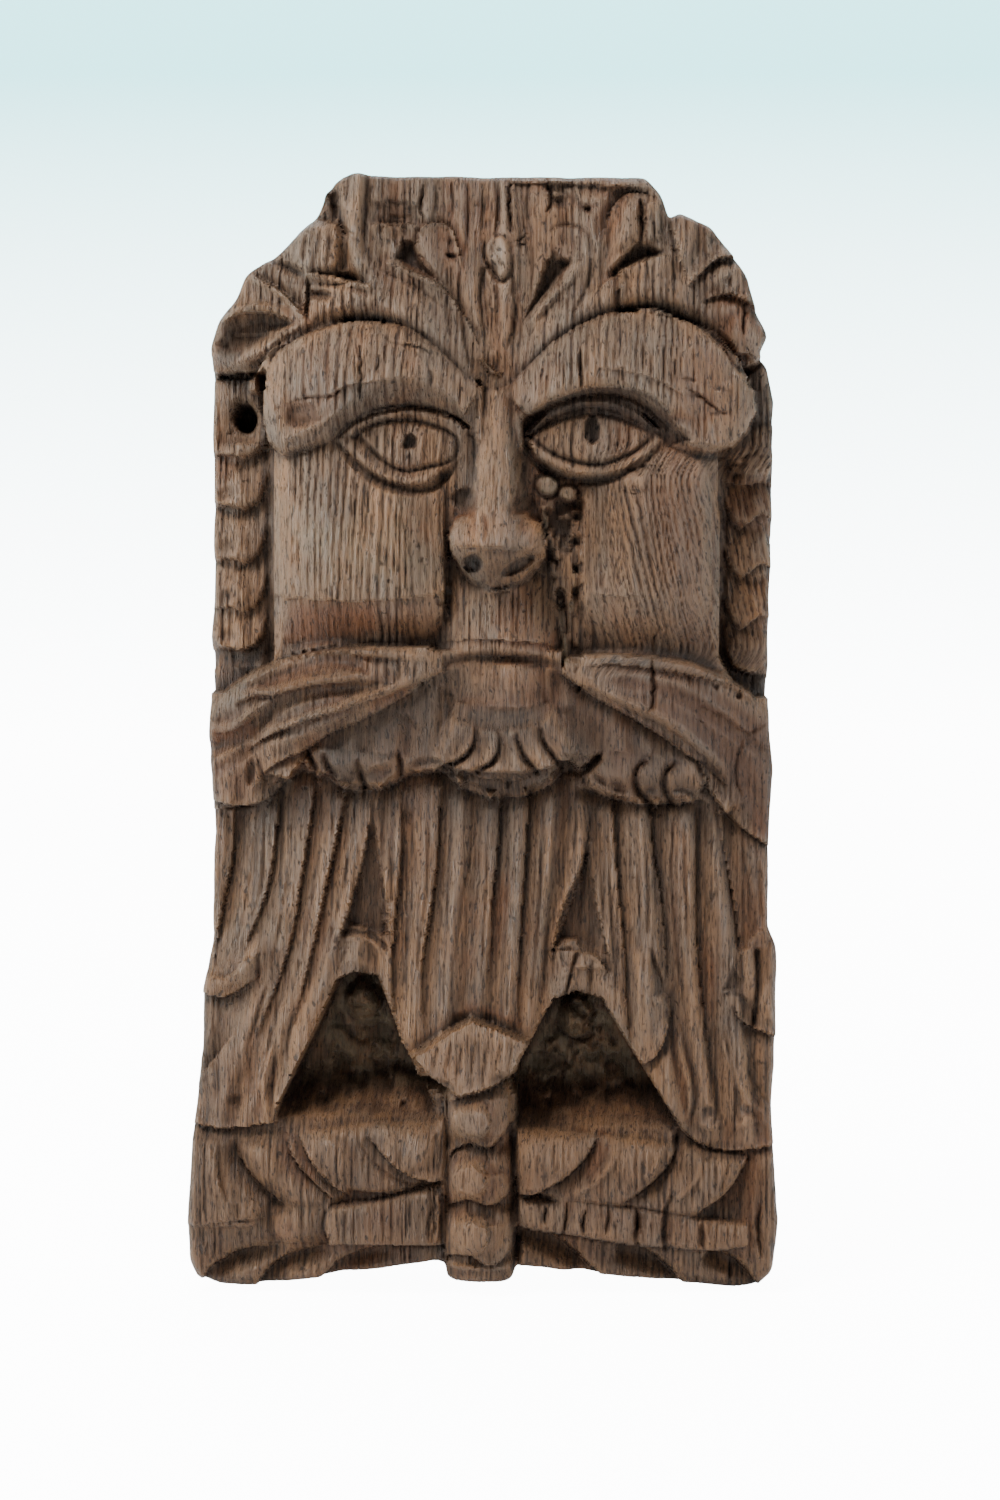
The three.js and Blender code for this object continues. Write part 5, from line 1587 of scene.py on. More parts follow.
        right = at("28.6,-30 27.6,-30 19.8,-50 19.4,-56.6 26,-57 33.4,-59")
        relief.cut("""
            slope 38.2 .05 .03 1 up 26,-46 27.2,-28.4 29.4,-28.4 34.8,-58.6 33,-60 19,-57.4 18.4,-50
        """)
        relief.sink(right, 0.6, 1.2, 0.05)
        relief.cut("""
            fall left 1.8 5 start lip=1.5 soot=.35 28.4,-30 26,-37 22,-46 19.2,-57
            fall right 1.6 4 start lip=1.1 soot=.35 28.8,-30 29.6,-40 31.4,-50 33.6,-59
            crack .8 1.8 .3 28.8,-20 28.6,-26 28,-31 26.8,-38 26.4,-46 26.8,-54
            slope 41.6 0 0 1 26,-60 18.6,-57 24,-55.6 33.4,-60 33.4,-64 19,-63
            fall left 1.6 2 none lip=.9 soot=.5 19,-58.6 21.6,-58.2 24.6,-58.4 28,-58.8 31,-60.4 33.2,-63.6
            groove .7 2.4 none soot=1 25.2,-59 24,-63 23,-67 21.6,-71
            groove .9 1.2 soot=.6 29.6,-60.6 28.8,-65 29,-69.6
            pit -1.4 power=2 26.4,-66.4 2.5,5
        """)

    @staticmethod
    def _left_curl(relief: Relief) -> None:
        """The curl on the left edge, and the flat behind it."""
        relief.cut("""
            fall left -1 3.6 -60,-59.8 -62.4,-60.2 -64.4,-61.2 -67,-64.2 -70.4,-66 -74,-64.6
            groove 1.2 1.4 soot=.5 -64.4,-59.2 -66,-62.6 -69,-64.8 -72.6,-64.4
            fall left 3 7 start lip=.8 soot=.8 -60.2,-65 -63,-67.4 -66.6,-70 -70,-71.2 -74.8,-70.4
            groove .8 1.2 none soot=.6 -60.4,-60 -60.2,-65.4
            fall right 2 6 start -65.8,-78 -68,-82 -71.6,-87 -76.4,-93
            groove .8 1.1 soot=.5 -57.4,-66 -60.6,-76 -63.6,-86
            groove .8 1 soot=.5 -53,-66 -56.4,-80 -59,-92
            groove .8 1.1 soot=.6 -48.6,-70 -51.8,-80 -53,-92
            ridge 1.2 1.4 -56.4,-84 -58.6,-94 -58,-103
            groove 1 1.2 soot=.6 -55.6,-86 -56.6,-96 -55.6,-104
            groove .8 .8 soot=.35 -62,-84 -62.4,-92 -61.6,-98
            pit 1.4 10 soot=.35 -66.2,-98.6 3.2,2.4
            groove .8 .8 soot=.35 -71.4,-88 -71.4,-96 -72.6,-101
        """)

    @staticmethod
    def _right_curls(relief: Relief) -> None:
        """The locks that hook at the right edge."""
        relief.cut("""
            groove 1 3 none 1.3 1 73.8,-59 74,-66 73.4,-73 73,-78.4
            fall left -1.2 4 both 76.4,-52.4 72.6,-54.6 70.6,-60 70.8,-66
            sink -1 1.8 75,-60 78.6,-54 78.8,-78 74.8,-78
            sink 1.6 1.4 .4 63.6,-69.6 66.8,-62 70.4,-66 70.2,-70
            groove 1 1.3 soot=.4 64,-70.4 67.6,-69.8 70.2,-72 71,-75.4
            fall right 2.6 6.5 start lip=.8 soot=.75 67.4,-73 69.2,-77.2 73,-79.6 78.8,-82
            fall left 2.6 5 start lip=.8 soot=.9 49.9,-70 50.1,-75 48.9,-81.6 46.2,-86.4 42.2,-89.4
            sink 1.6 1.2 .5 44.6,-60 46,-59 50,-70.6 46,-71
            groove .8 1.4 soot=.8 44.6,-57 46.6,-63 49,-69
            ridge 1 .9 45.6,-72.6 48,-71.6 49.4,-74.4
            ridge 1.4 1.6 50.6,-75.4 53.2,-86 55.4,-96 54.8,-104
            groove 1 1.5 soot=.7 52.6,-76.4 55,-86 57.2,-97 55.4,-105
            groove .9 1.4 soot=.6 59.4,-84 62.2,-94 63,-101 61.6,-105.6
            ridge 1.5 1.5 64.6,-82 67.6,-92 71.6,-99 76.2,-104
            groove .9 1.3 soot=.5 64.6,-78 66.4,-88 68,-96 67.4,-108
            groove 1 1 soot=.35 70,-88 73.6,-95 77.6,-101
            crack .5 1 62.6,-41.6 61.2,-46 62,-48
        """)

    @staticmethod
    def _feet(relief: Relief) -> None:
        """The cut ends of the locks above the collar."""
        relief.cut("""
            fall right 2.4 4 soot=.9 lip=.9 -79.4,-104.8 -72,-106 -64,-105.8 -57,-104.6
            fall right 2.6 4 soot=.9 lip=.6 49.6,-101 53,-106 58,-110.2 66,-112.2 74,-111.6 79.4,-110.6
            ridge 1.4 1 56.8,-103.6 60.6,-105.4 64.8,-104.2
            ridge 1.4 .9 67.4,-105.4 72,-104 76.6,-104.6
        """)
        for place in ((60.4, -101.4), (71, -101)):
            relief.pit(place, (2.4, 2.2), 1.1, soot=0.3)


@dataclass(frozen=True)
class Hollows:
    """The two deep hollows under the beard, gritty with old dust."""

    grit: float = 2.6

    def carve(self, relief: Relief) -> None:
        """Roughens the floors and shapes the bosses and the sills."""
        left = at("-36.6,-66 -30,-66 -21.6,-88 -12,-93 -10,-98 -12,-104 -53,-103 -46,-88")
        right = at("23.6,-71 31,-71.4 41.6,-90 51.6,-104 8.4,-104 8.4,-95 15.4,-84")
        for seed, corners in ((21, left), (22, right)):
            relief.gnaw(corners, self.grit, 3.6, 4.2, seed, 3.0, 0.35)
            relief.gnaw(corners, -self.grit * 0.8, 4.6, 5.2, seed + 10, 3.0, 0.0)
        relief.cut("""
            stain dust .95 1.5 -37,-66 -30,-66 -21.6,-88 -12,-93 -14,-96 -50,-96 -46,-88
            stain dust .95 1.5 23.6,-71 31,-71.4 41.6,-90 46,-96 10,-97 10,-94 15.4,-84
            pit -3.4 power=2.6 -33,-74.6 5.6,5.8
            gnaw 1.2 2.6 2.2 31 1 .5 -38,-69 -28,-69 -28,-79 -38,-79
            pit -4.2 power=2.6 25.8,-79 5.4,6.4
            gnaw 1.1 2.2 2.6 32 1 .5 21,-72 31,-72 31,-85 21,-85
            groove .9 1.6 soot=.9 20,-78 20.4,-82 23.4,-84.6 27.6,-85.4 31,-83.6
            pit -1.6 30 18.4,-86 3.4,3
            stain soot .6 1.5 -40,-72 -38,-62 -28,-62 -25,-72 -30,-68 -36,-68
            stain soot .6 1.5 18,-78 22,-68 32,-68 35,-78 30,-72 24,-72
            stain red .4 2 10,-99 48,-100 52,-106 10,-105
            stain red .3 2 -50,-103 -12,-95 -11,-103 -50,-105
        """)
        for corners in (at("8,-94 46,-94 56,-107 8,-107"), at("-54,-107 -50,-96 -12,-92 -10,-107")):
            relief.stain(corners, Mark.SOOT, 0.3, 2.0)


@dataclass(frozen=True)
class Stem:
    """The capped, beaded stem at the foot of the beard."""

    ring: float = 2.0

    def carve(self, relief: Relief) -> None:
        """Cuts the cap and the beads."""
        top = at("-19.2,-85.6 -14,-83.4 -9,-79.4 -3,-76.2 4,-78.4 11.6,-81.8")
        relief.fall(top, Side.LEFT, 1.6, 3.4, lip=0.4, soot=0.2)
        relief.cut("""
            stain red .9 1.2 -20,-85 -10,-77.6 -3,-74.2 5,-76.4 14,-81 13,-78 -3,-72 -14,-80
            fall left 2.2 3.4 start lip=.5 soot=.5 12.4,-82.2 9.4,-87.6 5.4,-92.4 .6,-94.6 -6.4,-96.2
            fall right 1.6 3 start soot=.5 -19,-85.8 -17.4,-88.6 -14,-92.4 -10.4,-94 -7.4,-96
            pit 1.4 20 soot=.5 4.6,-91.8 3.4,2.4
            pit 1.6 -14 soot=.6 -11,-93.4 4.2,2.4
        """)
        for i in range(7):
            x = -12.6 + i * 3.3
            relief.groove(
                [(x + 1.0, -80.6 - abs(i - 3) * 0.5), (x, -86), (x - 0.8, -91)], 0.55, 0.6, soot=0.4,
            )
        for line in (
            at("-8.4,-112.4 -7.7,-111.4 -3.8,-109.4 1.8,-110.5 5.1,-107.2 7.2,-104.6"),
            at("-9.4,-127 -8.8,-126.2 -3.8,-124.4 1.8,-126 6.2,-123.7 8.3,-120"),
            at("-9.8,-140.6 -9.3,-139.9 -3.8,-139.2 1.8,-142 6.8,-139 9,-132.6"),
            at("-7,-97.6 -2.6,-96.2 2,-94.6 6.6,-91.6"),
        ):
            relief.fall(line, Side.RIGHT, self.ring, 4.6, Taper.NONE, lip=1.2, soot=0.75)
            relief.groove(line, 0.8, 0.8, Taper.NONE, soot=0.8)
        for hook in (
            at("-4.4,-112.6 .4,-116.8 6.6,-117.6"),
            at("-4.6,-127.4 -.6,-130.4 6.6,-131"),
            at("-8,-141.6 -2.4,-142 -.8,-146"),
        ):
            relief.fall(hook, Side.LEFT, 0.9, 3.6, Taper.BOTH, lip=0.7, soot=0.3)
        for place, half in (
            ((-2.4, -103), (6.8, 5.6)),
            ((-3.2, -118.4), (6.8, 6.0)),
            ((-2.6, -133.2), (7.6, 6.0)),
        ):
            relief.pit(place, half, -2.4, power=1.6)
            relief.fall(
                [
                    (place[0] + 2.6, place[1] + 5.5),
                    (place[0] + 4.4, place[1]),
                    (place[0] + 2.4, place[1] - 4.6),
                ],
                Side.LEFT, 1.5, 4.4, Taper.BOTH, lip=0.6, soot=0.25,
            )
        relief.cut("""
            fall right 2.6 5 soot=.35 9,-97 9.2,-110 9.6,-126 9.8,-148
            fall left 1.6 3 soot=.35 -9.6,-97 -9.8,-110 -10,-124 -10.8,-148
        """)
        relief.reshape(
            at("-11,-142 10,-142 10,-153 -11,-153"),
            lambda x, y: 44.0 - 0.35 * np.maximum(-144 - y, 0) ** 1.5 - 0.06 * x**2, 2.0, Way.DOWN,
        )
        relief.cut("""
            groove 1 2 none 1.4 .6 -9.8,-98 -9.8,-110 -9.9,-124 -10.6,-137.4
            groove 1 1.8 none 1.4 .5 7.6,-96 7.9,-110 8.9,-126 9.4,-140
            stain red .6 2.5 -6,-98 7,-96 9,-126 -2,-126 2,-110
            stain soot .2 2 -10,-96 9,-96 10,-146 -11,-146
        """)


@dataclass(frozen=True)
class Collar:
    """The collar at the foot: overlapping leaves, rails and the lower row of leaves."""

    drop: float = 2.6

    def carve(self, relief: Relief) -> None:
        """Cuts both halves."""
        relief.fill_in(at("-78,-108 -12,-108 -12,-148 -78,-148"), 8, 2.2)
        self._left(relief)
        self._right(relief)
        relief.cut("""
            stain soot .24 2 -80,-106 -11,-106 -11,-148 -80,-150
            stain soot .18 2 9,-106 80,-112 80,-150 9,-148
        """)

    def _left(self, relief: Relief) -> None:
        """The left half."""
        for line in (
            at("-65.8,-109 -65,-114 -60.8,-120 -56,-124.4 -52.6,-127"),
            at("-52.8,-105.8 -51,-113 -46,-119.4 -39.6,-125"),
            at("-49.6,-106.6 -46.6,-113.4 -41.6,-119.8 -35.6,-123.8"),
            at("-30.6,-107.6 -26.6,-112.8 -22,-116.8 -17,-119.2 -10.4,-119.8"),
        ):
            relief.fall(line, Side.RIGHT, self.drop, 4.6, Taper.BOTH, lip=0.9, soot=0.8)
        relief.cut("""
            groove .8 1.2 soot=.4 -33.6,-108.6 -29.4,-114.6 -24,-118.8 -16,-121.4
            fall right -1.2 4 both -71.2,-109 -70.8,-118 -68.6,-125
            groove .9 1.2 soot=.4 -70.6,-110 -70.4,-118 -68.2,-125.6
        """)
        for place, half, turn in (
            ((-59.6, -114.6), (5.2, 7.4), 20),
            ((-41.6, -113.6), (6.4, 7.2), 24),
            ((-20, -111.4), (8.6, 6.2), 18),
        ):
            relief.pit(place, half, -1.2, turn, power=2.0)
        relief.cut("""
            groove .8 1.4 none soot=.85 -40.6,-126.2 -30,-125 -20,-122.6 -10.8,-119.8
            groove .9 1.7 both soot=.95 -40.2,-126 -42.4,-129.2 -42.8,-133 -41.2,-136.8
            groove .8 1.3 start soot=.75 -62,-136.9 -41,-137.3 -25,-137.4 -10.8,-137.2
        """)
        for x, high in at("-14.2,-121.6 -13,-121.4 -11.2,-121"):
            relief.crack([(x, high), (x + 0.2, -128), (x - 0.4, -136.4)], 0.6, 1.9)
        relief.cut("""
            groove .9 1.4 none soot=.7 -56.8,-126 -57,-131 -56.4,-136.4
            groove .8 1.2 soot=.6 -75.6,-131.8 -66,-130.6 -58,-130.2
            groove .7 1 soot=.6 -65.6,-125.4 -65.6,-130.2
        """)
        for x in (-52.4, -48.6, -45.6):
            relief.groove([(x, -127.6), (x + 0.2, -131), (x, -135.6)], 0.5, 0.7, soot=0.5)
        for line in (
            at("-75,-147 -73.4,-144 -70,-141.8 -64,-138.9 -54,-137.6"),
            at("-60.4,-148.8 -57.4,-144 -52,-140.4 -43,-138"),
            at("-43.6,-147 -39.4,-142.6 -33,-139.4 -25,-137.8"),
        ):
            relief.fall(line, Side.RIGHT, self.drop + 0.6, 6.0, Taper.END, lip=0.6, soot=0.85)
        relief.cut("""
            stain red .8 1 -55,-130 -50,-131 -50,-136 -56,-136
            stain red .6 1.5 -54,-106 -50,-108 -44,-118 -46,-122 -54,-116
        """)

    def _right(self, relief: Relief) -> None:
        """The right half."""
        for line in (
            at("30.8,-105.6 29.4,-110.8 25.4,-115.8 20,-120.2 12.4,-123.6"),
            at("52.2,-106.4 51.2,-113 46.2,-119.6 37.6,-125.6"),
            at("71.8,-112.6 69.2,-118 64.8,-123.8 57.4,-129"),
        ):
            relief.fall(line, Side.LEFT, self.drop + 0.3, 4.8, Taper.BOTH, lip=0.8, soot=0.85)
            relief.groove(line, 0.9, 1.0, soot=0.9)
        for line in (
            at("36.2,-108 34.8,-114 30,-119.6 24,-123"),
            at("56.6,-109.6 57.8,-116 55.6,-121 50.6,-125"),
            at("47.4,-110 46.4,-115 43.6,-119"),
        ):
            relief.ridge(line, 1.2, 1.1)
        relief.cut("""
            groove .9 1 soot=.45 33.8,-108 32.4,-114 27.6,-119.4
            groove .8 .9 soot=.4 65.4,-115 64.4,-120 62.6,-124
            pit 1.8 -6 soot=.8 52,-110 1.6,4
        """)
        for place, half, turn in (
            ((18.6, -111.8), (9.4, 6.6), -16),
            ((41.6, -113.6), (7.2, 7.4), -22),
            ((62.4, -118.4), (5.6, 7.0), -26),
        ):
            relief.pit(place, half, -1.1, turn, power=2.0)
        relief.cut("""
            groove 1 1.6 none soot=.9 10.4,-132.4 20,-134 30,-135.6 40,-137 50,-138.1 60,-138.8 70,-138
            groove .8 1.1 soot=.5 22,-124.6 33,-126 41,-126.8 55,-129.2 70,-130.8
        """)
        for line, half in (
            (at("41,-126.4 41.2,-131 40.4,-137"), 0.9),
            (at("50.4,-123 48.9,-129 48.5,-134 49.4,-140"), 1.1),
            (at("58.9,-131.2 58.6,-135 59,-138.6"), 1.1),
            (at("22.6,-125 22.3,-130 20.6,-136.6"), 0.6),
            ([(16.8, -126), (16.6, -131)], 0.45),
            (at("27.8,-127 26.8,-131 27.4,-134"), 0.45),
            ([(33.6, -127), (33.4, -134)], 0.5),
            (at("74.4,-126 74,-133 74.8,-141"), 0.8),
            ([(66.4, -143), (66.6, -147)], 0.4),
            ([(57.4, -146), (57.8, -149)], 0.4),
        ):
            relief.crack(line, half, 2.4, 0.25)
        relief.cut("ridge 1.2 1.2 73.2,-117 72.8,-126 73,-134 73.6,-142")
        for line in (
            at("13,-133.4 20,-136 25.6,-140.4 30.6,-145"),
            at("39,-136.8 45.4,-140 50,-144.4 54,-148.6"),
            at("61,-138.8 67.4,-141.4 71.6,-145.6 74.4,-150"),
        ):
            relief.fall(line, Side.RIGHT, self.drop + 0.6, 5.6, Taper.START, lip=0.6, soot=0.85)
        relief.cut("""
            stain red .4 2.5 24,-126 44,-128 70,-132 70,-138 40,-136
            stain red .5 1.5 10,-119 20,-119 14,-124 9,-124
            stain red .8 1.5 31,-106 36,-107 30,-119 26,-118
        """)


class FineCarving:
    """All the finer cutting of the front."""

    calm_places: tuple[tuple[tuple[Point, ...], float], ...] = (
        (at("-80,-12 80,-12 80,-112 -80,-112"), 0.55),
        (at("-80,-112 80,-112 80,-150 -80,-150"), 0.35),
        (at("-76,22 78,22 78,-12 -76,-12"), 0.6),
        (at("-47,-6 -40,0 -30,5 -20,10 -12,16 -11,-12 -24,-14 -37,-15"), 0.9),
        (at("22,15 38,4 55,-6 58,-18 34,-18 21,-8"), 0.85),
        (at("-12,9 22,9 22,-16 -12,-12"), 0.85),
        (at("-2,96 9,96 16,60 14,40 -9,40 -10,60"), 0.5),
        (at("-46,24 -54,24 -60,60 -60,75 -52,75 -52,40"), 0.6),
    )

    def __init__(self, relief: Relief) -> None:
        """Takes the relief to carve."""
        self.relief = relief
        self.parts = (
            SideBoards(), Forehead(), Cheeks(), Nose(), Brows(), Eyes(), Mouth(), Moustache(), Beard(),
            Hollows(), Stem(), Collar(),
        )

    def carve(self) -> None:
        """Cuts each part in turn."""
        for part in self.parts:
            part.carve(self.relief)
        for corners, amount in self.calm_places:
            self.relief.stain(corners, Mark.CALM, amount, 3.0)


class Block:
    """The carved block as one closed mesh: the fine front, the worn sides and the plain back.

    Lengths are in millimetres: side_turn is how far behind the front's edge a side reaches its dressed
    flat, adze how deep the adze went there, arris how far the back's edge is taken in, and scoop the
    length, the width and the depth of the adze's cuts on the back.
    """

    side_rings: int = 12
    full_corners: tuple[tuple[float, float, float, float], ...] = (
        (-38.0, 147.5, 5.0, 1.2),
        (-62.0, 122.0, 7.0, 0.8),
    )
    triangle_limit: int = 190000
    adze: float = 1.1
    arris: float = 0.7
    side_turn: float = 7.0
    back_rings: int = 34
    back_inset: float = 4.0
    outline_step: float = 0.7
    farthest_snap: float = 3.0
    least_depth: float = 2.0
    smooth_below: float = 48.0
    scoop: tuple[float, float, float] = (23.0, 13.0, 1.9)

    def __init__(self, node: bpy.types.Object, relief: Relief) -> None:
        """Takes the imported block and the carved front.

        Args:
            node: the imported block.
            relief: the carved front.
        """
        self.node = node
        self.relief = relief
        self.outline = self._outline()
        self.stops = np.zeros(0)

    def _outline(self) -> np.ndarray:
        """The block's outline at the back, its points close together, corners rounded and edge worn."""
        corners = closed(self._rim())
        steps = np.linalg.norm(np.diff(corners, axis=0), axis=1)
        lengths = np.concatenate([[0.0], np.cumsum(steps)])
        stops = np.linspace(0, lengths[-1], int(lengths[-1] / self.outline_step), endpoint=False)
        line = np.stack([np.interp(stops, lengths, corners[:, i]) for i in (0, 1)], 1)
        for _ in range(5):
            line = 0.5 * line + 0.25 * (np.roll(line, 1, 0) + np.roll(line, -1, 0))
        along = np.roll(line, -1, 0) - np.roll(line, 1, 0)
        inward = np.stack([-along[:, 1], along[:, 0]], 1) / np.linalg.norm(along, axis=1)[:, None]
        if np.sum(line[:, 0] * np.roll(line[:, 1], -1) - line[:, 1] * np.roll(line[:, 0], -1)) < 0:
            inward = -inward
        worn = 0.2 + 0.4 * Noise(41, 9.0, 9.0, 3).at(line[:, 0], line[:, 1])
        for x, y, reach, fuller in self.full_corners:
            worn -= fuller * np.exp(-(((line[:, 0] - x) ** 2 + (line[:, 1] - y) ** 2) / reach**2))
        return line + inward * worn[:, None]

    def _rim(self) -> list[Point]:
        """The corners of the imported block's flat back, in order round the panel."""
        mesh = self.node.data
        places = [(round(vertex.co.x / MM, 2), round(vertex.co.z / MM, 2)) for vertex in mesh.vertices]
        edges: dict[tuple[Point, Point], int] = {}
        for face in mesh.loop_triangles:
            if all(mesh.vertices[i].co.y > -0.05 * MM for i in face.vertices):
                corners = [places[i] for i in face.vertices]
                for pair in zip(corners, corners[1:] + corners[:1]):
                    edges[pair] = edges.get(pair, 0) + 1
        ahead = {a: b for a, b in edges if a != b and (b, a) not in edges}
        loops = []
        while ahead:
            start, place = ahead.popitem()
            loop = [start]
            while place in ahead:
                loop.append(place)
                place = ahead.pop(place)
            loops.append(loop)
        return max(loops, key=len)

    def build(self) -> bpy.types.Object:
        """Makes the mesh.

        Returns:
            The finished piece, at the origin.
        """
        relief = self.relief
        inward, nearest = self._to_outline()
        rows, columns = relief.x.shape
        bpy.ops.object.select_all(action="DESELECT")
        bpy.ops.mesh.primitive_grid_add(x_subdivisions=columns - 1, y_subdivisions=rows - 1, size=1.0)
        piece = bpy.context.object
        piece.name = "oak_block"
        mesh = piece.data
        x, y = self._relax()
        kept = self._kept(inward)
        border = self._border(kept)
        x = np.where(border, nearest[..., 0], x)
        y = np.where(border, nearest[..., 1], y)
        depth = self._sample(relief.depth, x, y) - self._edge_wear(x, y, np.where(border, 0.0, inward))
        depth = np.maximum(depth, self.least_depth)
        places = np.stack([x, -depth, y], -1).reshape(-1, 3) * MM
        mesh.vertices.foreach_set("co", places.ravel())
        self._trim(mesh, kept)
        self._add_sides()
        self._close_back()
        self._put_in_order(mesh)
        self._thin(piece)
        self._settle(piece)
        return piece

    def _to_outline(self) -> tuple[np.ndarray, np.ndarray]:
        """Each grid point's distance to the outline, positive inside, and its nearest point."""
        relief = self.relief
        _, inward = relief.inside([tuple(point) for point in self.outline[::3]], 400.0)
        reach = self.farthest_snap
        best = np.full(relief.x.shape, np.inf)
        nearest = np.stack([relief.x, relief.y], -1)
        line = np.vstack([self.outline, self.outline[:1]])
        for a, b in zip(line[:-1], line[1:]):
            rows, columns = relief.window(np.minimum(a, b) - reach, np.maximum(a, b) + reach)
            x, y = relief.x[rows, columns], relief.y[rows, columns]
            dx, dy = b - a
            share = np.clip(((x - a[0]) * dx + (y - a[1]) * dy) / max(dx * dx + dy * dy, 1e-9), 0, 1)
            px, py = a[0] + share * dx, a[1] + share * dy
            apart = np.hypot(x - px, y - py)
            closer = apart < best[rows, columns]
            best[rows, columns][closer] = apart[closer]
            nearest[rows, columns][closer] = np.stack([px, py], -1)[closer]
        return np.where(best < reach, np.sign(inward) * best, inward), nearest

    def _kept(self, inward: np.ndarray) -> np.ndarray:
        """The cells of the grid that lie inside the outline, without any that stand out alone."""
        corner = inward > 0.12
        kept = corner[:-1, :-1] & corner[1:, :-1] & corner[:-1, 1:] & corner[1:, 1:]
        padded = np.pad(kept, 1).astype(int)
        beside = padded[:-2, 1:-1] + padded[2:, 1:-1] + padded[1:-1, :-2] + padded[1:-1, 2:]
        return kept & (beside > 1)

    @staticmethod
    def _border(kept: np.ndarray) -> np.ndarray:
        """The grid points on the edge of the kept cells."""
        padded = np.pad(kept, 1)
        around = np.stack([padded[:-1, :-1], padded[1:, :-1], padded[:-1, 1:], padded[1:, 1:]])
        return around.any(0) & ~around.all(0)

    def _sample(self, field_: np.ndarray, x: np.ndarray, y: np.ndarray) -> np.ndarray:
        """A field's value at places between the grid's points."""
        relief = self.relief
        rows, columns = field_.shape
        u = np.clip((x - relief.left) / relief.pitch, 0, columns - 1.001)
        v = np.clip((y - relief.foot) / relief.pitch, 0, rows - 1.001)
        i, j = u.astype(int), v.astype(int)
        fu, fv = u - i, v - j
        low = field_[j, i] * (1 - fu) + field_[j, i + 1] * fu
        high = field_[j + 1, i] * (1 - fu) + field_[j + 1, i + 1] * fu
        return low * (1 - fv) + high * fv

    def _relax(self, rounds: int = 10) -> tuple[np.ndarray, np.ndarray]:
        """Moves the grid's points together where the carving is steep, so that walls get more of them."""
        x, y = self.relief.x.copy(), self.relief.y.copy()
        for _ in range(rounds):
            depth = self._sample(self.relief.depth, x, y)
            places = np.stack([x, y, depth], -1)
            pull = np.zeros((*x.shape, 2))
            weight = np.zeros(x.shape)
            inner = (slice(1, -1), slice(1, -1))
            for move in ((0, 1), (0, -1), (1, 0), (-1, 0)):
                other = np.roll(places, move, (0, 1))
                length = np.minimum(np.linalg.norm(other - places, axis=-1), 6.0)
                pull += other[..., :2] * length[..., None]
                weight += length
            mean = pull / weight[..., None]
            x[inner] += 0.7 * (mean[..., 0] - x)[inner]
            y[inner] += 0.7 * (mean[..., 1] - y)[inner]
        return x, y

    def _edge_wear(self, x: np.ndarray, y: np.ndarray, inward: np.ndarray) -> np.ndarray:
        """How much the front's edge is rounded off at each place."""
        radius = 2.2 + 1.1 * Noise(43, 12.0, 12.0, 2).at(x, y)
        turn = np.clip(1 - np.maximum(inward, 0) / radius, 0, 1)
        return radius * (1 - np.sqrt(np.clip(1 - turn**2, 0, 1)))

    @staticmethod
    def _trim(mesh: bpy.types.Mesh, kept: np.ndarray) -> None:
        """Deletes the faces outside the outline."""
        bpy.ops.object.mode_set(mode="EDIT")
        bpy.ops.mesh.select_all(action="DESELECT")
        bpy.ops.object.mode_set(mode="OBJECT")
        mesh.polygons.foreach_set("select", ~kept.ravel())
        bpy.ops.object.mode_set(mode="EDIT")
        bpy.ops.mesh.select_mode(type="FACE")
        bpy.ops.object.mode_set(mode="OBJECT")
        mesh.polygons.foreach_set("select", ~kept.ravel())
        bpy.ops.object.mode_set(mode="EDIT")
        bpy.ops.mesh.delete(type="FACE")
        bpy.ops.mesh.select_mode(type="VERT")
        bpy.ops.mesh.select_all(action="DESELECT")
        bpy.ops.mesh.select_non_manifold(extend=False)

    def _add_sides(self) -> None:
        """Pulls the front's edge back to the wall in rings, and dresses the sides with an adze."""
        mesh = bpy.context.object.data
        rings = []
        for ring in range(self.side_rings, 0, -1):
            bpy.ops.mesh.extrude_region_move(TRANSFORM_OT_translate={"value": (0, 0, 0)})
            bpy.ops.object.mode_set(mode="OBJECT")
            places, chosen = self._places(mesh), self._chosen(mesh)
            places[chosen, 1] *= (ring - 1) / ring
            mesh.vertices.foreach_set("co", places.ravel())
            rings.append((np.flatnonzero(chosen), (ring - 1) / self.side_rings))
            bpy.ops.object.mode_set(mode="EDIT")
        bpy.ops.object.mode_set(mode="OBJECT")
        places = self._places(mesh)
        recess, inward, _ = self._recess()
        self.stops = self._stop(*(places[rings[-1][0]][:, [0, 2]].T / MM))
        for chosen, share in rings:
            x, depth, y = places[chosen, 0] / MM, -places[chosen, 1] / MM, places[chosen, 2] / MM
            nearest = self._nearest(x, y)
            behind = depth * (1 / share - 1) if share else np.full(len(x), 99.0)
            flats = 0.5 + 0.35 * Noise(51, 15.0, 15.0, 2).at(x, y)
            flats += 0.35 * Noise(52, 12.0, 8.0, 2).at(x * 0.8 + y, depth)
            move = smooth_step(behind / self.side_turn) * (recess[nearest] + self.adze * flats)
            move += 0.0 if share else self.arris
            places[chosen, 0] += inward[nearest, 0] * move * MM
            places[chosen, 2] += inward[nearest, 1] * move * MM
        mesh.vertices.foreach_set("co", places.ravel())
        bpy.ops.object.mode_set(mode="EDIT")

    @staticmethod
    def _places(mesh: bpy.types.Mesh) -> np.ndarray:
        """The places of a mesh's vertices, one row each."""
        places = np.empty(len(mesh.vertices) * 3)
        mesh.vertices.foreach_get("co", places)
        return places.reshape(-1, 3)

    @staticmethod
    def _chosen(mesh: bpy.types.Mesh) -> np.ndarray:
        """Which of a mesh's vertices are selected."""
        chosen = np.empty(len(mesh.vertices), bool)
        mesh.vertices.foreach_get("select", chosen)
        return chosen

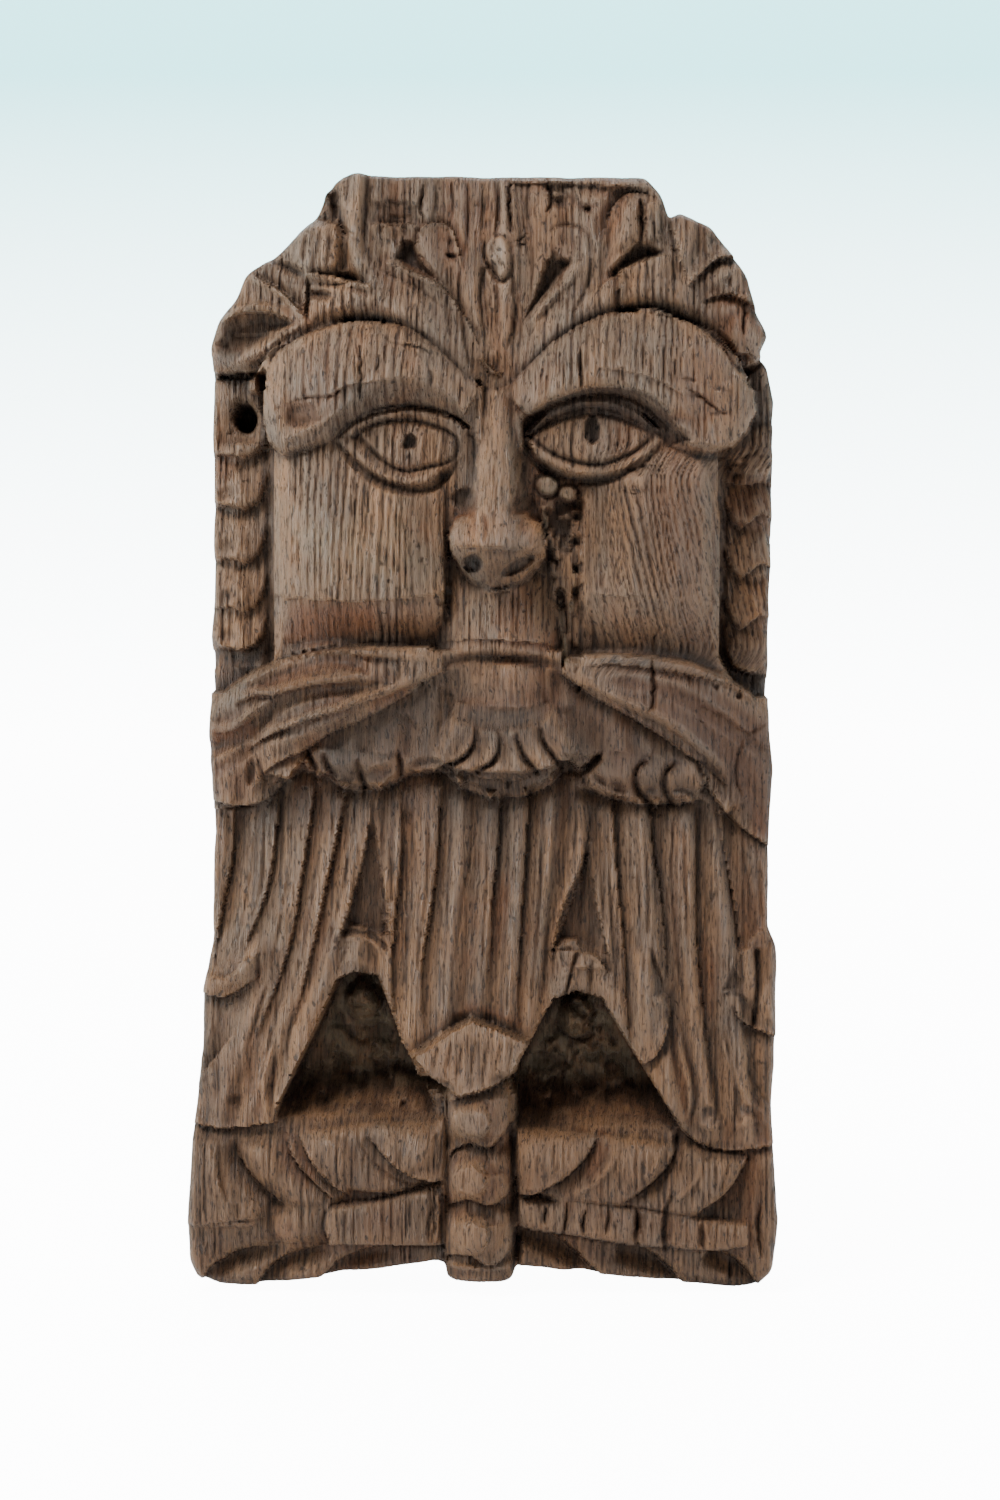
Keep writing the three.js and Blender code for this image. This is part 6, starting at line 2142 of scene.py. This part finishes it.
    def _nearest(self, x: np.ndarray, y: np.ndarray) -> np.ndarray:
        """The number of the outline's point that lies nearest to each place."""
        apart = (x[:, None] - self.outline[None, :, 0]) ** 2 + (y[:, None] - self.outline[None, :, 1]) ** 2
        return np.argmin(apart, axis=1)

    def _recess(self) -> tuple[np.ndarray, np.ndarray, np.ndarray]:
        """How far the board lies inside each point of the outline, the way inwards, and the smoothed line."""

        def even(values: np.ndarray, reach: int) -> np.ndarray:
            """A running mean round the outline."""
            padded = np.concatenate([values[-reach:], values, values[:reach]])
            return np.convolve(padded, np.ones(2 * reach + 1) / (2 * reach + 1), "valid")

        line = self.outline
        smooth = np.stack([even(even(line[:, i], 9), 9) for i in (0, 1)], 1)
        along = np.roll(smooth, -2, 0) - np.roll(smooth, 2, 0)
        inward = np.stack([-along[:, 1], along[:, 0]], 1) / np.linalg.norm(along, axis=1)[:, None]
        if np.sum(inward * line) > 0:
            inward = -inward
        bulge = -np.sum((line - smooth) * inward, 1)
        lowest = np.min([np.roll(bulge, i) for i in range(-14, 15)], 0)
        return np.clip(bulge - even(lowest, 9), 0, 3.0), inward, smooth

    def _close_back(self) -> None:
        """Closes the back in rings towards its middle, in shallow scoops, and turns every face outwards."""
        mesh = bpy.context.object.data
        bpy.ops.object.mode_set(mode="OBJECT")
        edge = self._places(mesh)[self._chosen(mesh)] / MM
        inner = edge.copy()
        inner[:, 0], inner[:, 2] = self._inner_line()
        rings = [edge + (inner - edge) * share for share in (0.35, 0.7, 1.0)]
        rings += [inner * (1 - share) for share in np.linspace(0, 0.96, self.back_rings)[1:]]
        for i, place in enumerate(rings):
            bpy.ops.object.mode_set(mode="EDIT")
            bpy.ops.mesh.extrude_region_move(TRANSFORM_OT_translate={"value": (0, 0, 0)})
            bpy.ops.object.mode_set(mode="OBJECT")
            places = self._places(mesh)
            place[:, 1] = self._scoops(place[:, 0], place[:, 2]) * min(1.0, (i + 1) / 3)
            places[self._chosen(mesh)] = place * MM
            mesh.vertices.foreach_set("co", places.ravel())
        bpy.ops.object.mode_set(mode="EDIT")
        bpy.ops.mesh.edge_face_add()
        bpy.ops.mesh.quads_convert_to_tris()
        bpy.ops.mesh.select_all(action="SELECT")
        bpy.ops.mesh.normals_make_consistent(inside=False)
        bpy.ops.mesh.select_all(action="DESELECT")
        bpy.ops.object.mode_set(mode="OBJECT")

    def _stop(self, x: np.ndarray, y: np.ndarray) -> np.ndarray:
        """How far along the outline each place lies, counted in the outline's points."""
        nearest, line = self._nearest(x, y), self.outline
        along = (np.roll(line, -1, 0) - np.roll(line, 1, 0))[nearest] / 2
        apart = np.stack([x, y], 1) - line[nearest]
        return nearest + np.clip(np.sum(apart * along, 1) / np.sum(along * along, 1), -0.5, 0.5)

    def _inner_line(self) -> np.ndarray:
        """A smooth line inside the back's edge, with a place for each vertex there.

        Returns:
            The places across and up.
        """
        _, inward, smooth = self._recess()
        line = smooth + self.back_inset * inward
        turn = np.unwrap(np.arctan2(line[:, 1], line[:, 0]))
        way = 1.0 if turn[-1] > turn[0] else -1.0
        turn = np.sort(turn * way)
        turn = np.minimum(turn, turn[0] + math.tau)
        turn = np.concatenate([turn[-6:] - math.tau, turn, turn[:6] + math.tau])
        turn = np.convolve(turn, np.ones(13) / 13, "valid")
        reach = np.hypot(line[:, 0], line[:, 1])
        stops, points = self.stops % len(line), np.arange(len(line) + 1)
        turn = way * np.interp(stops, points, np.append(turn, turn[0] + math.tau))
        return np.interp(stops, points, np.append(reach, reach[0])) * np.stack([np.cos(turn), np.sin(turn)])

    def _scoops(self, x: np.ndarray, y: np.ndarray) -> np.ndarray:
        """How far below the flat the adze has gone at each place of the back: rows of shallow scoops."""
        v = (y + 0.12 * x + 2.6 * Noise(62, 24.0, 30.0, 2).at(x, y)) / self.scoop[1]
        row = np.floor(v)
        u = (x + 5.0 * Noise(63, 30.0, 20.0, 2).at(x, y)) / self.scoop[0] + 0.37 * row
        deep = 0.6 + 0.4 * np.sin(row * 12.9 + np.floor(u) * 78.2)
        hollow = (1 - (2 * (v - row) - 1) ** 2) * (1 - (2 * (u - np.floor(u)) - 1) ** 4)
        return -self.scoop[2] * deep * hollow - 0.12 * (1 + Noise(64, 1.6, 26.0, 2).at(x, y))

    @staticmethod
    def _put_in_order(mesh: bpy.types.Mesh) -> None:
        """Sorts the faces, because extruding leaves them in another order on each run."""
        places = [vertex.co.copy() for vertex in mesh.vertices]
        faces = [tuple(face.vertices) for face in mesh.polygons]
        firsts = [face.index(min(face)) for face in faces]
        faces = sorted(face[first:] + face[:first] for face, first in zip(faces, firsts))
        mesh.clear_geometry()
        mesh.from_pydata(places, [], faces)

    def _thin(self, piece: bpy.types.Object) -> None:
        """Thins the mesh where it is flat, down to the limit."""
        triangles = sum(len(face.vertices) - 2 for face in piece.data.polygons)
        if triangles > self.triangle_limit:
            thin = piece.modifiers.new("thin", "DECIMATE")
            thin.ratio = self.triangle_limit / triangles
            bpy.ops.object.modifier_apply(modifier=thin.name)

    def _settle(self, piece: bpy.types.Object) -> None:
        """Stores the marks of the carving on the mesh."""
        mesh = piece.data
        places = self._places(mesh) / MM
        x, depth, y = places[:, 0], -places[:, 1], places[:, 2]
        relief = self.relief
        front = 1 - smooth_step((self._sample(relief.depth, x, y) - depth - 3.5) / 3.0)
        marks = {
            "front": front,
            "rings": Grain().phase(x, y, depth),
            "ring": self._sample(relief.ring, x, y),
            # dirt and painted shade
            "soot": self._sample(relief.soot, x, y) * front + np.where(depth < 2.4, 0.16 * depth, 0.0),
            # how proud or deep each place lies; the finish paints shade into the deep places and a highlight,
            # with rubbed wear, onto the proud ones
            "worn": self._sample(self._worn(), x, y) * front,
            "red": self._sample(relief.red, x, y) * front,
            # grit, and a painted highlight on the left cheek
            "dust": self._sample(relief.dust, x, y) * front,
        }
        for name, values in marks.items():
            attribute = mesh.attributes.new(name, "FLOAT", "POINT")
            attribute.data.foreach_set("value", values.astype(np.float32))
        bpy.ops.object.shade_smooth_by_angle(angle=math.radians(self.smooth_below))

    def _worn(self) -> np.ndarray:
        """How far each place stands proud of what is round it, from -1, deep, to 1, proud."""
        depth = self.relief.depth
        fine = (depth - soften(depth, 3)) / 0.9
        broad = (depth - soften(depth, 12)) / 4.5
        return np.clip(0.5 * fine + 0.6 * broad, -1, 1)


class NodeKit:
    """A small helper that places nodes and joins them up."""

    def __init__(self, tree: bpy.types.NodeTree) -> None:
        """Takes the node tree to build in."""
        self.tree = tree

    def add(self, kind: str, **settings: object) -> bpy.types.Node:
        """Places a node with the given settings."""
        node = self.tree.nodes.new(kind)
        for name, value in settings.items():
            setattr(node, name, value)
        return node

    def feed(self, target: bpy.types.NodeSocket, source: object) -> None:
        """Joins a socket to a target, or sets the target to a number or a colour."""
        if isinstance(source, bpy.types.NodeSocket):
            self.tree.links.new(source, target)
        else:
            target.default_value = source

    def maths(self, operation: str, a: object, b: object = 0.0, clamp: bool = False) -> bpy.types.NodeSocket:
        """A sum of two values."""
        node = self.add("ShaderNodeMath", operation=operation, use_clamp=clamp)
        self.feed(node.inputs[0], a)
        self.feed(node.inputs[1], b)
        return node.outputs[0]

    def blend(self, share: object, a: object, b: object, mode: str = "MIX") -> bpy.types.NodeSocket:
        """A colour between two, or one laid over the other."""
        node = self.add("ShaderNodeMix", data_type="RGBA", blend_type=mode)
        self.feed(node.inputs[0], share)
        self.feed(node.inputs[6], a)
        self.feed(node.inputs[7], b)
        return node.outputs[2]

    def spread(
        self, value: object, low: float, high: float, to_low: float = 0.0, to_high: float = 1.0
    ) -> bpy.types.NodeSocket:
        """A value moved from one range to another, and held there."""
        node = self.add("ShaderNodeMapRange", clamp=True)
        self.feed(node.inputs["Value"], value)
        for name, number in (("From Min", low), ("From Max", high), ("To Min", to_low), ("To Max", to_high)):
            node.inputs[name].default_value = number
        return node.outputs["Result"]

    def noise(
        self, vector: object, scale: float, detail: float = 3.0, rough: float = 0.55
    ) -> bpy.types.NodeSocket:
        """Noise at a place."""
        node = self.add("ShaderNodeTexNoise")
        self.feed(node.inputs["Vector"], vector)
        node.inputs["Scale"].default_value = scale
        node.inputs["Detail"].default_value = detail
        node.inputs["Roughness"].default_value = rough
        return node.outputs["Fac"]

    def between(self, share: object, a: object, b: object) -> bpy.types.NodeSocket:
        """A value between two."""
        node = self.add("ShaderNodeMix", data_type="FLOAT")
        self.feed(node.inputs[0], share)
        self.feed(node.inputs[2], a)
        self.feed(node.inputs[3], b)
        return node.outputs[0]

    def mark(self, name: str) -> bpy.types.NodeSocket:
        """A mark stored on the piece."""
        return self.add("ShaderNodeAttribute", attribute_name=name).outputs["Fac"]

    def stretch(self, vector: object, scale: tuple[float, float, float]) -> bpy.types.NodeSocket:
        """A place scaled along its axes."""
        node = self.add("ShaderNodeVectorMath", operation="MULTIPLY")
        self.feed(node.inputs[0], vector)
        node.inputs[1].default_value = scale
        return node.outputs[0]


GroupStart = tuple[bpy.types.NodeTree, NodeKit, dict[str, bpy.types.NodeSocket], bpy.types.Node]


def node_group(name: str, inputs: dict[str, float], outputs: dict[str, str]) -> GroupStart:
    """Starts a shader node group.

    Args:
        name: the group's name.
        inputs: its inputs and their usual values; a name ending in Place is a vector, and any other is a
            number.
        outputs: its outputs and their kinds.

    Returns:
        The group, a kit that builds in it, its inputs by name, and its output node.
    """
    group = bpy.data.node_groups.new(name, "ShaderNodeTree")
    for label, value in inputs.items():
        kind = "NodeSocketVector" if label.endswith("Place") else "NodeSocketFloat"
        socket = group.interface.new_socket(label, in_out="INPUT", socket_type=kind)
        if kind == "NodeSocketFloat":
            socket.default_value = value
    for label, kind in outputs.items():
        group.interface.new_socket(label, in_out="OUTPUT", socket_type=kind)
    kit = NodeKit(group)
    start = kit.add("NodeGroupInput")
    end = kit.add("NodeGroupOutput")
    return group, kit, {socket.name: socket for socket in start.outputs if socket.name}, end


class OakGroups:
    """The node groups that the oak's finishes share."""

    def __init__(self) -> None:
        """Builds the groups once."""
        self.figure = self._figure()
        self.board = self._board()
        self.grime_and_shade = self._grime_and_shade()

    @staticmethod
    def _figure() -> bpy.types.NodeTree:
        """Rings, fibres and pores of oak that run up the panel."""
        group, kit, given, end = node_group(
            "oak_figure",
            {"Place": 0.0, "Rings": 0.0, "Ring": 0.5, "Pores": 1.0},
            {"Tone": "NodeSocketFloat", "Pore": "NodeSocketFloat", "Height": "NodeSocketFloat"},
        )
        split = kit.add("ShaderNodeSeparateXYZ")
        kit.feed(split.inputs[0], given["Place"])

        def along(across: float, up: float, out: float) -> bpy.types.NodeSocket:
            """A place scaled across the rings, up the panel and out of it."""
            node = kit.add("ShaderNodeCombineXYZ")
            kit.feed(node.inputs[0], kit.maths("MULTIPLY", given["Rings"], across))
            kit.feed(node.inputs[1], kit.maths("MULTIPLY", split.outputs[2], up))
            kit.feed(node.inputs[2], kit.maths("MULTIPLY", split.outputs[1], out))
            return node.outputs[0]

        bands = kit.spread(kit.noise(along(0.55, 16.0, 30.0), 1.0, 3.0, 0.6), 0.34, 0.66)
        fibres = kit.spread(kit.noise(along(2.4, 90.0, 220.0), 1.0, 4.0, 0.7), 0.3, 0.7)
        pore = kit.spread(kit.noise(along(3.2, 330.0, 500.0), 1.0, 2.0, 0.6), 0.57, 0.66)
        blot = kit.spread(kit.noise(along(1.1, 420.0, 600.0), 1.0, 1.0, 0.5), 0.66, 0.74)
        pore = kit.maths("MULTIPLY", kit.maths("MAXIMUM", pore, blot), given["Pores"], True)
        tone = kit.maths("MULTIPLY", given["Ring"], 0.62)
        tone = kit.maths("ADD", tone, kit.maths("MULTIPLY", bands, 0.18))
        tone = kit.maths("ADD", tone, kit.maths("MULTIPLY", fibres, 0.26))
        height = kit.maths("ADD", kit.maths("MULTIPLY", fibres, 0.8), bands)
        height = kit.maths("SUBTRACT", height, kit.maths("MULTIPLY", pore, 0.9))
        for label, value in (("Tone", tone), ("Pore", pore), ("Height", height)):
            kit.feed(end.inputs[label], value)
        return group

    @staticmethod
    def _board() -> bpy.types.NodeTree:
        """The rings of the plain board, on its sides and back, and the saw's marks across it."""
        group, kit, given, end = node_group(
            "oak_board",
            {"Place": 0.0},
            {"Rings": "NodeSocketFloat", "Ring": "NodeSocketFloat", "Saw": "NodeSocketFloat"},
        )
        split = kit.add("ShaderNodeSeparateXYZ")
        kit.feed(split.inputs[0], given["Place"])
        drift = kit.noise(kit.stretch(given["Place"], (22.0, 22.0, 5.0)), 1.0, 3.0, 0.5)
        rings = kit.maths("ADD", split.outputs[0], kit.maths("MULTIPLY", split.outputs[1], 0.45))
        rings = kit.maths("MULTIPLY", rings, 1 / MM)
        rings = kit.maths("ADD", rings, kit.maths("MULTIPLY", drift, 16.0))
        thin = kit.add("ShaderNodeCombineXYZ")
        kit.feed(thin.inputs[0], rings)
        ring = kit.spread(kit.noise(thin.outputs[0], 0.5, 2.0, 0.6), 0.3, 0.6, 0.35, 1.0)
        arc = kit.maths("MULTIPLY", kit.maths("POWER", kit.maths("ADD", split.outputs[0], 0.4), 2.0), 0.35)
        stroke = kit.maths("MULTIPLY", kit.maths("ADD", split.outputs[2], arc), 2500.0)
        patch = kit.spread(kit.noise(given["Place"], 40.0, 3.0, 0.6), 0.4, 0.7)
        saw = kit.maths("MULTIPLY", kit.maths("SINE", stroke), patch)
        for label, value in (("Rings", rings), ("Ring", ring), ("Saw", saw)):
            kit.feed(end.inputs[label], value)
        return group

    @staticmethod
    def _grime_and_shade() -> bpy.types.NodeTree:
        """Where dark wax and dirt gather, with painted shade in the deep places, and where hands have rubbed,
        with a painted highlight on what stands proud.
        """
        group, kit, given, end = node_group(
            "grime_shade_rub_and_highlight",
            {"Place": 0.0, "Worn": 0.0, "Soot": 0.0, "Break Up": 0.5},
            {"Dark": "NodeSocketFloat", "Rub And Highlight": "NodeSocketFloat"},
        )
        cloud = kit.noise(kit.stretch(given["Place"], (60.0, 60.0, 30.0)), 1.0, 5.0, 0.6)
        loose = kit.maths("MULTIPLY", kit.maths("SUBTRACT", cloud, 0.5), given["Break Up"])
        worn = kit.maths("ADD", given["Worn"], loose)
        # painted shade: darker the deeper a place lies below what is round it
        deep = kit.spread(worn, -0.25, -1.05, 0.0, 0.7)
        dark = kit.maths("MAXIMUM", deep, given["Soot"])
        # rubbed wear and a painted highlight where a place stands proud
        rub = kit.spread(worn, 0.08, 0.62)
        kit.feed(end.inputs["Dark"], dark)
        kit.feed(end.inputs["Rub And Highlight"], rub)
        return group


@dataclass(frozen=True)
class OakFinish:
    """Old dark oak, waxed and rubbed, with painted shade and painted highlights: colours are linear red,
    green and blue.
    """

    name: str = "old_dark_oak"
    body: tuple[float, float, float] = (0.092, 0.048, 0.025)
    groove: tuple[float, float, float] = (0.024, 0.013, 0.008)
    tan: tuple[float, float, float] = (0.372, 0.196, 0.096)
    ash: tuple[float, float, float] = (0.252, 0.174, 0.118)
    russet: tuple[float, float, float] = (0.195, 0.066, 0.021)
    # black: the darkest dirt and painted shade
    black: tuple[float, float, float] = (0.010, 0.007, 0.005)
    # pale grit colour, also used for the painted highlight on the left cheek
    dust: tuple[float, float, float] = (0.300, 0.232, 0.150)
    stale: tuple[float, float, float] = (0.060, 0.038, 0.023)
    foot_shade: float = 0.2
    roughness: float = 0.42

    def build(self, groups: OakGroups) -> bpy.types.Material:
        """Makes the material.

        Args:
            groups: the shared node groups.

        Returns:
            The material.
        """
        material = bpy.data.materials.new(self.name)
        material.use_nodes = True
        tree = material.node_tree
        tree.nodes.clear()
        kit = NodeKit(tree)
        place = kit.add("ShaderNodeTexCoord").outputs["Object"]
        figure = kit.add("ShaderNodeGroup", node_tree=groups.figure)
        board = kit.add("ShaderNodeGroup", node_tree=groups.board)
        front = kit.mark("front")
        kit.feed(board.inputs["Place"], place)
        kit.feed(figure.inputs["Place"], place)
        for name, mark in (("Rings", kit.mark("rings")), ("Ring", kit.mark("ring"))):
            kit.feed(figure.inputs[name], kit.between(front, board.outputs[name], mark))
        grime_and_shade = kit.add("ShaderNodeGroup", node_tree=groups.grime_and_shade)
        kit.feed(grime_and_shade.inputs["Place"], place)
        # how proud each place stands drives the painted highlight and the painted shade, and the pale marks
        # count as proud
        kit.feed(grime_and_shade.inputs["Worn"], kit.maths("ADD", kit.mark("worn"), kit.mark("dust")))
        kit.feed(grime_and_shade.inputs["Soot"], kit.mark("soot"))
        tone = figure.outputs["Tone"]
        split = kit.add("ShaderNodeSeparateXYZ")
        kit.feed(split.inputs[0], place)
        patch = kit.noise(kit.stretch(place, (110.0, 110.0, 40.0)), 1.0, 3.0, 0.6)
        patch = kit.maths("SUBTRACT", patch, kit.maths("MULTIPLY", split.outputs[2], 0.8))
        patch = kit.spread(patch, 0.32, 0.64)
        crest = kit.blend(patch, (*self.ash, 1), (*self.tan, 1))
        colour = kit.blend(kit.spread(tone, 0.2, 0.56), (*self.groove, 1), (*self.body, 1))
        colour = kit.blend(kit.spread(tone, 0.56, 0.98), colour, crest)
        tint = kit.noise(kit.stretch(place, (60.0, 60.0, 30.0)), 1.0, 4.0, 0.6)
        redness = kit.maths("MAXIMUM", kit.mark("red"), kit.spread(tint, 0.50, 0.70, 0.0, 0.7))
        warm = kit.blend(kit.spread(tone, 0.1, 0.8, 0.25, 1.0), (*self.groove, 1), (*self.russet, 1))
        colour = kit.blend(kit.maths("MULTIPLY", redness, 0.8), colour, warm)
        # painted highlight with rubbed wear: proud places take the crest colour
        colour = kit.blend(kit.maths("MULTIPLY", grime_and_shade.outputs["Rub And Highlight"], 0.6), colour, crest)
        colour = kit.blend(kit.maths("MULTIPLY", figure.outputs["Pore"], 0.75), colour, (*self.groove, 1))
        # pale grit in the hollows, and a painted highlight where the left cheek is marked
        loose = kit.noise(kit.stretch(place, (160.0, 160.0, 160.0)), 1.0, 4.0, 0.6)
        dust = kit.maths("MULTIPLY", kit.mark("dust"), kit.spread(loose, 0.36, 0.62))
        colour = kit.blend(kit.maths("MULTIPLY", dust, 0.8), colour, (*self.dust, 1))
        # dirt and painted shade darken the deep places, creases and drops towards black
        colour = kit.blend(kit.maths("MULTIPLY", grime_and_shade.outputs["Dark"], 0.85), colour, (*self.black, 1))
        shade = kit.spread(split.outputs[2], 0.06, -0.03, 0.0, self.foot_shade)
        colour = kit.blend(shade, colour, (*self.groove, 1))
        off_front = kit.maths("SUBTRACT", 1.0, front)
        stale = kit.maths("MULTIPLY", off_front, kit.spread(loose, 0.3, 0.7, 0.3, 0.7))
        colour = kit.blend(stale, colour, (*self.stale, 1))
        shader = kit.add("ShaderNodeBsdfPrincipled")
        kit.feed(shader.inputs["Base Color"], colour)
        gloss = kit.maths("ADD", self.roughness, kit.maths("MULTIPLY", grime_and_shade.outputs["Dark"], 0.25))
        gloss = kit.maths("ADD", gloss, kit.maths("MULTIPLY", figure.outputs["Pore"], 0.12))
        gloss = kit.maths("SUBTRACT", gloss, kit.maths("MULTIPLY", grime_and_shade.outputs["Rub And Highlight"], 0.10), True)
        kit.feed(shader.inputs["Roughness"], gloss)
        shader.inputs["Specular IOR Level"].default_value = 0.5
        bump = kit.add("ShaderNodeBump")
        bump.inputs["Distance"].default_value = 0.0007
        bump.inputs["Strength"].default_value = 0.8
        saw = kit.maths("MULTIPLY", off_front, board.outputs["Saw"])
        height = kit.maths("ADD", figure.outputs["Height"], kit.maths("MULTIPLY", saw, 0.5))
        kit.feed(bump.inputs["Height"], height)
        kit.feed(shader.inputs["Normal"], bump.outputs["Normal"])
        output = kit.add("ShaderNodeOutputMaterial")
        kit.feed(output.inputs["Surface"], shader.outputs["BSDF"])
        return material


@dataclass
class Studio:
    """A pale sweep under and behind the mask, soft light and the camera."""

    floor: float = -0.1506
    sweep_back: float = 1.7
    reach: float = 9.0
    sweep_radius: float = 0.7
    wall_top: float = 2.4
    half_width: float = 7.0
    distance: float = 1.05
    view_height: float = 0.4023
    look_at: tuple[float, float, float] = (0.0046, -0.04, -0.0046)
    raised: float = 3.0
    pale: tuple[float, float, float] = (0.98, 0.985, 0.99)
    aqua: tuple[float, float, float] = (0.155, 0.40, 0.42)

    def build(self) -> None:
        """Makes the sweep, the lights and the camera."""
        self._sweep()
        self._lights()
        self._camera()

    def _sweep(self) -> None:
        """A floor that curves up into a wall."""
        bpy.ops.object.select_all(action="DESELECT")
        bpy.ops.mesh.primitive_plane_add(size=1.0)
        sweep = bpy.context.object
        sweep.name = "sweep"
        for vertex in sweep.data.vertices:
            front = vertex.co.y < 0
            back = -self.reach if front else self.sweep_back
            vertex.co = (math.copysign(self.half_width, vertex.co.x), back, self.floor)
        bpy.ops.object.mode_set(mode="EDIT")
        bpy.ops.mesh.select_mode(type="EDGE")
        bpy.ops.mesh.select_all(action="DESELECT")
        bpy.ops.object.mode_set(mode="OBJECT")
        for edge in sweep.data.edges:
            edge.select = all(sweep.data.vertices[i].co.y > 0 for i in edge.vertices)
        bpy.ops.object.mode_set(mode="EDIT")
        steps = 20
        last = (self.sweep_back, self.floor)
        stops = [
            (
                self.sweep_back + self.sweep_radius * math.sin(math.pi / 2 * i / steps),
                self.floor + self.sweep_radius * (1 - math.cos(math.pi / 2 * i / steps)),
            )
            for i in range(1, steps + 1)
        ]
        for back, up in [*stops, (stops[-1][0], self.wall_top)]:
            move = (0, back - last[0], up - last[1])
            bpy.ops.mesh.extrude_region_move(TRANSFORM_OT_translate={"value": move})
            last = (back, up)
        bpy.ops.object.mode_set(mode="OBJECT")
        bpy.ops.object.shade_smooth()
        material = bpy.data.materials.new("studio_sweep")
        material.use_nodes = True
        kit = NodeKit(material.node_tree)
        shader = material.node_tree.nodes["Principled BSDF"]
        split = kit.add("ShaderNodeSeparateXYZ")
        kit.feed(split.inputs[0], kit.add("ShaderNodeTexCoord").outputs["Object"])
        rise = kit.spread(split.outputs[2], self.floor + 0.05, self.floor + 0.62)
        colour = kit.blend(rise, (*self.pale, 1), (*self.aqua, 1))
        kit.feed(shader.inputs["Base Color"], colour)
        kit.feed(shader.inputs["Emission Color"], colour)
        seen = kit.add("ShaderNodeLightPath").outputs["Is Camera Ray"]
        glow = kit.spread(split.outputs[2], self.floor + 0.05, self.floor + 0.6, 12.0, 8.0)
        glow = kit.maths("ADD", kit.maths("MULTIPLY", seen, glow), 0.12)
        kit.feed(shader.inputs["Emission Strength"], glow)
        shader.inputs["Roughness"].default_value = 0.9
        sweep.data.materials.append(material)

    def _lights(self) -> None:
        """Soft boxes above, to both sides and in front."""
        for name, place, size, power, colour in (
            ("top_box", (-0.55, -0.75, 1.25), 0.55, 28.5, (1.0, 0.98, 0.95)),
            ("left_box", (-1.30, -0.25, 0.20), 0.7, 16.0, (0.78, 0.93, 1.0)),
            ("right_box", (1.35, -0.15, 0.15), 0.8, 8.0, (0.74, 0.92, 1.0)),
            ("back_box", (0.0, 1.1, 1.6), 1.4, 26.0, (1.0, 1.0, 1.0)),
        ):
            data = bpy.data.lights.new(name, "AREA")
            data.energy = power
            data.color = colour
            data.size = size
            lamp = bpy.data.objects.new(name, data)
            lamp.location = place
            lamp.rotation_euler = (Vector((0, 0, 0)) - Vector(place)).to_track_quat("-Z", "Y").to_euler()
            bpy.context.scene.collection.objects.link(lamp)
        world = bpy.data.worlds.new("studio_air")
        world.use_nodes = True
        world.node_tree.nodes["Background"].inputs[0].default_value = (0.94, 0.97, 1.0, 1)
        kit = NodeKit(world.node_tree)
        seen = kit.add("ShaderNodeLightPath").outputs["Is Camera Ray"]
        light = kit.maths("ADD", kit.maths("MULTIPLY", seen, 7.0), 0.25)
        kit.feed(world.node_tree.nodes["Background"].inputs[1], light)
        bpy.context.scene.world = world

    def _camera(self) -> None:
        """A long lens, level and a little above, shifted down so that upright lines stay upright."""
        data = bpy.data.cameras.new("camera")
        data.sensor_fit = "VERTICAL"
        data.sensor_height = 36.0
        data.lens = data.sensor_height * self.distance / self.view_height
        data.clip_end = 20.0
        camera = bpy.data.objects.new("camera", data)
        rise = self.distance * math.tan(math.radians(self.raised))
        data.shift_y = -rise / self.view_height
        camera.location = Vector(self.look_at) + Vector((0.0, -self.distance, rise))
        camera.rotation_euler = (math.pi / 2, 0.0, 0.0)
        bpy.context.scene.collection.objects.link(camera)
        bpy.context.scene.camera = camera


def carve(tree: BVHTree) -> Relief:
    """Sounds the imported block's front and carves it finer.

    Args:
        tree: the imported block.

    Returns:
        The carved front.
    """
    relief = Relief()
    relief.sound(tree)
    relief.wear_facets(3, 3.0, 3)
    FineCarving(relief).carve()
    Grain().raise_on(relief)
    return relief


def main() -> None:
    """Builds the scene."""
    logging.basicConfig(level=logging.INFO, format="%(message)s")
    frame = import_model()
    node = frame["nodes"][BLOCK_NODE]
    node.data.calc_loop_triangles()
    corners = [tuple(face.vertices) for face in node.data.loop_triangles]
    relief = carve(BVHTree.FromPolygons([vertex.co for vertex in node.data.vertices], corners))
    LOG.info("front carved: %d points", relief.depth.size)
    piece = Block(node, relief).build()
    piece.data.materials.append(OakFinish().build(OakGroups()))
    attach(piece, "root")
    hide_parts(BLOCK_NODE)
    LOG.info("oak block: %d faces", len(piece.data.polygons))
    Studio().build()


if __name__ == "__main__":
    main()
